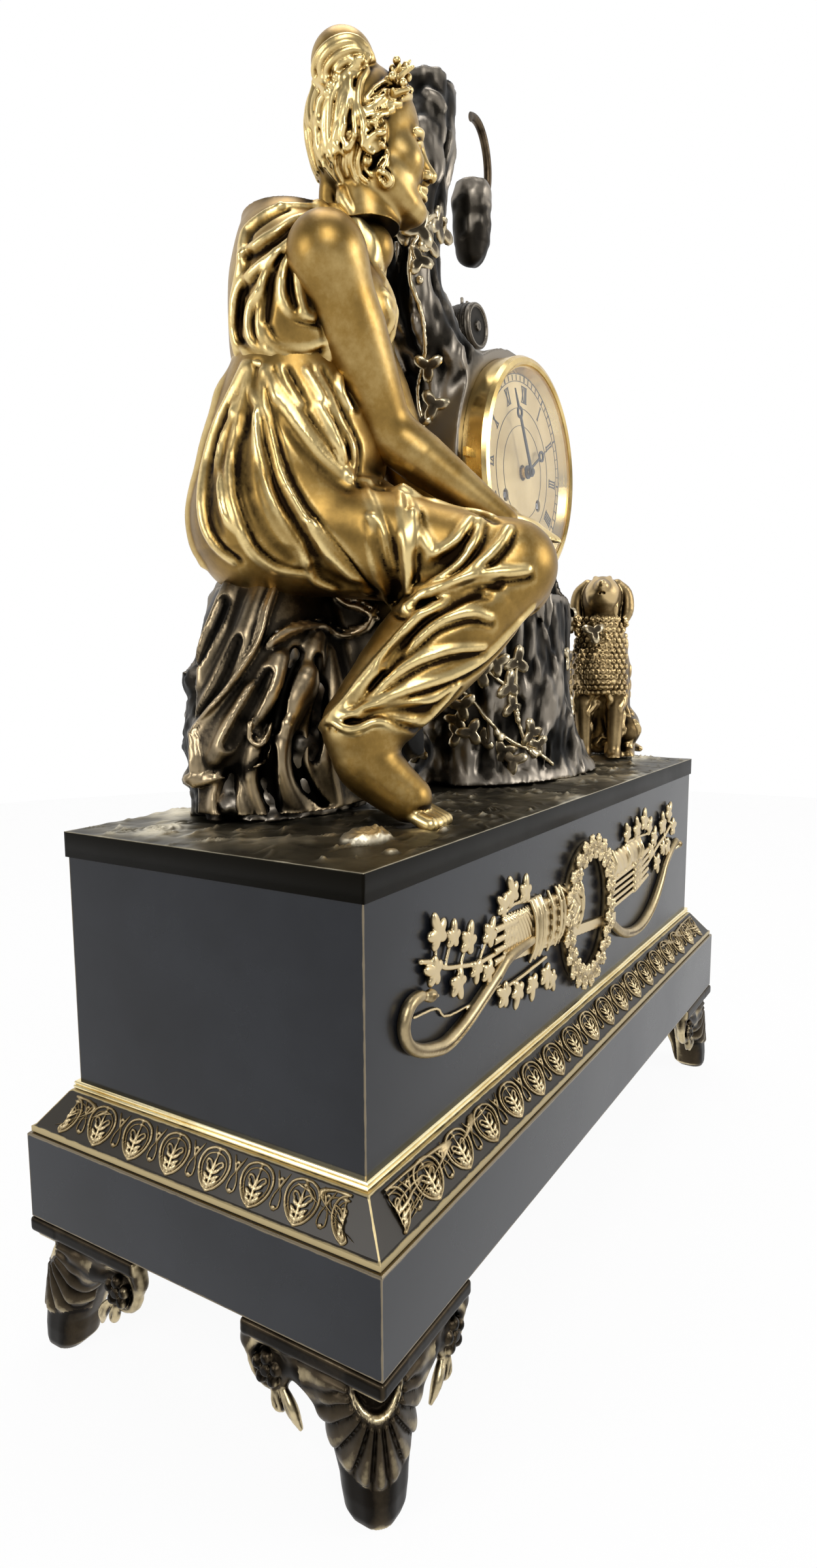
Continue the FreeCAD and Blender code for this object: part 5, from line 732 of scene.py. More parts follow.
clay = mount_clay("mount_bow")
LEFT_LIMB = shares((-0.925, 0.038), (-0.955, 0.049), (-0.994, 0.041), (-1.015, 0.006), (-1.0, -0.035),
                   (-0.959, -0.064), (-0.901, -0.084), (-0.843, -0.093), (-0.767, -0.078), (-0.686, -0.049),
                   (-0.605, -0.017), (-0.535, 0.012), (-0.4, 0.02))
RIGHT_LIMB = shares((0.2, -0.08), (0.291, -0.134), (0.36, -0.16), (0.442, -0.174), (0.523, -0.172),
                    (0.605, -0.151), (0.674, -0.116), (0.733, -0.07), (0.779, -0.023), (0.831, 0.012),
                    (0.884, 0.035), (0.925, 0.05), (0.955, 0.032))
clay.chain(LEFT_LIMB, [1.2, 2.2, 2.4, 2.4, 2.4, 2.6, 2.8, 3, 3, 2.9, 2.8, 2.6, 2.4], 1)
clay.chain(RIGHT_LIMB, [2.4, 2.6, 2.8, 2.9, 3, 3, 2.9, 2.7, 2.5, 2.4, 2.3, 2.2, 1.2], 1)
for limb_line in (LEFT_LIMB, RIGHT_LIMB):
    clay.chain([p - (0, 2.6, 0) for p in limb_line[2:-2]], 0.5, 0.5, True)
for swan, turn in ((LEFT_LIMB[0], 1), (RIGHT_LIMB[-1], -1)):
    clay.ball(swan + (turn * 1.0, -1, 0.4), (3.2, 2.4, 2.4), soft=0.8)
    clay.limb(swan + (turn * 2.5, -1, 0), swan + (turn * 7, -0.6, -1.6), 1.4, 0.7, 0.5)
    clay.ball(swan + (turn * 1.2, -3, 1.0), (0.6, 0.6, 0.6), soft=0.3)
clay.chain([on_front(-166, 158, 0.8), on_front(-150, 156, 0.8), on_front(-140, 150, 0.8),
            on_front(-96, 148, 0.8)],
           0.6, 0.4)
spot, x, y, z = clay.window((-96, front_y - 4, 120), (46, front_y + 1, 175))
belt = np.maximum(np.abs((z - 159.5) + (x + 94) * 0.118) - 2.7, np.abs(x + 25) - 70)
clay.add(spot, np.maximum(belt, np.abs(y - front_y + 0.5) - 1.4) + 0 * z, 0.4)
hand_in(clay, "swan_bow", "mount_bow")

clay = mount_clay("mount_quiver_left")
spot, x, y, z = clay.window(clay.low, clay.low + clay.size * clay.cell)


def tube_of_quiver(left, right, low_left, high_left, low_right, high_right, depth, pattern=None):
    """A flattened tube between two heights, with a chased pattern cut into its face."""
    t = np.clip((x - left) / (right - left), 0, 1)
    low, high = low_left + (low_right - low_left) * t, high_left + (high_right - high_left) * t
    middle, half = (low + high) / 2, (high - low) / 2
    across = (z - middle) / half
    shape = np.sqrt(across ** 2 + ((y - front_y) / depth) ** 2) - 1
    shape = shape * depth
    if pattern:
        shape = shape + pattern(across)
    ends = np.abs(x - (left + right) / 2) - (right - left) / 2
    clay.add(spot, np.maximum(shape, ends).astype(np.float32), 0.4)


tube_of_quiver(-96, -68, 158, 178, 154, 176, 3.0, lambda a: 0.5 * np.abs(np.sin((x + a * 6) * 1.1)))
tube_of_quiver(-68, -58, 150, 178, 150, 178, 4.0)
tube_of_quiver(-58, -40, 150, 177.5, 150, 177, 3.7, lambda a: 0.55 * np.abs(np.sin(a * 9)))
tube_of_quiver(-40, -8, 150, 177, 151, 176, 4.0,
               lambda a: 0.6 * (np.abs((x * 0.16 + np.abs(a) * 2.2) % 1.0 - 0.5) < 0.16))
for bar in (-68, -63, -58, -49, -40, -36, -12):
    clay.chain([on_front(bar, 150.2, 1), on_front(bar, 157, 3.6), on_front(bar, 164, 4.2),
                on_front(bar, 171, 3.6), on_front(bar, 177.6, 1)], 0.9, 0.4)
for row in range(4):
    clay.limb(on_front(-104, 160 + row * 4.5, 1.0), on_front(-84, 160 + row * 4.2, 1.6), 1.8, 1.2, 0.5)
    for notch in range(5):
        clay.limb(on_front(-103 + notch * 4, 160 + row * 4.5, 3),
                  on_front(-101 + notch * 4, 162.4 + row * 4.5, 2.4), 0.35, 0.3, 0.4, True)
for across, up, size, lean in ((-95, 143.5, 8, 2.6), (-82, 141.5, 8, -1.9), (-67, 140, 8, -1.6),
                               (-52, 140, 8, -1.4), (-45, 135.5, 7, -1.2), (-89, 185, 8.5, 1.9),
                               (-76, 183, 8, 1.4), (-97, 182, 7, 2.4)):
    leaf_on_front(clay, across, up, size, lean)
clay.chain([on_front(-96, 146, 1), on_front(-75, 146, 1), on_front(-50, 147, 1)], 0.9, 0.5)
clay.chain([on_front(-97, 178, 1), on_front(-85, 180, 1), on_front(-70, 178, 1)], 0.9, 0.5)
hand_in(clay, "left_quiver", "mount_quiver_left")

clay = mount_clay("mount_quiver_right")
spot, x, y, z = clay.window(clay.low, clay.low + clay.size * clay.cell)
tube_of_quiver(30, 84, 164, 179, 165, 182, 3.6, lambda a: 0.4 * np.abs(np.sin(x * 0.5 + a * 3)))
for bar in (31, 38, 60, 78, 84):
    clay.chain([on_front(bar, 165, 1), on_front(bar, 173, 3.8), on_front(bar, 180.5, 1)], 0.9, 0.4)
for row in range(5):
    clay.limb(on_front(28, 149 + row * 3.6, 1.4), on_front(84, 152 + row * 3.6, 1.6), 1.2, 1.2, 0.4)
    clay.limb(on_front(74, 152 + row * 3.6, 1.6), on_front(100, 155 + row * 3.9, 1.4), 2.2, 1.4, 0.5)
    for notch in range(6):
        clay.limb(on_front(76 + notch * 4, 152 + row * 3.6, 3.6),
                  on_front(79 + notch * 4, 154.5 + row * 3.8, 3.0), 0.35, 0.3, 0.4, True)
for across, up, size, lean in ((90, 188, 8.5, 1.4), (77, 185.5, 8, 1.7), (99, 184, 7.5, 0.8),
                               (60, 186, 7, 1.9)):
    leaf_on_front(clay, across, up, size, lean)
clay.chain([on_front(62, 181, 1), on_front(80, 181, 1), on_front(98, 180, 1)], 0.9, 0.5)
hand_in(clay, "right_quiver", "mount_quiver_right")

for name, node, leaves, stem in (
        ("left_ivy", "mount_ivy_left",
         ((-151, 184, 9, 1.9), (-153, 171, 8, 2.8), (-128, 175, 8.5, 1.2), (-136, 162, 8, -1.2),
          (-110, 173, 8, 1.0), (-111, 159, 7, -1.4), (-140, 180, 7, 1.4), (-121, 163, 6.5, -1.6)),
         ((-162, 177), (-152, 174), (-145, 170), (-133, 167), (-118, 164), (-100, 163.5))),
        ("right_ivy", "mount_ivy_right",
         ((110, 175, 8, 1.2), (118, 160, 8, -1.3), (128, 180, 9, 1.6), (140, 186, 8.5, 0.9),
          (139, 166, 8, -0.8), (150, 176, 8, 0.2), (104, 168, 6.5, 2.0), (129, 167, 6.5, -1.1)),
         ((98, 161), (112, 166), (124, 170), (136, 173), (148, 178)))):
    clay = mount_clay(node)
    clay.chain([on_front(a, b, 1.2) for a, b in stem], 1.1, 0.6)
    for across, up, size, lean in leaves:
        leaf_on_front(clay, across, up, size, lean)
        near = min(stem, key=lambda point: (point[0] - across) ** 2 + (point[1] - up) ** 2)
        clay.limb(on_front(across, up, 1.2), on_front(near[0], near[1], 1.2), 0.8, 0.8, 0.5)
    hand_in(clay, name, node)

clay = mount_clay("mount_wreath")
wreath_low, wreath_high = box_mm("mount_wreath")
half_wide, half_tall = (wreath_high[0] - wreath_low[0]) / 2 - 6.5, (wreath_high[2] - wreath_low[2]) / 2 - 6.5
loop = [on_front(half_wide * math.cos(t), MOUNT_MIDDLE + half_tall * math.sin(t), 1.5)
        for t in np.linspace(0, 2 * math.pi, 49)]
clay.chain(loop, 3.0, 0.8, round_off=False)
FLOWER_COUNT = 66
for number in range(FLOWER_COUNT):
    turn = number * 2 * math.pi / FLOWER_COUNT
    out = np.array([math.cos(turn), 0, math.sin(turn)])
    along = np.array([-out[2], 0, out[0]])
    middle = on_front(half_wide * math.cos(turn), MOUNT_MIDDLE + half_tall * math.sin(turn), 4.2) + out * (
        (-3.2, 0.2, 3.4)[number % 3])
    for petal in range(5):
        lean = petal * 2 * math.pi / 5 + number
        tip = middle + (out * math.cos(lean) + along * math.sin(lean)) * 2.1
        clay.ball(tip, (1.45, 1.1, 1.45), soft=0.25)
    clay.ball(middle - (0, 1.0, 0), (1.0, 1.0, 1.0), soft=0.2)
bow_z = MOUNT_MIDDLE - half_tall
for side in (1, -1):
    clay.chain([on_front(0, bow_z, 4.5), on_front(side * 7, bow_z + 4, 4),
                on_front(side * 9, bow_z - 2, 3.2), on_front(side * 4, bow_z - 5, 3)], 1.2, 0.5)
hand_in(clay, "flower_wreath", "mount_wreath")

# The ground plate is a thin casting of turf over the upper block. Grass, swirls, stones and
# a low mound under the dog are chased into it; its raised parts are brighter as painted highlight, and its
# rim is brighter.
turf_bronze = gilding("turf_bronze", (0.008, 0.007, 0.005), (0.17, 0.15, 0.105), (0.8, 0.72, 0.54),
                      0.2, 0.85, 0.42)
turf_low, turf_high = box_mm("terrain_plate")
TURF_RISE, TURF_STEP, BLADE_COUNT, PEBBLE_COUNT = 2.6, 1.0, 420, 26
turf_top = box_mm("upper_case")[1][2] + TURF_RISE
half_x, half_y = turf_high[0], turf_high[1]
xs = np.linspace(-half_x, half_x, int(2 * half_x / TURF_STEP) + 1)
ys = np.linspace(-half_y, half_y, int(2 * half_y / TURF_STEP) + 1)
gx, gy = np.meshgrid(xs, ys, indexing="ij")
rng = np.random.default_rng(9)
lift = np.zeros_like(gx)
for scale, amount in ((26, 0.5), (11, 0.35), (4.5, 0.22)):
    coarse = rng.standard_normal((int(2 * half_x / scale) + 4, int(2 * half_y / scale) + 4))
    u, v = (gx + half_x) / scale, (gy + half_y) / scale
    iu, iv = u.astype(int), v.astype(int)
    fu, fv = u - iu, v - iv
    fu, fv = fu * fu * (3 - 2 * fu), fv * fv * (3 - 2 * fv)
    lift += amount * ((coarse[iu, iv] * (1 - fu) + coarse[iu + 1, iv] * fu) * (1 - fv)
                      + (coarse[iu, iv + 1] * (1 - fu) + coarse[iu + 1, iv + 1] * fu) * fv)
for number in range(BLADE_COUNT):
    cx, cy = rng.uniform(-half_x, half_x), rng.uniform(-half_y, half_y)
    lean, long = rng.uniform(-0.9, 0.9), rng.uniform(3, 10)
    along = (gx - cx) * math.cos(lean) + (gy - cy) * math.sin(lean)
    side_way = -(gx - cx) * math.sin(lean) + (gy - cy) * math.cos(lean) - 0.02 * along ** 2
    lift += 0.9 * np.exp(-(side_way / 0.75) ** 2) * np.clip(1 - (along / long) ** 2, 0, 1)
for cx, cy, size in ((-67, -48, 13), (-4, -56, 12), (-150, -41, 11), (184, -38, 11), (-176, 40, 12),
                     (90, -52, 10), (60, 52, 12), (-40, 58, 11), (150, 45, 12)):
    gap = np.hypot(gx - cx, gy - cy)
    lift += 0.8 * np.sin(gap * 1.9 + np.arctan2(gy - cy, gx - cx) * 2) * np.clip(1 - gap / size, 0, 1)
for number in range(PEBBLE_COUNT):
    cx, cy = rng.uniform(-half_x + 6, half_x - 6), rng.uniform(-half_y + 4, half_y - 4)
    size = rng.uniform(1.5, 3.6)
    gap = np.hypot(gx - cx, (gy - cy) * 1.2)
    lift = np.maximum(lift, 1.6 * np.sqrt(np.clip(1 - (gap / size) ** 2, 0, 1)) - 0.3)
edge_gap = np.minimum(half_x - np.abs(gx), half_y - np.abs(gy))
lift = np.clip(lift, -0.9, 1.9) * np.clip(edge_gap / 2.5, 0, 1)
mound_gap = np.hypot((gx - 162) / 34, (gy + 20) / 30)
lift += 2.6 * np.clip(1.15 - mound_gap ** 2, 0, 1)
stone = np.hypot((gx + 150) / 12, (gy + 41) / 9)
lift += 4.2 * np.sqrt(np.clip(1 - stone ** 2, 0, 1))
# The relief rises with the lift of the turf, as painted highlight on raised parts and painted shade in low
# ones, and is raised along the rim.
shine = np.clip(0.30 + lift * 0.34 + 0.4 * np.clip(1 - edge_gap / 1.2, 0, 1), 0, 1)
wide, deep = len(xs), len(ys)
top_points = np.column_stack([gx.ravel(), gy.ravel(), (turf_top + lift).ravel()])
rim = ([n * deep for n in range(wide)] + [(wide - 1) * deep + n for n in range(1, deep)]
       + [n * deep + deep - 1 for n in range(wide - 2, -1, -1)] + list(range(deep - 2, 0, -1)))
edge_points, foot_points = top_points[rim].copy(), top_points[rim].copy()
edge_points[:, 2] -= 0.7
foot_points[:, 2] = turf_low[2]
points = np.vstack([top_points, edge_points, foot_points])
faces = [(n * deep + m, (n + 1) * deep + m, (n + 1) * deep + m + 1, n * deep + m + 1)
         for n in range(wide - 1) for m in range(deep - 1)]
first, second = len(top_points), len(top_points) + len(rim)
for n in range(len(rim)):
    m = (n + 1) % len(rim)
    faces.append((first + n, first + m, rim[m], rim[n]))
    faces.append((second + n, second + m, first + m, first + n))
faces.append(tuple(range(second, second + len(rim)))[::-1])
turf = plain_mesh("turf_plate", points / 1000, faces, turf_bronze)
paint(turf, shine.ravel().tolist() + [-0.5] * (2 * len(rim)))
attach(turf, "case")
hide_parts("terrain_plate")


# The figure sits on the rock in a long belted dress. The casting is fire gilt: brown in its hollows and
# bright along each fold, partly patina and rubbing, partly painted shade and painted highlight. The skirt is
# one casting with both feet.
ground = turf_top
STATURE = 400.0
SEAT = np.array([-107.0, 34.0, ground])


def stand(ahead, side, up):
    """A joint of the figure, as shares of its stature about the seat."""
    return SEAT + np.array([ahead, side, up]) * STATURE


def behind_pixel(pixel, near):
    """The point that a pixel of the photograph shows at the depth of another point."""
    side, up, back = (np.array(v) for v in (eye_side, eye_up, eye_back))
    across_ray = (pixel[0] - PHOTO_WIDTH / 2) * side - (pixel[1] - PHOTO_HEIGHT / 2) * up
    return EYE + (across_ray / PHOTO_FOCUS - back) * -((near - EYE) @ back)


def stand_at_pixel(pixel, height):
    """The point at a height that a pixel of the photograph shows."""
    ray = behind_pixel(pixel, SEAT) - EYE
    return EYE + ray * (height - EYE[2]) / ray[2]


def pillar(clay, heights, middles, halves, soft=1.0, lumps=0.0, facing=(1, 0)):
    """An upright form with oval sections, blended smoothly between its heights."""
    z = clay.low[2] + clay.cell * np.arange(clay.size[2])
    blur = np.hanning(int(9 / clay.cell) * 2 + 1)
    x0, y0, wide, deep = (
        np.convolve(np.pad(np.interp(z, heights, row), len(blur) // 2, "edge"), blur / blur.sum(), "valid")
        for row in ([m[0] for m in middles], [m[1] for m in middles], [h[0] for h in halves],
                    [h[1] for h in halves]))
    x = (clay.low[0] + clay.cell * np.arange(clay.size[0]))[:, None, None] - x0
    y = (clay.low[1] + clay.cell * np.arange(clay.size[1]))[None, :, None] - y0
    x, y = x * facing[0] + y * facing[1], y * facing[0] - x * facing[1]
    turn = np.arctan2(y, x)
    wave = 1 + lumps * (np.sin(3 * turn + z * 0.05) + 0.6 * np.cos(5 * turn - z * 0.04))
    shape = (np.sqrt((x / wide) ** 2 + (y / deep) ** 2) - wave) * np.minimum(wide, deep)
    shape = np.maximum(shape, np.maximum(z - heights[-1], heights[0] - z))
    clay.add(tuple(slice(0, n) for n in clay.size), shape.astype(np.float32), soft)


ahead = np.array([math.cos(math.radians(-66)), math.sin(math.radians(-66)), 0])
across = np.array([-ahead[1], ahead[0], 0])
pelvis, lap = stand(0, 0, 0.309), stand(0.06, -0.1, 0.285)
near_hip, near_knee = stand(-0.03, -0.0225, 0.304), stand(0.07, -0.2475, 0.259)
far_hip, far_knee = stand(0.045, 0.0225, 0.304), stand(0.1625, -0.205, 0.2565)
far_ankle, far_heel = stand(0.1315, -0.002, 0.0915), stand(0.134, 0.043, 0.071)
NEAR_TOE_PIXEL, NEAR_TOE_HEIGHT = (655, 1251), 219
near_toe, far_toe = stand_at_pixel(NEAR_TOE_PIXEL, NEAR_TOE_HEIGHT), stand(0.1365, -0.072, 0.0145)
# figure_gilding: deep is painted shade in hollows, bright is painted highlight on ridges.
figure_gilding = gilding("figure_gilding", (0.013, 0.007, 0.003), (0.31, 0.19, 0.052), (0.82, 0.63, 0.29),
                         0.24, 0.84, 0.39)
skirt_low, skirt_high = box_mm("figure_skirt")
clay = Clay(skirt_low - (12, 12, 1), skirt_high + (10, 14, 46), 1.0)
clay.ball(pelvis, (46, 35, 34), (0.914, 0.407, 0))
WAIST = [(330, 3, 40, 34), (345, 5, 43, 38), (366, 9, 42, 40), (390, 11, 38, 33), (406, 12, 35, 27)]
pillar(clay, [row[0] for row in WAIST], [SEAT + ahead * row[1] for row in WAIST],
       [(row[3], row[2]) for row in WAIST], 6, facing=ahead)


def toes(toe):
    for number, spread in enumerate((-5.5, -2.6, 0.2, 2.8, 5.0)):
        tip = toe + np.array([1.5 * spread + 1.0, -6 + 0.8 * abs(number - 1), -1.6])
        clay.limb(tip + (0, 9, 3.6), tip, 2.9, 2.8 if number else 3.4, 0.7)


hem = behind_pixel((555, 1112), near_toe)
clay.limb(near_hip, near_knee, 27, 17.5, 7)
clay.chain([near_knee, near_knee * 0.55 + hem * 0.45 + (0, 2, 0), hem], [18, 22.5, 16.5], 6)
FOOT_PIXELS = ((556, 1128), (563, 1165), (592, 1196), (624, 1222))
clay.chain([behind_pixel(pixel, near_toe) for pixel in FOOT_PIXELS], [14.6, 13.4, 11.4, 9.8], 3)
toes(near_toe)
clay.limb(far_hip, far_knee, 27, 17.5, 7)
clay.chain([far_knee, far_knee * 0.62 + far_ankle * 0.38 + (0, 5, 0), far_ankle], [17.5, 17, 9], 6)
clay.chain([far_ankle, far_ankle * 0.4 + far_heel * 0.6, far_heel], [11.5, 10.4, 9.6], 3, round_off=False)
clay.chain([far_heel, far_heel * 0.5 + far_toe * 0.5 + (0, 0, 7), far_toe + (0, 0, 2)], [9.4, 11.4, 7.8], 3)
toes(far_toe)
clay.limb(lap, (near_knee + far_knee) / 2, 20, 13.5, 6)
# Folds of the dress, each drawn through pixels of the photograph: a wide valley, then a ridge
HIP_FOLDS = [
    [(372, 558), (352, 602), (331, 646), (317, 692), (309, 730), (306, 774), (313, 811), (331, 839),
     (356, 858)],
    [(379, 561), (365, 602), (348, 646), (337, 680), (332, 718), (337, 761), (343, 786), (356, 805)],
    [(384, 560), (374, 605), (362, 649), (352, 680), (348, 718), (352, 764), (365, 802), (381, 836),
     (399, 855), (424, 871), (465, 878)],
    [(390, 568), (387, 602), (393, 649), (396, 680), (406, 711), (415, 746), (427, 774), (443, 799),
     (465, 836), (474, 868), (481, 889), (509, 902)],
    [(400, 568), (401, 608), (409, 655), (418, 692), (431, 730), (449, 764), (471, 799), (493, 830),
     (515, 858), (543, 889), (565, 908)],
    [(407, 568), (421, 602), (446, 639), (471, 671), (493, 699), (515, 718), (534, 733)],
    [(415, 568), (431, 599), (456, 633), (478, 664), (503, 693), (528, 721)],
    [(429, 568), (440, 589), (459, 618)],
    [(471, 568), (490, 599), (506, 633), (518, 664), (524, 693), (531, 718), (537, 733)],
    [(484, 568), (506, 608), (521, 646), (537, 677), (540, 699), (538, 730)],
    [(490, 621), (506, 649), (518, 677), (528, 705)], [(521, 577), (524, 602), (537, 624)]]
THIGH_FOLDS = [
    [(559, 746), (573, 780), (587, 821), (595, 849), (602, 868)],
    [(568, 793), (571, 830), (581, 874), (593, 905), (602, 927), (618, 936), (631, 939)],
    [(612, 749), (615, 780), (621, 805), (621, 836), (620, 868), (621, 899)],
    [(621, 752), (631, 777), (637, 802), (649, 830), (662, 849), (674, 846), (693, 833), (709, 811),
     (721, 793)],
    [(631, 783), (632, 811), (631, 843), (628, 874), (628, 896), (637, 903), (653, 900), (674, 883),
     (696, 868), (712, 849), (728, 824), (734, 796)],
    [(634, 914), (656, 905), (693, 893), (721, 874), (749, 849), (768, 827), (778, 808)],
    [(621, 927), (643, 914), (681, 899), (712, 886), (746, 878), (778, 877), (806, 874)],
    [(475, 800), (497, 826), (523, 855), (545, 885), (566, 906)],
    [(545, 735), (600, 742), (650, 752), (712, 770), (752, 790)]]
CALF_FOLDS = [
    [(500, 1100), (531, 1070), (562, 1030), (602, 988), (624, 964), (649, 936), (687, 911), (721, 896),
     (760, 885)],
    [(520, 1092), (550, 1062), (581, 1018), (606, 984), (634, 952), (671, 928), (706, 908), (745, 903)],
    [(545, 1072), (566, 1040), (612, 999), (640, 974), (662, 955), (693, 943), (724, 938), (749, 946)],
    [(560, 1070), (600, 1035), (640, 1012), (690, 996), (740, 992)],
    [(510, 1100), (555, 1083), (600, 1066), (640, 1052), (690, 1036), (740, 1008), (780, 968), (815, 930)],
    [(515, 1104), (560, 1086), (600, 1079), (650, 1078), (690, 1052)],
    [(550, 1098), (590, 1092), (620, 1100), (640, 1108), (655, 1100), (700, 1050)]]
for folds, radius, shift in ((HIP_FOLDS, 2.0, (9, 0)), (THIGH_FOLDS, 2.5, (6, 8)),
                             (CALF_FOLDS, 2.1, (3, 8))):
    for pixels in folds:
        clay.fold([(x + shift[0], y + shift[1]) for x, y in pixels], 2.2, -0.5, 1.6, True)
    for pixels in folds:
        clay.fold(pixels, radius, 0.35, 1.5)
VALLEYS = [
    [(345, 640), (334, 690), (325, 730), (325, 775), (335, 812)],
    [(383, 620), (374, 670), (372, 720), (384, 775), (408, 822), (440, 858)],
    [(398, 640), (412, 720), (440, 785), (480, 850), (520, 888)],
    [(425, 620), (455, 668), (490, 712), (530, 748)],
    [(565, 800), (580, 850), (590, 890), (610, 915)], [(604, 830), (608, 870), (612, 905)],
    [(640, 850), (650, 870), (672, 868), (700, 842)], [(650, 925), (700, 905), (760, 892)],
    [(480, 872), (520, 893), (570, 905)], [(590, 1010), (630, 962), (680, 925), (730, 905)],
    [(560, 1092), (610, 1086), (660, 1085)], [(540, 1075), (580, 1030), (620, 985)]]
for pixels in VALLEYS:
    clay.fold(pixels, 2.6, -1.0, 2.5, True)
# The hem gathers at the near ankle, and plain folds go round the sides that the photograph hides
ankle = behind_pixel((556, 1118), near_toe)
HEM_RADIUS, HEM_WAVE = 16.4, 1.6
clay.chain([ankle + (HEM_RADIUS * math.cos(t), HEM_RADIUS * math.sin(t), 3 + HEM_WAVE * math.sin(5 * t))
            for t in np.linspace(0, 2 * math.pi, 41)], 1.7, 1.2)
for turn, drop in ((-0.2, 1), (0.25, 0.95), (0.7, 0.9), (1.2, 0.86), (1.7, 0.95)):
    out = np.array([math.cos(turn), 0.35 * math.sin(turn), 0])
    line = [far_knee + out * 16 + (0, 20 * turn, 0),
            far_knee * 0.5 + far_ankle * 0.5 + out * (17 + 3 * drop), far_ankle + out * 13 + (0, 0, 5)]
    clay.chain(clay.settle(smooth_line(line, [1] * 3)[0], -0.8), 2.6, 2.5)
for turn in (0.9, 1.25, 1.6, 1.95, 2.3, 2.7):
    out = np.array([math.cos(turn), math.sin(turn), 0])
    line = [SEAT + ahead * 12 + out * 20 + (0, 0, 186), pelvis + out * 28 + (0, 0, 20),
            pelvis + out * 29 - (0, 0, 14)]
    clay.chain(clay.settle(smooth_line(line, [1] * 3)[0], -0.8), 2.6, 2.5)
skirt = clay.mesh("dress_skirt", figure_gilding)
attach(skirt, "case")
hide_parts("figure_skirt")

# The blouse falls in a deep collar over the belt. The far arm is cast with it, and its hand
# lies on the knee.
torso_low, torso_high = box_mm("figure_torso")
clay = Clay(torso_low - (24, 22, 0.5), torso_high + (14, 26, 6), 0.85)
BLOUSE = [(388, 11, 33, 24), (398, 12, 36, 26), (405, 14, 39, 30), (415, 17, 41, 33.5), (426, 18, 42, 34.5),
          (437, 16, 40, 32), (448, 14, 34, 28), (457, 11, 27, 23), (465, 8, 18, 17), (470, 6, 12, 11)]
pillar(clay, [row[0] for row in BLOUSE], [SEAT + ahead * row[1] for row in BLOUSE],
       [(row[3], row[2]) for row in BLOUSE], 2, facing=ahead)
clay.limb(SEAT + ahead * 6 + (0, 0, 249), stand(0.04, -0.1, 0.585), 15, 9.5, 6)


def shoulder(side):
    place = {"right": (-0.05, -0.11, 0.545), "left": (0.1, -0.04, 0.53)}[side]
    elbow = {"right": (0.0425, -0.115, 0.404), "left": (0.125, -0.1, 0.358)}[side]
    wrist = {"right": (0.11, -0.22, 0.3115), "left": (0.125, -0.215, 0.316)}[side]
    return [stand(*p) for p in (place, elbow, wrist)]


def arm(clay, side):
    """Upper arm, forearm and a relaxed hand of four fingers and a thumb."""
    top, elbow, wrist = shoulder(side)
    clay.chain([top, top * 0.6 + elbow * 0.4, elbow], [13, 13.8, 11.2], 4, round_off=False)
    swell = elbow * 0.7 + wrist * 0.3
    clay.chain([elbow, swell, wrist], [11.2, 10.8, 6.3], 3, round_off=False)
    along = (wrist - elbow) / np.linalg.norm(wrist - elbow)
    palm = wrist + along * 9
    clay.ball(palm, (10, 6.6, 3.8), along, 2.5)
    sideways = np.cross(along, (0, 0, 1.0))
    sideways /= np.linalg.norm(sideways)
    for number, spread in enumerate((-5, -1.7, 1.7, 4.8)):
        start = palm + along * 6 + sideways * spread
        bend = start + along * 8 + sideways * spread * 0.12 - (0, 0, 2.2)
        tip = bend + along * (5 - abs(number - 1.4)) - (0, 0, 4.5)
        clay.chain([start, bend, tip], [2.2, 1.9, 1.6], 0.8, round_off=False)
    thumb = wrist + along * 4 - sideways * 5.5
    clay.chain([thumb, thumb + along * 7 - sideways * 3 - (0, 0, 2), thumb + along * 13 - (0, 0, 5)],
               [2.6, 2.2, 1.7], 1.0, round_off=False)


arm(clay, "left")
near_shoulder = shoulder("right")[0]
clay.ball(near_shoulder + (2, 3, -1), (12, 12, 12), soft=7)
breast = clay.seen([(585, 475)], -9)[0]
clay.ball(breast, (12, 12, 13), soft=5)
BACK_FOLDS = [
    [(429, 315), (406, 326), (377, 349), (369, 375), (367, 404), (358, 450), (357, 480), (355, 510),
     (360, 540)],
    [(367, 388), (384, 379), (400, 367), (420, 356), (443, 339), (461, 332), (479, 329)],
    [(420, 388), (404, 399), (388, 413), (375, 426), (365, 440), (359, 456), (357, 472), (356, 494),
     (360, 517), (369, 531), (388, 542), (415, 551), (447, 554), (475, 547)],
    [(488, 334), (465, 347), (447, 365), (429, 381), (415, 399), (404, 422), (400, 449), (395, 483),
     (398, 513), (411, 531), (434, 545), (447, 551)],
    [(393, 447), (384, 463), (379, 485), (381, 513), (395, 531), (415, 540)],
    [(405, 501), (411, 517), (427, 529), (450, 535), (475, 533), (497, 524)],
    [(488, 340), (475, 358), (465, 376), (456, 397), (454, 417), (456, 438), (461, 460), (470, 481),
     (477, 485)],
    [(484, 345), (462, 362), (449, 378), (440, 397), (435, 417), (437, 447), (446, 470)],
    [(431, 426), (431, 447), (438, 465), (447, 479), (461, 484), (479, 489)]]
clay.fold([(495, 333), (479, 356), (471, 381), (471, 408), (477, 435), (486, 463), (497, 495), (500, 517)],
          2.6, -0.6, 1.6, True)
for pixels in ([(385, 395), (420, 372), (455, 350)], [(375, 450), (366, 480), (366, 510)],
               [(412, 420), (410, 455), (408, 490)], [(446, 385), (444, 420), (452, 460)]):
    clay.fold(pixels, 2.2, -0.8, 2, True)
for pixels in BACK_FOLDS:
    clay.fold([(x + 8, y + 5) for x, y in pixels], 2.0, -0.5, 1.4, True)
for pixels in BACK_FOLDS:
    clay.fold(pixels, 1.9, 0.3, 1.3)
clay.fold([(429, 313), (456, 315), (490, 318), (520, 325), (540, 334), (561, 351), (575, 381), (590, 438)],
          1.8, 0.4, 1.0)
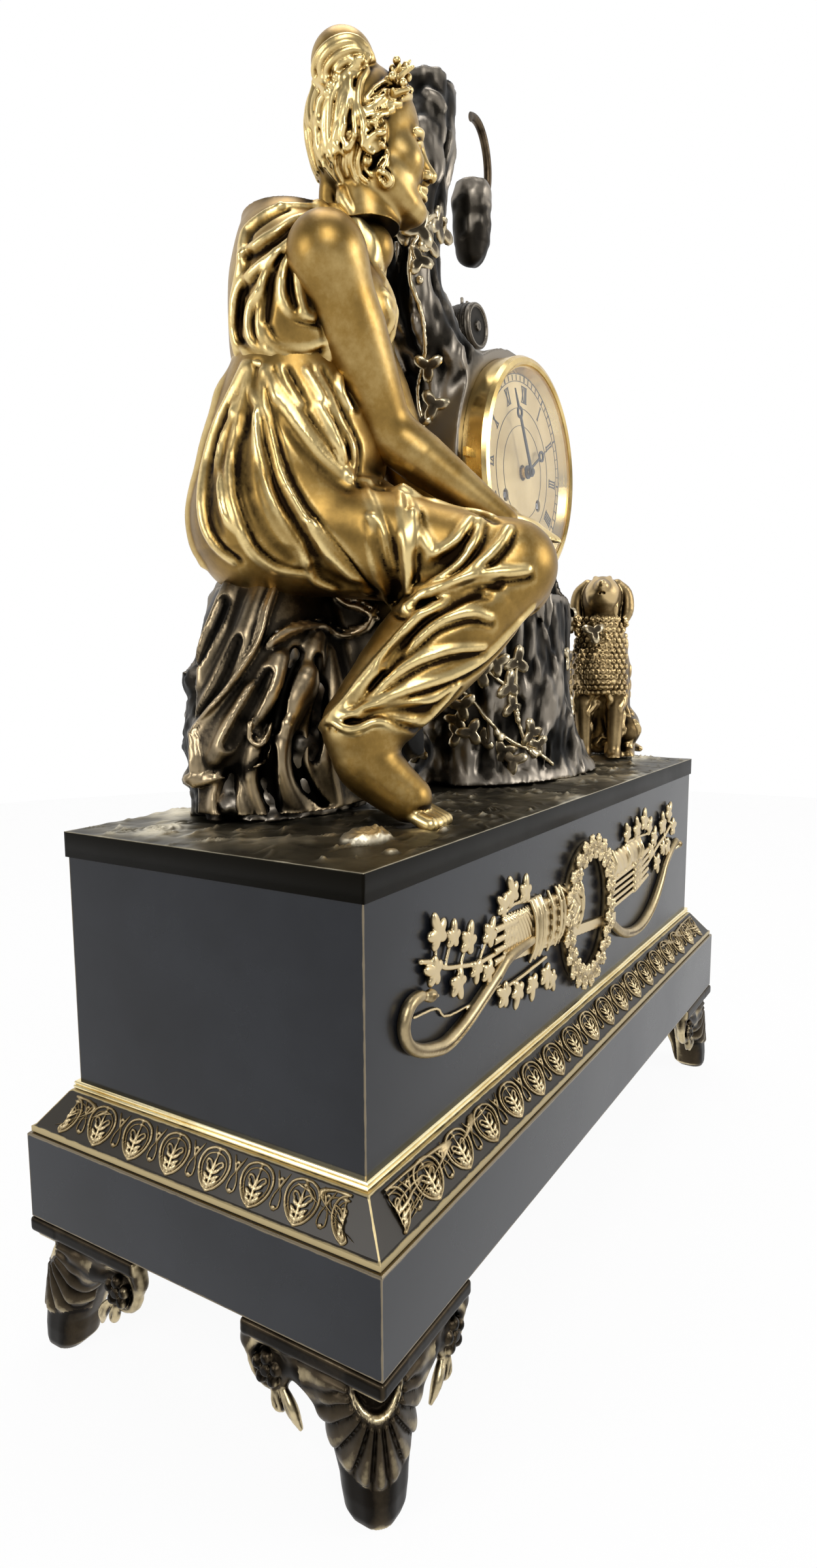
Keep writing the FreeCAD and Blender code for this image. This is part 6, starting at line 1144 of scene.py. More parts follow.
for pixels in ([(369, 556), (393, 562), (422, 566), (452, 567), (475, 563), (497, 558)],
               [(369, 549), (400, 556), (450, 560), (490, 553)],
               [(588, 445), (602, 465), (611, 485), (609, 508), (597, 526)],
               [(592, 460), (600, 490), (598, 520)]):
    clay.fold(pixels, 1.8, 0.5, 1.2)
for turn in (-1.1, -0.7, -0.3, 0.1, 0.5, 0.9, 1.3):
    out = ahead * math.cos(turn) + across * math.sin(turn)
    middle = SEAT + ahead * 14
    line = [middle + out * 10 + (0, 0, 242), middle + out * 17 + (0, 0, 228),
            middle + out * 26 + (0, 0, 210), middle + out * 22 + (0, 0, 190)]
    clay.chain(clay.settle(smooth_line(line, [1] * 4)[0], -0.8), 2.2, 2)
clay.fold([(366, 562), (393, 569), (422, 573), (452, 574), (475, 570), (500, 565)],
          1.6, -0.8, 1.0, True, 0.9)
torso = clay.mesh("dress_blouse", figure_gilding)
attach(torso, "case")
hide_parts("figure_torso")

# The near arm is bare. It is cast apart, and a screw inside the sleeve holds it.
arm_low, arm_high = box_mm("figure_arm_right")
clay = Clay(np.minimum(arm_low, near_shoulder - 16) - 3, np.maximum(arm_high, near_shoulder + 16) + 7, 0.65)
arm(clay, "right")
clay.ball(near_shoulder + (0.5, 0.5, 0.5), (14.8, 14.2, 14.6), soft=7)
near_arm = clay.mesh("bare_arm", figure_gilding, 1.2)
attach(near_arm, "case")
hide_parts("figure_arm_right")


# The head is cast apart with its neck. Waved hair is drawn back under a wreath of small
# flowers to a knot, and a plain ideal face looks past the dial.
skull = stand(0.045, -0.1025, 0.6815)
look = np.array([math.cos(math.radians(-52)), math.sin(math.radians(-52)), 0])
beside = np.array([-look[1], look[0], 0])


def face(front, side, up):
    rise = np.array([0, 0, up * (0.83 if up < 0 else 1.05)])
    return skull + look * (0.86 * front - 0.5) + beside * side + rise


head_low, head_high = box_mm("figure_head")
clay = Clay(head_low - (6, 6, 0.5), head_high + 5, 0.5)
neck = stand(0.04, -0.1, 0.585)
clay.limb(neck - (0, 0, 4), face(-4, 0, -16), 13, 11.8, 3)
clay.limb(neck + (0, 0, -5), neck + (0, 0, -1), 17, 12, 5)
clay.ball(face(-3, 0, 4), (21.6, 19.6, 24.5), look, 2)
clay.ball(face(7.4, 0, -11), (13.6, 13.6, 16.8), look, 4)
for side in (1, -1):
    clay.ball(face(14, 8.5 * side, -9), (7, 6.5, 7), look, 5)
    clay.limb(face(4, 12.5 * side, -19), face(15, 6 * side, -27), 5, 5, 5)
clay.ball(face(19.5, 0, -28.2), (5.2, 6, 4.9), look, 4)
clay.limb(face(19.7, -8, 1.6), face(19.7, 8, 1.6), 2.4, 2.4, 3)
for side in (1, -1):
    clay.ball(face(22.4, 7 * side, -3), (4.2, 4.6, 3.1), look, 2.6, True)
clay.chain([face(21, 0, 3.5), face(24.2, 0, -5), face(27.6, 0, -11.2)], [2.0, 2.0, 2.5], 1.8)
for side in (1, -1):
    clay.ball(face(24.4, 2.7 * side, -12.2), (2.7, 1.9, 1.9), look, 1.0)
    clay.ball(face(26.2, 1.5 * side, -14.3), (1.3, 0.8, 0.8), look, 0.5, True)
    clay.ball(face(17.9, 7 * side, -3.1), (3.7, 3.7, 3.5), look, 0.3)
    clay.chain([face(20.6, 3.4 * side, -3.6), face(22.0, 6.2 * side, -0.9), face(20.9, 9.2 * side, -1.5),
                face(18.6, 11.6 * side, -3.8)], [0.5, 0.8, 0.8, 0.4], 0.4)
    clay.chain([face(20.6, 3.6 * side, -4.0), face(21.2, 6.8 * side, -5.9), face(18.8, 11.2 * side, -4.2)],
               [0.4, 0.6, 0.4], 0.5)
    clay.chain([face(21.4, 3.2 * side, 1.6), face(22.2, 7.4 * side, 3.0), face(18.6, 12.6 * side, 1.4)],
               [0.6, 1.0, 0.5], 1.6)
clay.chain([face(21.6, -5.2, -19.4), face(24.3, -1.5, -18.0), face(24.5, 0, -18.5), face(24.3, 1.5, -18.0),
            face(21.6, 5.2, -19.4)], [0.7, 1.3, 1.2, 1.3, 0.7], 1.0)
clay.chain([face(21.6, -4.6, -20.8), face(24.1, 0, -21.7), face(21.6, 4.6, -20.8)], [0.8, 1.6, 0.8], 1.0)
clay.chain([face(22.4, -5, -20.0), face(25.6, 0, -19.9), face(22.4, 5, -20.0)], 0.35, 0.4, True)
clay.ball(face(23.6, 0, -24.4), (1.6, 4, 1.0), look, 1.4, True)
for side in (1, -1):
    clay.ball(face(-2.5, 19 * side, -5), (6, 3, 7.5), look, 2)
# The hair: a full cap behind the hairline, the knot, and locks laid over both
clay.ball(face(-7.5, 0, 6.5), (20.5, 21.4, 23.8), look, 1)
clay.ball(face(-12, 0, -4), (13.5, 17, 15), look, 3)
knot = stand(0.005, -0.0925, 0.7465)
clay.ball(knot + (0, 0, -1), (12.5, 12, 12), look, 2)
WAVES = [
    [(630, 127), (612, 119), (598, 122), (585, 130), (572, 138), (560, 150)],
    [(632, 133), (612, 129), (600, 134), (588, 139), (575, 147), (560, 158)],
    [(634, 140), (618, 136), (603, 144), (590, 141), (578, 150), (560, 164)],
    [(630, 147), (614, 149), (600, 154), (586, 150), (574, 160), (558, 167)],
    [(612, 158), (596, 158), (580, 166), (560, 173), (543, 176)],
    [(600, 166), (582, 172), (562, 180), (540, 187)],
    [(592, 173), (578, 177), (574, 190), (580, 201), (588, 196), (586, 184)],
    [(575, 186), (560, 190), (545, 196), (533, 206)],
    [(588, 202), (572, 206), (563, 216), (562, 228), (570, 233)],
    [(562, 200), (548, 206), (538, 214), (530, 226)],
    [(584, 220), (590, 234), (583, 247), (578, 262)], [(591, 238), (588, 252), (579, 264), (584, 276)],
    [(580, 262), (592, 267), (597, 278), (589, 284), (583, 276)],
    [(560, 95), (535, 105), (515, 125), (501, 155), (496, 190), (499, 225), (507, 252)],
    [(572, 92), (547, 98), (526, 116), (509, 146), (504, 182), (504, 216), (509, 246)],
    [(548, 108), (531, 130), (519, 160), (515, 190), (511, 216)],
    [(528, 148), (523, 176), (515, 200), (510, 226), (513, 256), (522, 276)],
    [(496, 140), (488, 165), (485, 190), (486, 215), (492, 240), (505, 262), (519, 280)],
    [(536, 132), (530, 160), (527, 182), (520, 205), (518, 230)],
    [(541, 222), (536, 244), (539, 262), (546, 277)], [(531, 226), (527, 250), (531, 268)],
    [(552, 228), (548, 250), (552, 268), (562, 278)], [(562, 236), (560, 254), (568, 268)]]
KNOT_LOCKS = [
    [(500, 142), (484, 120), (482, 100), (492, 78), (512, 62), (535, 57), (555, 67), (568, 86)],
    [(498, 127), (490, 105), (497, 85), (515, 70), (538, 66), (561, 82)],
    [(506, 130), (500, 110), (508, 93), (526, 80), (546, 77), (563, 88)],
    [(514, 118), (517, 104), (532, 93), (552, 91)]]


def both_sides(pixels, lift):
    """A lock as the camera sees it, and its mirror image on the far side of the head."""
    line = clay.seen(smooth_line(np.array(pixels, float), [1] * len(pixels), 4)[0], lift)
    return line, clay.settle(line - 2 * ((line - skull) @ beside)[:, None] * beside, lift)


for pixels in WAVES:
    routes = both_sides(pixels, 0.2)
    share = 0.45 + 0.55 * np.sin(np.linspace(0.1, 0.92, len(routes[0])) * math.pi) ** 0.5
    for route in routes:
        clay.chain(route, 1.25 * share, 0.7, False, False)
        clay.chain(route + (0, 0, 1.9), 0.5 * share, 0.5, True, False)
for pixels in KNOT_LOCKS:
    for route in both_sides(pixels, 0.1):
        clay.chain(route, 1.5, 0.7, False, False)
BACK_LOCKS, RIM_LOCKS, BUDS = 19, 10, 15
for number in range(BACK_LOCKS):
    angle = math.radians(-72 + 8 * number)
    out = -look * math.cos(angle) + beside * math.sin(angle)
    wave = beside * math.cos(angle) + look * math.sin(angle)
    line = [knot - (0, 0, 10) + look * 2 + out * 7] + [
        skull + out * (10 + 14 * math.sin(math.radians(drop))) + (0, 0, 25 * math.cos(math.radians(drop)))
        + wave * 1.3 * math.sin(drop * 0.11 + number) for drop in (40, 60, 80, 100, 118)]
    line = clay.settle(smooth_line(line, [1] * len(line))[0], 0.1)
    clay.chain(line, [0.7] + [1.3] * (len(line) - 2) + [0.5], 0.8, False, False)
    clay.chain(line + wave * 1.8, 0.45, 0.5, True, False)
for turn in range(RIM_LOCKS):
    angle = turn * 2 * math.pi / RIM_LOCKS
    rim = beside * math.cos(angle) * 10.2 + (look * 0.6 + np.array([0, 0, 0.8])) * math.sin(angle) * 10.2
    clay.chain([knot - (0, 0, 9) + look * 4 + rim * 0.8, knot - (0, 0, 8) + look * 5 + rim * 1.06,
                knot - (0, 0, 6) + look * 2 + rim * 1.1], 1.2, 0.6)
clay.chain([face(-20, 0, -14), face(-21, 3, -24), face(-17, 2, -31), face(-21, -3, -37)],
           [4.6, 4.2, 3.4, 1.4], 1.5)
clay.chain([face(-14, -4, -20), face(-15, -8, -28), face(-11, -9, -36), face(-13, -6, -42)],
           [3, 2.8, 2.2, 1], 1.0)
# The wreath: buds and five petalled flowers between narrow leaves, from temple to temple
for number in range(BUDS):
    angle = math.radians(-84 + 12 * number)
    spot = clay.settle([face(8, 0, 8) + beside * 21 * math.sin(angle) + (look * 4 + np.array([0, 0, 19]))
                        * math.cos(angle)], 0.6)[0]
    out = clay.slope(np.array([spot]))[0]
    side_way = np.cross(out, look)
    if number % 3 == 1:
        for petal in range(5):
            lean = petal * 2 * math.pi / 5
            tip = side_way * math.cos(lean) + np.cross(out, side_way) * math.sin(lean)
            clay.limb(spot + tip * 1.4 + out * 1.2, spot + tip * 4.2 + out * 1.6, 0.9, 1.6, 0.4)
        clay.ball(spot + out * 1.7, (1.2, 1.2, 1.2), soft=0.3)
    else:
        clay.limb(spot, spot + out * 4.2 + look * (3.2 if number % 2 else -3.2), 1.9, 0.7, 0.4)
        clay.limb(spot, spot + out * 5.0 - look * (2.4 if number % 2 else -2.4), 1.7, 0.6, 0.4)
clay.ball(clay.seen([(562, 245)], 0.8)[0], (2.0, 2.0, 2.4), soft=0.3)
head = clay.mesh("ideal_head", figure_gilding, 1.0)
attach(head, "case")
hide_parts("figure_head")


# The rock seat is a rough cast boulder, dark brown to black, screwed to the ground plate.
def cut_away(clay, normal, spot):
    """Leaves only what lies on the near side of a plane."""
    x, y, z = (clay.low[n] + clay.cell * np.arange(clay.size[n]) for n in range(3))
    plane = ((x - spot[0]) * normal[0])[:, None, None] + ((y - spot[1]) * normal[1])[None, :, None] + (
        (z - spot[2]) * normal[2])[None, None, :]
    clay.far = np.maximum(clay.far, plane.astype(np.float32))


# Near-black bronze for the rock, tree, quiver and flask: bright is painted highlight on ridges, deep is
# painted shade in hollows.
dark_bronze = gilding("dark_bronze", (0.004, 0.0036, 0.003), (0.026, 0.022, 0.017), (0.24, 0.21, 0.17),
                      0.28, 0.95, 0.46)
SEAT_RISE = 98.0
ROCK = [(0.0, 0.0, 1.0), (0.12, 0.01, 0.97), (0.3, -0.01, 1.0), (0.55, 0.0, 0.93), (0.8, 0.02, 0.82),
        (1.0, 0.03, 0.62)]


def rock_form(clay, scale, lumps):
    pillar(clay, [ground + r * SEAT_RISE for r, _, _ in ROCK],
           [(SEAT[0] + shift * SEAT_RISE, SEAT[1] + 2) for _, shift, _ in ROCK],
           [(44.5 * w * scale, 35.5 * w * scale) for _, _, w in ROCK], lumps=lumps)


rock_low, rock_high = box_mm("rock_seat")
clay = Clay(rock_low - (4, 4, 0), rock_high + (4, 4, 3), 1.2)
rock_form(clay, 1.0, 0.04)
for turn, height, size in ((0.3, 20, 17), (1.1, 48, 15), (1.8, 22, 18), (2.5, 55, 14), (3.0, 26, 15),
                           (-0.5, 45, 15), (-1.0, 15, 16), (4.2, 30, 12)):
    clay.ball(SEAT + (33 * math.cos(turn), 26 * math.sin(turn), height), (size, size * 0.8, size * 0.7),
              (math.cos(turn), math.sin(turn), 0.4), 2.5)
clay.roughen(9, 1.5, 3)
clay.roughen(3.5, 0.6, 4)
cut_away(clay, (0, 0, -1), (0, 0, ground - 0.6))
rock = clay.mesh("boulder", dark_bronze, 2.0)
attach(rock, "case")
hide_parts("rock_seat")

# The cloth over the rock is cast apart, brown black; its folds and hem are brighter on their ridges, partly
# rubbing and partly painted highlight, and darker between them as painted shade. It hangs from the seat in
# pipes and is pinned to the rock from behind.
cloth_bronze = gilding("cloth_bronze", (0.003, 0.0026, 0.002), (0.028, 0.022, 0.015), (0.4, 0.31, 0.19),
                       0.28, 0.9, 0.4)
cloth_low, cloth_high = box_mm("seat_drapery")
clay = Clay(cloth_low - (7, 14, 0), cloth_high + (12, 6, 3), 1.0)
rock_form(clay, 1.09, 0.015)
for pixel, size in (((560, 1010), 20), ((545, 930), 20), ((590, 950), 17), ((570, 1080), 18),
                    ((560, 1150), 19), ((640, 1100), 14)):
    clay.ball(behind_pixel(pixel, SEAT + (6, 6, 50)), (size, size, size * 1.2), soft=6)
local_side = np.array([math.cos(math.radians(-58.5)), math.sin(math.radians(-58.5)), 0])
local_back = np.array([-local_side[1], local_side[0], 0])
cut_away(clay, -local_side, SEAT - local_side * 0.3 * SEAT_RISE)
cut_away(clay, local_back, SEAT + local_back * 0.1 * SEAT_RISE)
PIPES = [([(488, 976), (478, 1012), (470, 1060)], 5.5), ([(470, 1030), (455, 1060), (440, 1110)], 5.5),
         ([(428, 1010), (408, 1060), (384, 1108)], 6), ([(383, 1060), (360, 1110), (330, 1160)], 6),
         ([(437, 1110), (426, 1165), (436, 1205), (458, 1240)], 5),
         ([(395, 1130), (385, 1190), (400, 1240)], 5), ([(341, 1190), (332, 1225), (326, 1256)], 4),
         ([(359, 1190), (366, 1220), (376, 1248)], 4), ([(505, 1000), (512, 1080), (500, 1160),
                                                         (515, 1230)], 5.5),
                                                         ([(350, 900), (330, 960), (300, 1040)], 6),
         ([(400, 900), (372, 980), (330, 1060), (300, 1110)], 5)]
for pixels, radius in PIPES:
    clay.fold(pixels, radius, 1.4, 2)
for pixels in ([(455, 1000), (435, 1060), (420, 1110)], [(410, 1030), (385, 1080), (350, 1140)],
               [(458, 1132), (458, 1180), (479, 1216), (510, 1245)],
               [(412, 1150), (412, 1200), (425, 1250)], [(360, 980), (330, 1050), (290, 1110)],
               [(340, 920), (312, 980), (285, 1040)], [(348, 1195), (345, 1230), (350, 1255)],
               [(490, 1010), (490, 1080), (480, 1160)]):
    clay.fold(pixels, 3.4, 0.6, 1.6, True)
for pixels in ([(422, 892), (405, 940), (392, 988), (365, 1030), (335, 1072), (308, 1104), (287, 1132),
                (272, 1171), (272, 1201)],
               [(272, 1201), (300, 1198), (329, 1192), (374, 1180), (404, 1165), (410, 1150)],
               [(411, 988), (430, 974), (452, 964), (494, 958), (521, 973), (560, 961), (572, 935)],
               [(515, 915), (530, 925), (550, 930), (575, 945)],
               [(323, 1255), (345, 1261), (365, 1264), (422, 1261), (452, 1258), (521, 1252)],
               [(383, 1108), (382, 1130), (395, 1141), (407, 1130), (412, 1112)]):
    clay.fold(pixels, 1.6, -0.5, 0.8, taper=0.9)
    clay.fold([(x + 4, y - 9) for x, y in pixels], 0.9, -0.2, 0.6, taper=0.9)
clay.roughen(24, 0.8, 8)
cut_away(clay, (0, 0, -1), (0, 0, ground - 0.6))
cloth = clay.mesh("hanging_cloth", cloth_bronze, 1.8)
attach(cloth, "case")
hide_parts("seat_drapery")

# The hollow tree is one bronze casting that carries the drum of the clock. Its bark runs in
# long ridges, and a burl stands out at the right.
TREE_HEIGHT, TREE_X, TREE_Y = 334.0, 66.0, 8.0
TRUNK = [(0.0, 0.0, 0.233, 0.15), (0.04, -0.012, 0.2, 0.133), (0.15, -0.05, 0.197, 0.126),
         (0.255, -0.06, 0.203, 0.126), (0.345, -0.08, 0.18, 0.12), (0.5, -0.114, 0.175, 0.12),
         (0.59, -0.18, 0.125, 0.105), (0.65, -0.285, 0.072, 0.066), (0.72, -0.318, 0.048, 0.045),
         (0.85, -0.302, 0.048, 0.045), (0.93, -0.278, 0.048, 0.045), (1.0, -0.258, 0.044, 0.042)]
dial_low, dial_high = box_mm("dial")
clock = np.array([(dial_low[0] + dial_high[0]) / 2, -16.5, (dial_low[2] + dial_high[2]) / 2])
tree_low, tree_high = box_mm("tree_trunk")
clay = Clay(tree_low - (5, 4, 0), tree_high + (5, 4, 2), 1.25)
pillar(clay, [ground + r * TREE_HEIGHT for r, _, _, _ in TRUNK],
       [(TREE_X + shift * TREE_HEIGHT, TREE_Y) for _, shift, _, _ in TRUNK],
       [(wide * TREE_HEIGHT, deep * TREE_HEIGHT) for _, _, wide, deep in TRUNK], lumps=0.025)
rng = np.random.default_rng(11)
RIDGE_COUNT = 46
for number in range(RIDGE_COUNT):
    angle, base = rng.uniform(0, 2 * math.pi), rng.uniform(-10, 250)
    run = []
    for step in range(6):
        z = base + step * rng.uniform(12, 20)
        share = np.clip(z / TREE_HEIGHT, 0, 1)
        shift, wide, deep = (np.interp(share, [t[0] for t in TRUNK], [t[n] for t in TRUNK]) * TREE_HEIGHT
                             for n in (1, 2, 3))
        bend = angle + 0.12 * math.sin(step * 1.3 + number)
        run.append((TREE_X + shift + wide * math.cos(bend), TREE_Y + deep * math.sin(bend),
                    ground + min(z, TREE_HEIGHT - 3)))
    groove = number % 3 == 0
    clay.chain(run, [0.6, 1.6, 2, 1.6, 1.2, 0.5] if groove else [1, 1.9, 2.3, 2.0, 1.7, 0.7], 2.5, groove)
burl = np.array([TREE_X + 0.19 * TREE_HEIGHT, TREE_Y, ground + 0.253 * TREE_HEIGHT])
clay.ball(burl, (17, 16.5, 18.5), soft=5)
clay.ball(burl + (15, -5, 3), (5, 6, 8), soft=2)
clay.roughen(6, 1.1, 21, (1, 1, 0.35))
clay.roughen(3.2, 0.5, 22, (1, 1, 0.5))
spot, x, y, z = clay.window(clock - (70, 6, 70), clock + (70, 80, 70))
round_gap = np.sqrt((x - clock[0]) ** 2 + (z - clock[2]) ** 2)
clay.add(spot, np.maximum(round_gap - 60.4, np.abs(y - clock[1] - 36.2) - 36.2), 5)
clay.take(spot, round_gap - 54.6 + 0 * y, 0.4)
whole, x, y, z = clay.window(clay.low, clay.low + clay.size * clay.cell)
round_drum = np.maximum(abs(x - clock[0]) - 61, abs(z - clock[2]) - 61)
in_front, behind = np.maximum(round_drum, y - clock[1]), np.maximum(round_drum, clock[1] + 72.5 - y)
slot_field = np.maximum(np.maximum(abs(x - clock[0]) - 31, 16 - y), abs(z - 310) - 68)
clay.far = np.maximum(clay.far, -np.minimum(np.minimum(in_front, behind), slot_field).astype(np.float32))
cut_away(clay, (0, 0, -1), (0, 0, ground - 0.6))
for angle in range(6):
    turn = math.radians(angle * 60 + 20)
    clay.chain([(TREE_X + 40 * math.cos(turn), TREE_Y + 24 * math.sin(turn), ground + 16),
                (TREE_X + 66 * math.cos(turn), TREE_Y + 40 * math.sin(turn), ground + 4),
                (TREE_X + 76 * math.cos(turn), TREE_Y + 46 * math.sin(turn), ground - 1)], [7, 6, 2.5], 4)
clay.fold([(652, 140), (668, 150), (680, 165)], 2.4, 0, 1.5)
tree = clay.mesh("tree_bark", dark_bronze, 2.2)
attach(tree, "case")
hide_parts("tree_trunk")

# Ivy climbs the trunk and its foot: cast stems and leaves, soldered on, their rims brighter, partly rubbing
# and partly painted highlight
ivy_bronze = gilding("ivy_bronze", (0.012, 0.010, 0.007), (0.09, 0.07, 0.045), (0.62, 0.52, 0.34),
                     0.4, 0.8, 0.36)
STEMS = [[(648, 345), (630, 380), (628, 430), (645, 480), (650, 540), (640, 600), (650, 660)],
         [(645, 345), (665, 330), (690, 345), (700, 380)],
         [(700, 1052), (726, 1075), (742, 1096), (765, 1122), (792, 1140), (820, 1150), (845, 1170)],
         [(790, 1010), (788, 1060), (792, 1100), (800, 1130)], [(735, 1000), (750, 1030), (790, 1060)]]
LEAVES = [(612, 352, 15), (640, 350, 16), (668, 345, 15), (655, 372, 14), (690, 362, 14), (640, 400, 13),
          (664, 620, 14), (640, 650, 13), (655, 560, 13), (706, 1080, 15), (735, 1030, 15), (720, 1120, 14),
          (738, 1130, 13), (790, 1012, 15), (778, 1050, 16), (782, 1080, 13), (812, 1120, 15),
          (768, 1150, 16), (785, 1165, 14), (760, 1015, 13), (822, 1140, 12), (700, 1100, 13)]
BERRIES = [(788, 1092), (790, 1102), (763, 1130), (758, 1122), (811, 1150), (816, 1156), (821, 1152),
           (640, 430)]
ivy_points, ivy_faces, ivy_relief = [], [], []


def ivy_leaf(spot, lean, size, lobes=3):
    """A lobed leaf with a raised rim and a sunk middle vein, on a surface."""
    out = clay.slope(np.array([spot]))[0]
    first = np.cross(out, (0, 0, 1.0))
    first /= max(np.linalg.norm(first), 1e-3)
    second = np.cross(first, out)
    base = len(ivy_points)
    sides = 8 * lobes
    # The last number of each ring is its relief: highest at the rim as painted highlight, lower towards the
    # middle as painted shade.
    rings = ((0.0, 1.3, 0.35), (0.55, 1.9, 0.5), (0.95, 1.4, 1.0), (1.0, -0.6, 0.6))
    for reach, rise, shine in rings:
        for n in range(sides if reach else 1):
            angle = n * 2 * math.pi / sides
            edge = 0.68 + 0.32 * math.cos(lobes * angle)
            place = spot + (first * math.cos(angle + lean) + second * math.sin(angle + lean)) * (
                size * reach * edge) + out * rise
            ivy_points.append(place)
            ivy_relief.append(shine)
    for n in range(sides):
        m = (n + 1) % sides
        ivy_faces.append((base, base + 1 + n, base + 1 + m))
        for k in (0, 1):
            a = base + 1 + k * sides
            ivy_faces.append((a + n, a + sides + n, a + sides + m, a + m))


for number, (px, py, size) in enumerate(LEAVES):
    ivy_leaf(clay.seen([(px, py)])[0], number * 1.9, size * 0.6)
ROUND_LEAVES = 34
for number in range(ROUND_LEAVES):
    angle, z = -2.6 + number * 0.18, 8 + (number * 37 % 100)
    if -2.9 < angle < -1.4:
        continue
    spot = clay.settle([(TREE_X + 70 * math.cos(angle), TREE_Y + 45 * math.sin(angle), ground + z)])[0]
    ivy_leaf(spot, number * 1.3, 8.0)
ivy = plain_mesh("ivy_leaves", np.array(ivy_points) / 1000, ivy_faces, ivy_bronze)
paint(ivy, ivy_relief)
vines = Clay(tree_low - 6, tree_high + 6, 1.25)
for pixels in STEMS:
    line = clay.seen(smooth_line(np.array(pixels, float), [1] * len(pixels))[0], 0.3)
    vines.chain(line, 1.3, 0.5, False, False)
for spot in clay.seen(BERRIES, 1.0):
    vines.ball(spot, (2.1, 2.1, 2.1), soft=0.5)
stems = vines.mesh("ivy_stems", ivy_bronze)
for piece in (ivy, stems):
    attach(piece, "case")

# The dog sits and looks up at the figure. It is cast whole, patinated brown gold, with a
# curled coat, and is screwed to the mound of the ground plate.
# dog_gilding: brown gold, deep in the hollows as painted shade and bright on the curls and ridges as painted
# highlight.
dog_gilding = gilding("dog_gilding", (0.010, 0.006, 0.003), (0.13, 0.085, 0.035), (0.6, 0.44, 0.22),
                      0.26, 0.8, 0.4)
DOG = 124.0
dog_front = np.array([math.cos(math.radians(199.3)), math.sin(math.radians(199.3)), 0])
dog_left = np.array([-dog_front[1], dog_front[0], 0])


def dog_at(front, left, up):
    share = dog_front * front + dog_left * left + np.array([0, 0, up])
    return np.array([142.0, -25.0, ground]) + share * DOG


dog_low, dog_high = box_mm("dog")
clay = Clay(dog_low - (5, 5, 0), dog_high + (4, 4, 4), 0.7)
LIMBS = [(-0.11, 0, 0.5, 0.15, -0.27, 0, 0.17, 0.165), (-0.1, 0, 0.6, 0.115, -0.04, 0, 0.8, 0.09),
         (-0.02, 0, 0.86, 0.1, 0.02, 0, 0.87, 0.085), (-0.05, 0, 0.47, 0.13, -0.09, 0, 0.62, 0.125),
         (0.03, 0, 0.845, 0.058, 0.105, 0, 0.895, 0.036)]
for side in (1, -1):
    LIMBS += [(-0.06, 0.085 * side, 0.4, 0.055, -0.015, 0.075 * side, 0.05, 0.034),
              (-0.015, 0.075 * side, 0.036, 0.034, 0.04, 0.078 * side, 0.026, 0.026),
              (-0.25, 0.1 * side, 0.17, 0.12, -0.14, 0.13 * side, 0.16, 0.085),
              (-0.14, 0.14 * side, 0.06, 0.05, -0.05, 0.15 * side, 0.035, 0.033)]
for a, b, c, radius, d, e, f, end in LIMBS:
    clay.limb(dog_at(a, b, c), dog_at(d, e, f), radius * DOG, end * DOG, 4)
clay.chain([dog_at(-0.36, 0, 0.07), dog_at(-0.41, 0.09, 0.05), dog_at(-0.38, 0.18, 0.05),
            dog_at(-0.3, 0.22, 0.05)],
           [5, 4.2, 3.6, 2], 2)
for side in (1, -1):
    clay.chain([dog_at(-0.045, 0.075 * side, 0.92), dog_at(-0.07, 0.115 * side, 0.87),
                dog_at(-0.06, 0.125 * side, 0.79), dog_at(-0.04, 0.115 * side, 0.73)],
                [3.2, 4.6, 4.6, 2.4], 1.2)
    clay.ball(dog_at(0.045, 0.042 * side, 0.905), (1.9, 2.3, 2.1), soft=1.2, dig=True)
    clay.ball(dog_at(0.037, 0.04 * side, 0.903), (1.7, 1.7, 1.7), soft=0.3)
    clay.limb(dog_at(0.02, 0.035 * side, 0.945), dog_at(0.06, 0.03 * side, 0.925), 1.6, 1.2, 1)
    clay.chain([dog_at(0.125, 0.004 * side, 0.868), dog_at(0.09, 0.03 * side, 0.852),
                dog_at(0.05, 0.05 * side, 0.845)],
               0.6, 0.5, True)
    clay.ball(dog_at(0.138, 0.009 * side, 0.905), (0.9, 0.8, 0.7), soft=0.4, dig=True)
    for toe in (-0.018, 0, 0.018):
        clay.limb(dog_at(0.03, 0.078 * side + toe, 0.03), dog_at(0.065, 0.078 * side + toe, 0.014),
                  2.0, 1.8, 0.6)
        clay.limb(dog_at(-0.06, 0.15 * side + toe, 0.035), dog_at(-0.02, 0.15 * side + toe, 0.016),
                  2.2, 1.9, 0.6)
clay.ball(dog_at(0.132, 0, 0.912), (2.4, 2.6, 2.2), dog_front, 0.6)
rng = np.random.default_rng(5)
CURL_COUNT = 150
for number in range(CURL_COUNT):
    front, up, wide = rng.uniform(-0.42, 0.06), rng.uniform(0.1, 0.82), rng.uniform(-0.22, 0.22)
    start = clay.settle([dog_at(front, wide, up)], -0.2)[0]
    if clay.value(np.array([start]))[0] > 1 or (front > -0.02 and up < 0.3):
        continue
    curl = [start]
    for step in range(4):
        curl.append(curl[-1] + dog_left * math.sin(number + step * 1.4) * 2.2 - np.array([0, 0, 2.3])
                    + dog_front * math.cos(number * 2 + step) * 0.8)
    clay.chain(clay.settle(curl, -0.2), [0.6, 1.5, 1.6, 1.3, 0.5], 0.9, False, False)
chest = [(px + 4 * (row % 2), 948 + 8 * row) for row in range(15) for px in range(858, 962, 8)]
chest = clay.seen(chest, -0.2)
for number, spot in enumerate(chest[np.abs(clay.value(chest) + 0.2) < 0.8]):
    clay.ball(spot, (1.9, 1.9, 1.9), soft=0.4)
    clay.ball(spot + clay.slope(np.array([spot]))[0] * 1.6, (0.7, 0.7, 0.7), soft=0.4, dig=True)
cut_away(clay, (0, 0, -1), (0, 0, ground - 0.4))
dog = clay.mesh("sitting_dog", dog_gilding, 1.3)
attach(dog, "case")
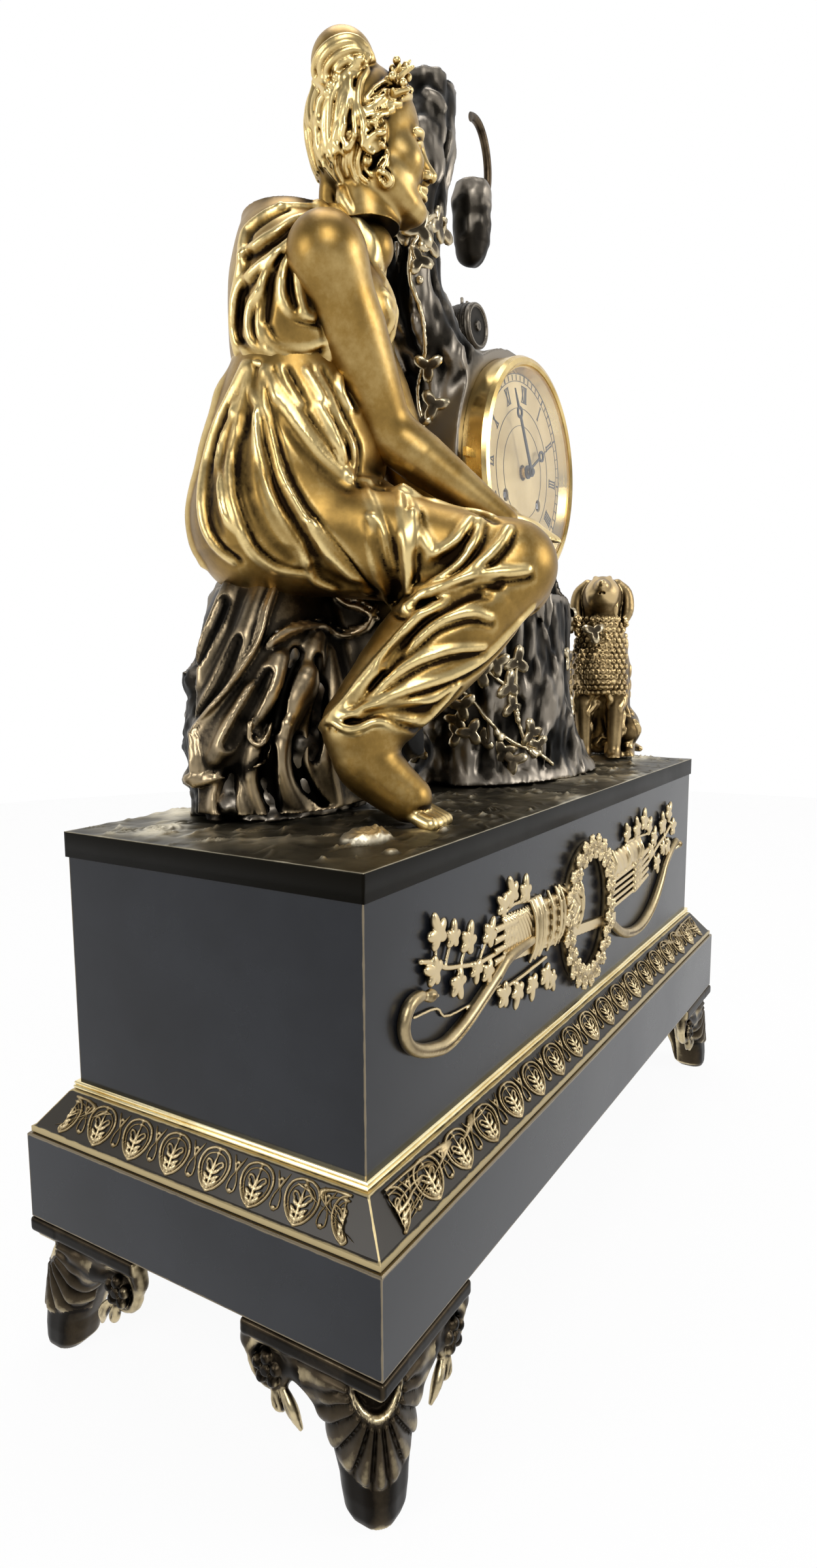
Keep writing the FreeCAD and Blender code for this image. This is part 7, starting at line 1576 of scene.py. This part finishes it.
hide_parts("dog")


# A quiver hangs on the trunk by a strap: a leather tube with two bands, cast in bronze.
pouch_low, pouch_high = box_mm("quiver_pouch")
clay = Clay(pouch_low - 3, pouch_high + 3, 0.6)
middle = (pouch_low + pouch_high) / 2
wide = min(pouch_high[0] - pouch_low[0], pouch_high[1] - pouch_low[1]) / 2
half_long = (pouch_high[2] - pouch_low[2]) / 2
foot_of, head_of = middle - (0, 0, half_long - 4), middle + (0, 0, half_long - 3)
clay.chain([foot_of, foot_of + (0, 0, 8), head_of], [wide * 0.5, wide * 0.88, wide * 0.95], 1.5)
for share in (0.12, 0.5, 0.9):
    band = foot_of + (head_of - foot_of) * share
    radius = wide * (0.72 + 0.3 * share)
    clay.limb(band - (0, 0, 0.8), band + (0, 0, 0.8), radius, radius, 0.6)
clay.ball(head_of, (wide * 0.7, wide * 0.7, 2.4), soft=0.6, dig=True)
clay.roughen(5, 0.35, 31)
made = clay.mesh("bronze_quiver", dark_bronze, 1.2)
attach(made, "case")
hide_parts("quiver_pouch")

# A round flask stands in the fork over the drum. It is a flat cask with ribs round its wall,
# a raised ring on its face and a loop of cord above.
flask_low, flask_high = box_mm("round_flask")
clay = Clay(flask_low - 3, flask_high + 3, 0.5)
middle, reach = np.array([23.0, (flask_low[1] + flask_high[1]) / 2, 454.3]), 12.0
half_deep = (flask_high[1] - flask_low[1]) / 2 - 1.2
spot, x, y, z = clay.window(clay.low, clay.low + clay.size * clay.cell)
gap = np.sqrt((x - middle[0]) ** 2 + (z - middle[2]) ** 2)
side_way = np.abs(y - middle[1])
bulge = reach - 0.9 * (side_way / half_deep) ** 2 - 0.35 * (np.sin(side_way * 2.4) > 0.5)
clay.add(spot, np.maximum(gap - bulge, side_way - half_deep).astype(np.float32), 0.5)
clay.take(spot, np.maximum(gap - reach + 2.6, half_deep - 1.1 - side_way), 0.3)
clay.add(spot, np.maximum(gap - 2.6, side_way - half_deep) + 0 * z, 0.3)
crown = flask_high[2] - 1.2
clay.chain([middle + (-3, 0, reach - 0.5), middle + (-3.4, 0, reach + 8),
            (middle[0] - 1.5, middle[1], crown - 4), (middle[0], middle[1], crown),
            (middle[0] + 1.5, middle[1], crown - 4), middle + (3.4, 0, reach + 8),
            middle + (3, 0, reach - 0.5)], 0.75, 0.4)
made = clay.mesh("cask_flask", dark_bronze, 1.0)
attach(made, "case")
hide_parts("round_flask")

# The dial is a silvered plate, now warm and pale gold. Its hour numerals, minute track and
# the rings of the winding holes lie on it as fine strokes filled with black wax.
def dress(material, *nodes):
    """Gives one finish to the slots of CAD nodes."""
    for node in nodes:
        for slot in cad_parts[node].material_slots:
            slot.material = material


dial_finish = Finish("dial_silvering", Metallic=0.5)
grain = dial_finish.noise(34, 5)
dial_finish.set(Base_Color=dial_finish.ramp(grain, (0.3, (0.46, 0.33, 0.14)), (0.7, (0.76, 0.60, 0.31))),
                Roughness=(grain - 0.5) * 0.2 + 0.45)
dress(dial_finish.material, "dial")
NUMERALS = ["XII", "I", "II", "III", "IIII", "V", "VI", "VII", "VIII", "IX", "X", "XI"]
LETTERS = {"I": (1.5, [((0, 0), (0, 1), 0.7)]),
           "V": (3.6, [((-0.5, 1), (0, 0), 0.75), ((0.5, 1), (0, 0), 0.3)]),
           "X": (3.6, [((-0.5, 1), (0.5, 0), 0.75), ((0.5, 1), (-0.5, 0), 0.3)])}
NUMERAL_INNER, NUMERAL_HIGH = 34.5, 7.8
face_y = dial_low[1]
points, faces = [], []


def stroke(a, b, wide, turn=0.0, deep=0.28):
    """A flat bar on the dial between two points, turned about the centre of the dial."""
    a, b = np.array(a, float), np.array(b, float)
    side = np.array([b[1] - a[1], a[0] - b[0]]) / np.linalg.norm(b - a) * wide / 2
    start = len(points)
    for y in (face_y + 0.05, face_y - deep):
        for x, z in (a - side, a + side, b + side, b - side):
            points.append((clock[0] + x * math.cos(turn) + z * math.sin(turn), y,
                           clock[2] - x * math.sin(turn) + z * math.cos(turn)))
    for quad in ((0, 1, 2, 3), (7, 6, 5, 4), (0, 4, 5, 1), (1, 5, 6, 2), (2, 6, 7, 3), (3, 7, 4, 0)):
        faces.append([start + n for n in quad])


for hour, word in enumerate(NUMERALS):
    turn = hour * math.pi / 6
    along = -sum(LETTERS[letter][0] for letter in word) / 2
    full = -2 * along
    for letter in word:
        wide, bars = LETTERS[letter]
        along += wide / 2
        for (ax, az), (bx, bz), thick in bars:
            span = wide * 0.62
            stroke((along + ax * span, NUMERAL_INNER + az * NUMERAL_HIGH),
                   (along + bx * span, NUMERAL_INNER + bz * NUMERAL_HIGH), thick, turn)
        along += wide / 2
    for level in (NUMERAL_INNER, NUMERAL_INNER + NUMERAL_HIGH):
        stroke((-full / 2, level), (full / 2, level), 0.3, turn)
for minute in range(60):
    stroke((0, 44.6), (0, 47.2), 0.8 if minute % 5 == 0 else 0.32, minute * math.pi / 30)
for radius, wide in ((44.2, 0.3), (47.6, 0.3), (31.5, 0.25), (23.0, 0.2)):
    chord = radius * math.tan(math.pi / 96)
    for part in range(96):
        stroke((-chord, radius), (chord, radius), wide, part * math.pi / 48, 0.2)
numerals = plain_mesh("dial_strokes", np.array(points) / 1000, faces,
                      Finish("black_wax", Base_Color=(0.012, 0.01, 0.009, 1), Roughness=0.5).material,
                      False)
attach(numerals, "case")

# The hands are blued steel. The ring and the glazed door round the dial are gilt brass, and
# the glass is held in the door.
steel_blue = Finish("steel_blue", Metallic=1.0, Base_Color=(0.012, 0.015, 0.026, 1), Roughness=0.3)
dress(steel_blue.material, "hour_hand", "minute_hand")


def plain_metal(name, dark, light, rough, scale=45):
    """Turned or filed metal with faint clouds and small scratches."""
    finish = Finish(name, Metallic=1.0)
    cloud, scratch = finish.noise(scale, 4), finish.noise(260, 2, stretch=(1, 6, 1))
    finish.set(Base_Color=finish.ramp(cloud, (0.3, dark), (0.68, light)),
               Roughness=(cloud - 0.5) * 0.25 + (scratch - 0.5) * 0.12 + rough)
    finish.bump(scratch, 0.05)
    return finish.material


dress(plain_metal("bezel_brass", (0.5, 0.33, 0.1), (0.86, 0.66, 0.3), 0.24), "dial_ring", "bezel",
      "rear_ring", "rear_door")
# The pane is a faint white veil that thickens towards grazing angles: a painted reflection on the glass.
pane = Finish("pane", Base_Color=(1, 1, 1, 1), Roughness=0.03)
pane.set(Alpha=pane.node("LayerWeight", out=1, Blend=0.3) * 0.16 + 0.02)
dress(pane.material, "glass")

# The movement is polished brass with steel arbors, pinions and pendulum rod. It sits on the
# back of the dial and strikes on a bell of cast bell metal.
dress(plain_metal("movement_brass", (0.55, 0.38, 0.12), (0.8, 0.62, 0.28), 0.28), "front_plate",
      "back_plate", "going_barrel", "strike_barrel", "intermediate_wheel", "centre_wheel", "third_wheel",
      "escape_wheel", "minute_wheel", "hour_wheel", "bob", "rating_nut", "count_wheel")
dress(plain_metal("grey_steel", (0.16, 0.16, 0.165), (0.42, 0.42, 0.43), 0.3), "tie_rods", "fixing_nuts",
      "fixing_studs", "foot_screws", "going_arbor", "strike_arbor", "anchor", "pendulum_rod", "hammer",
      "bell_stand", "case_rods")
dress(plain_metal("cast_bell", (0.35, 0.24, 0.12), (0.66, 0.5, 0.28), 0.27), "bell")

# The strap of the quiver is cast bronze like the trunk, rubbed brown on its edges.
dress(plain_metal("strap_bronze", (0.012, 0.009, 0.006), (0.14, 0.10, 0.06), 0.42, 120), "pouch_strap")

# The bottom board closes the hollow block and carries the long rods. It is stained wood.
wood = Finish("stained_wood", Roughness=0.6)
grain = wood.noise(9, 6, 0.7, (0.6, 9, 9))
wood.set(Base_Color=wood.ramp(grain, (0.3, (0.035, 0.016, 0.007)), (0.7, (0.12, 0.06, 0.028))))
wood.bump(grain, 0.2)
dress(wood.material, "base_board")
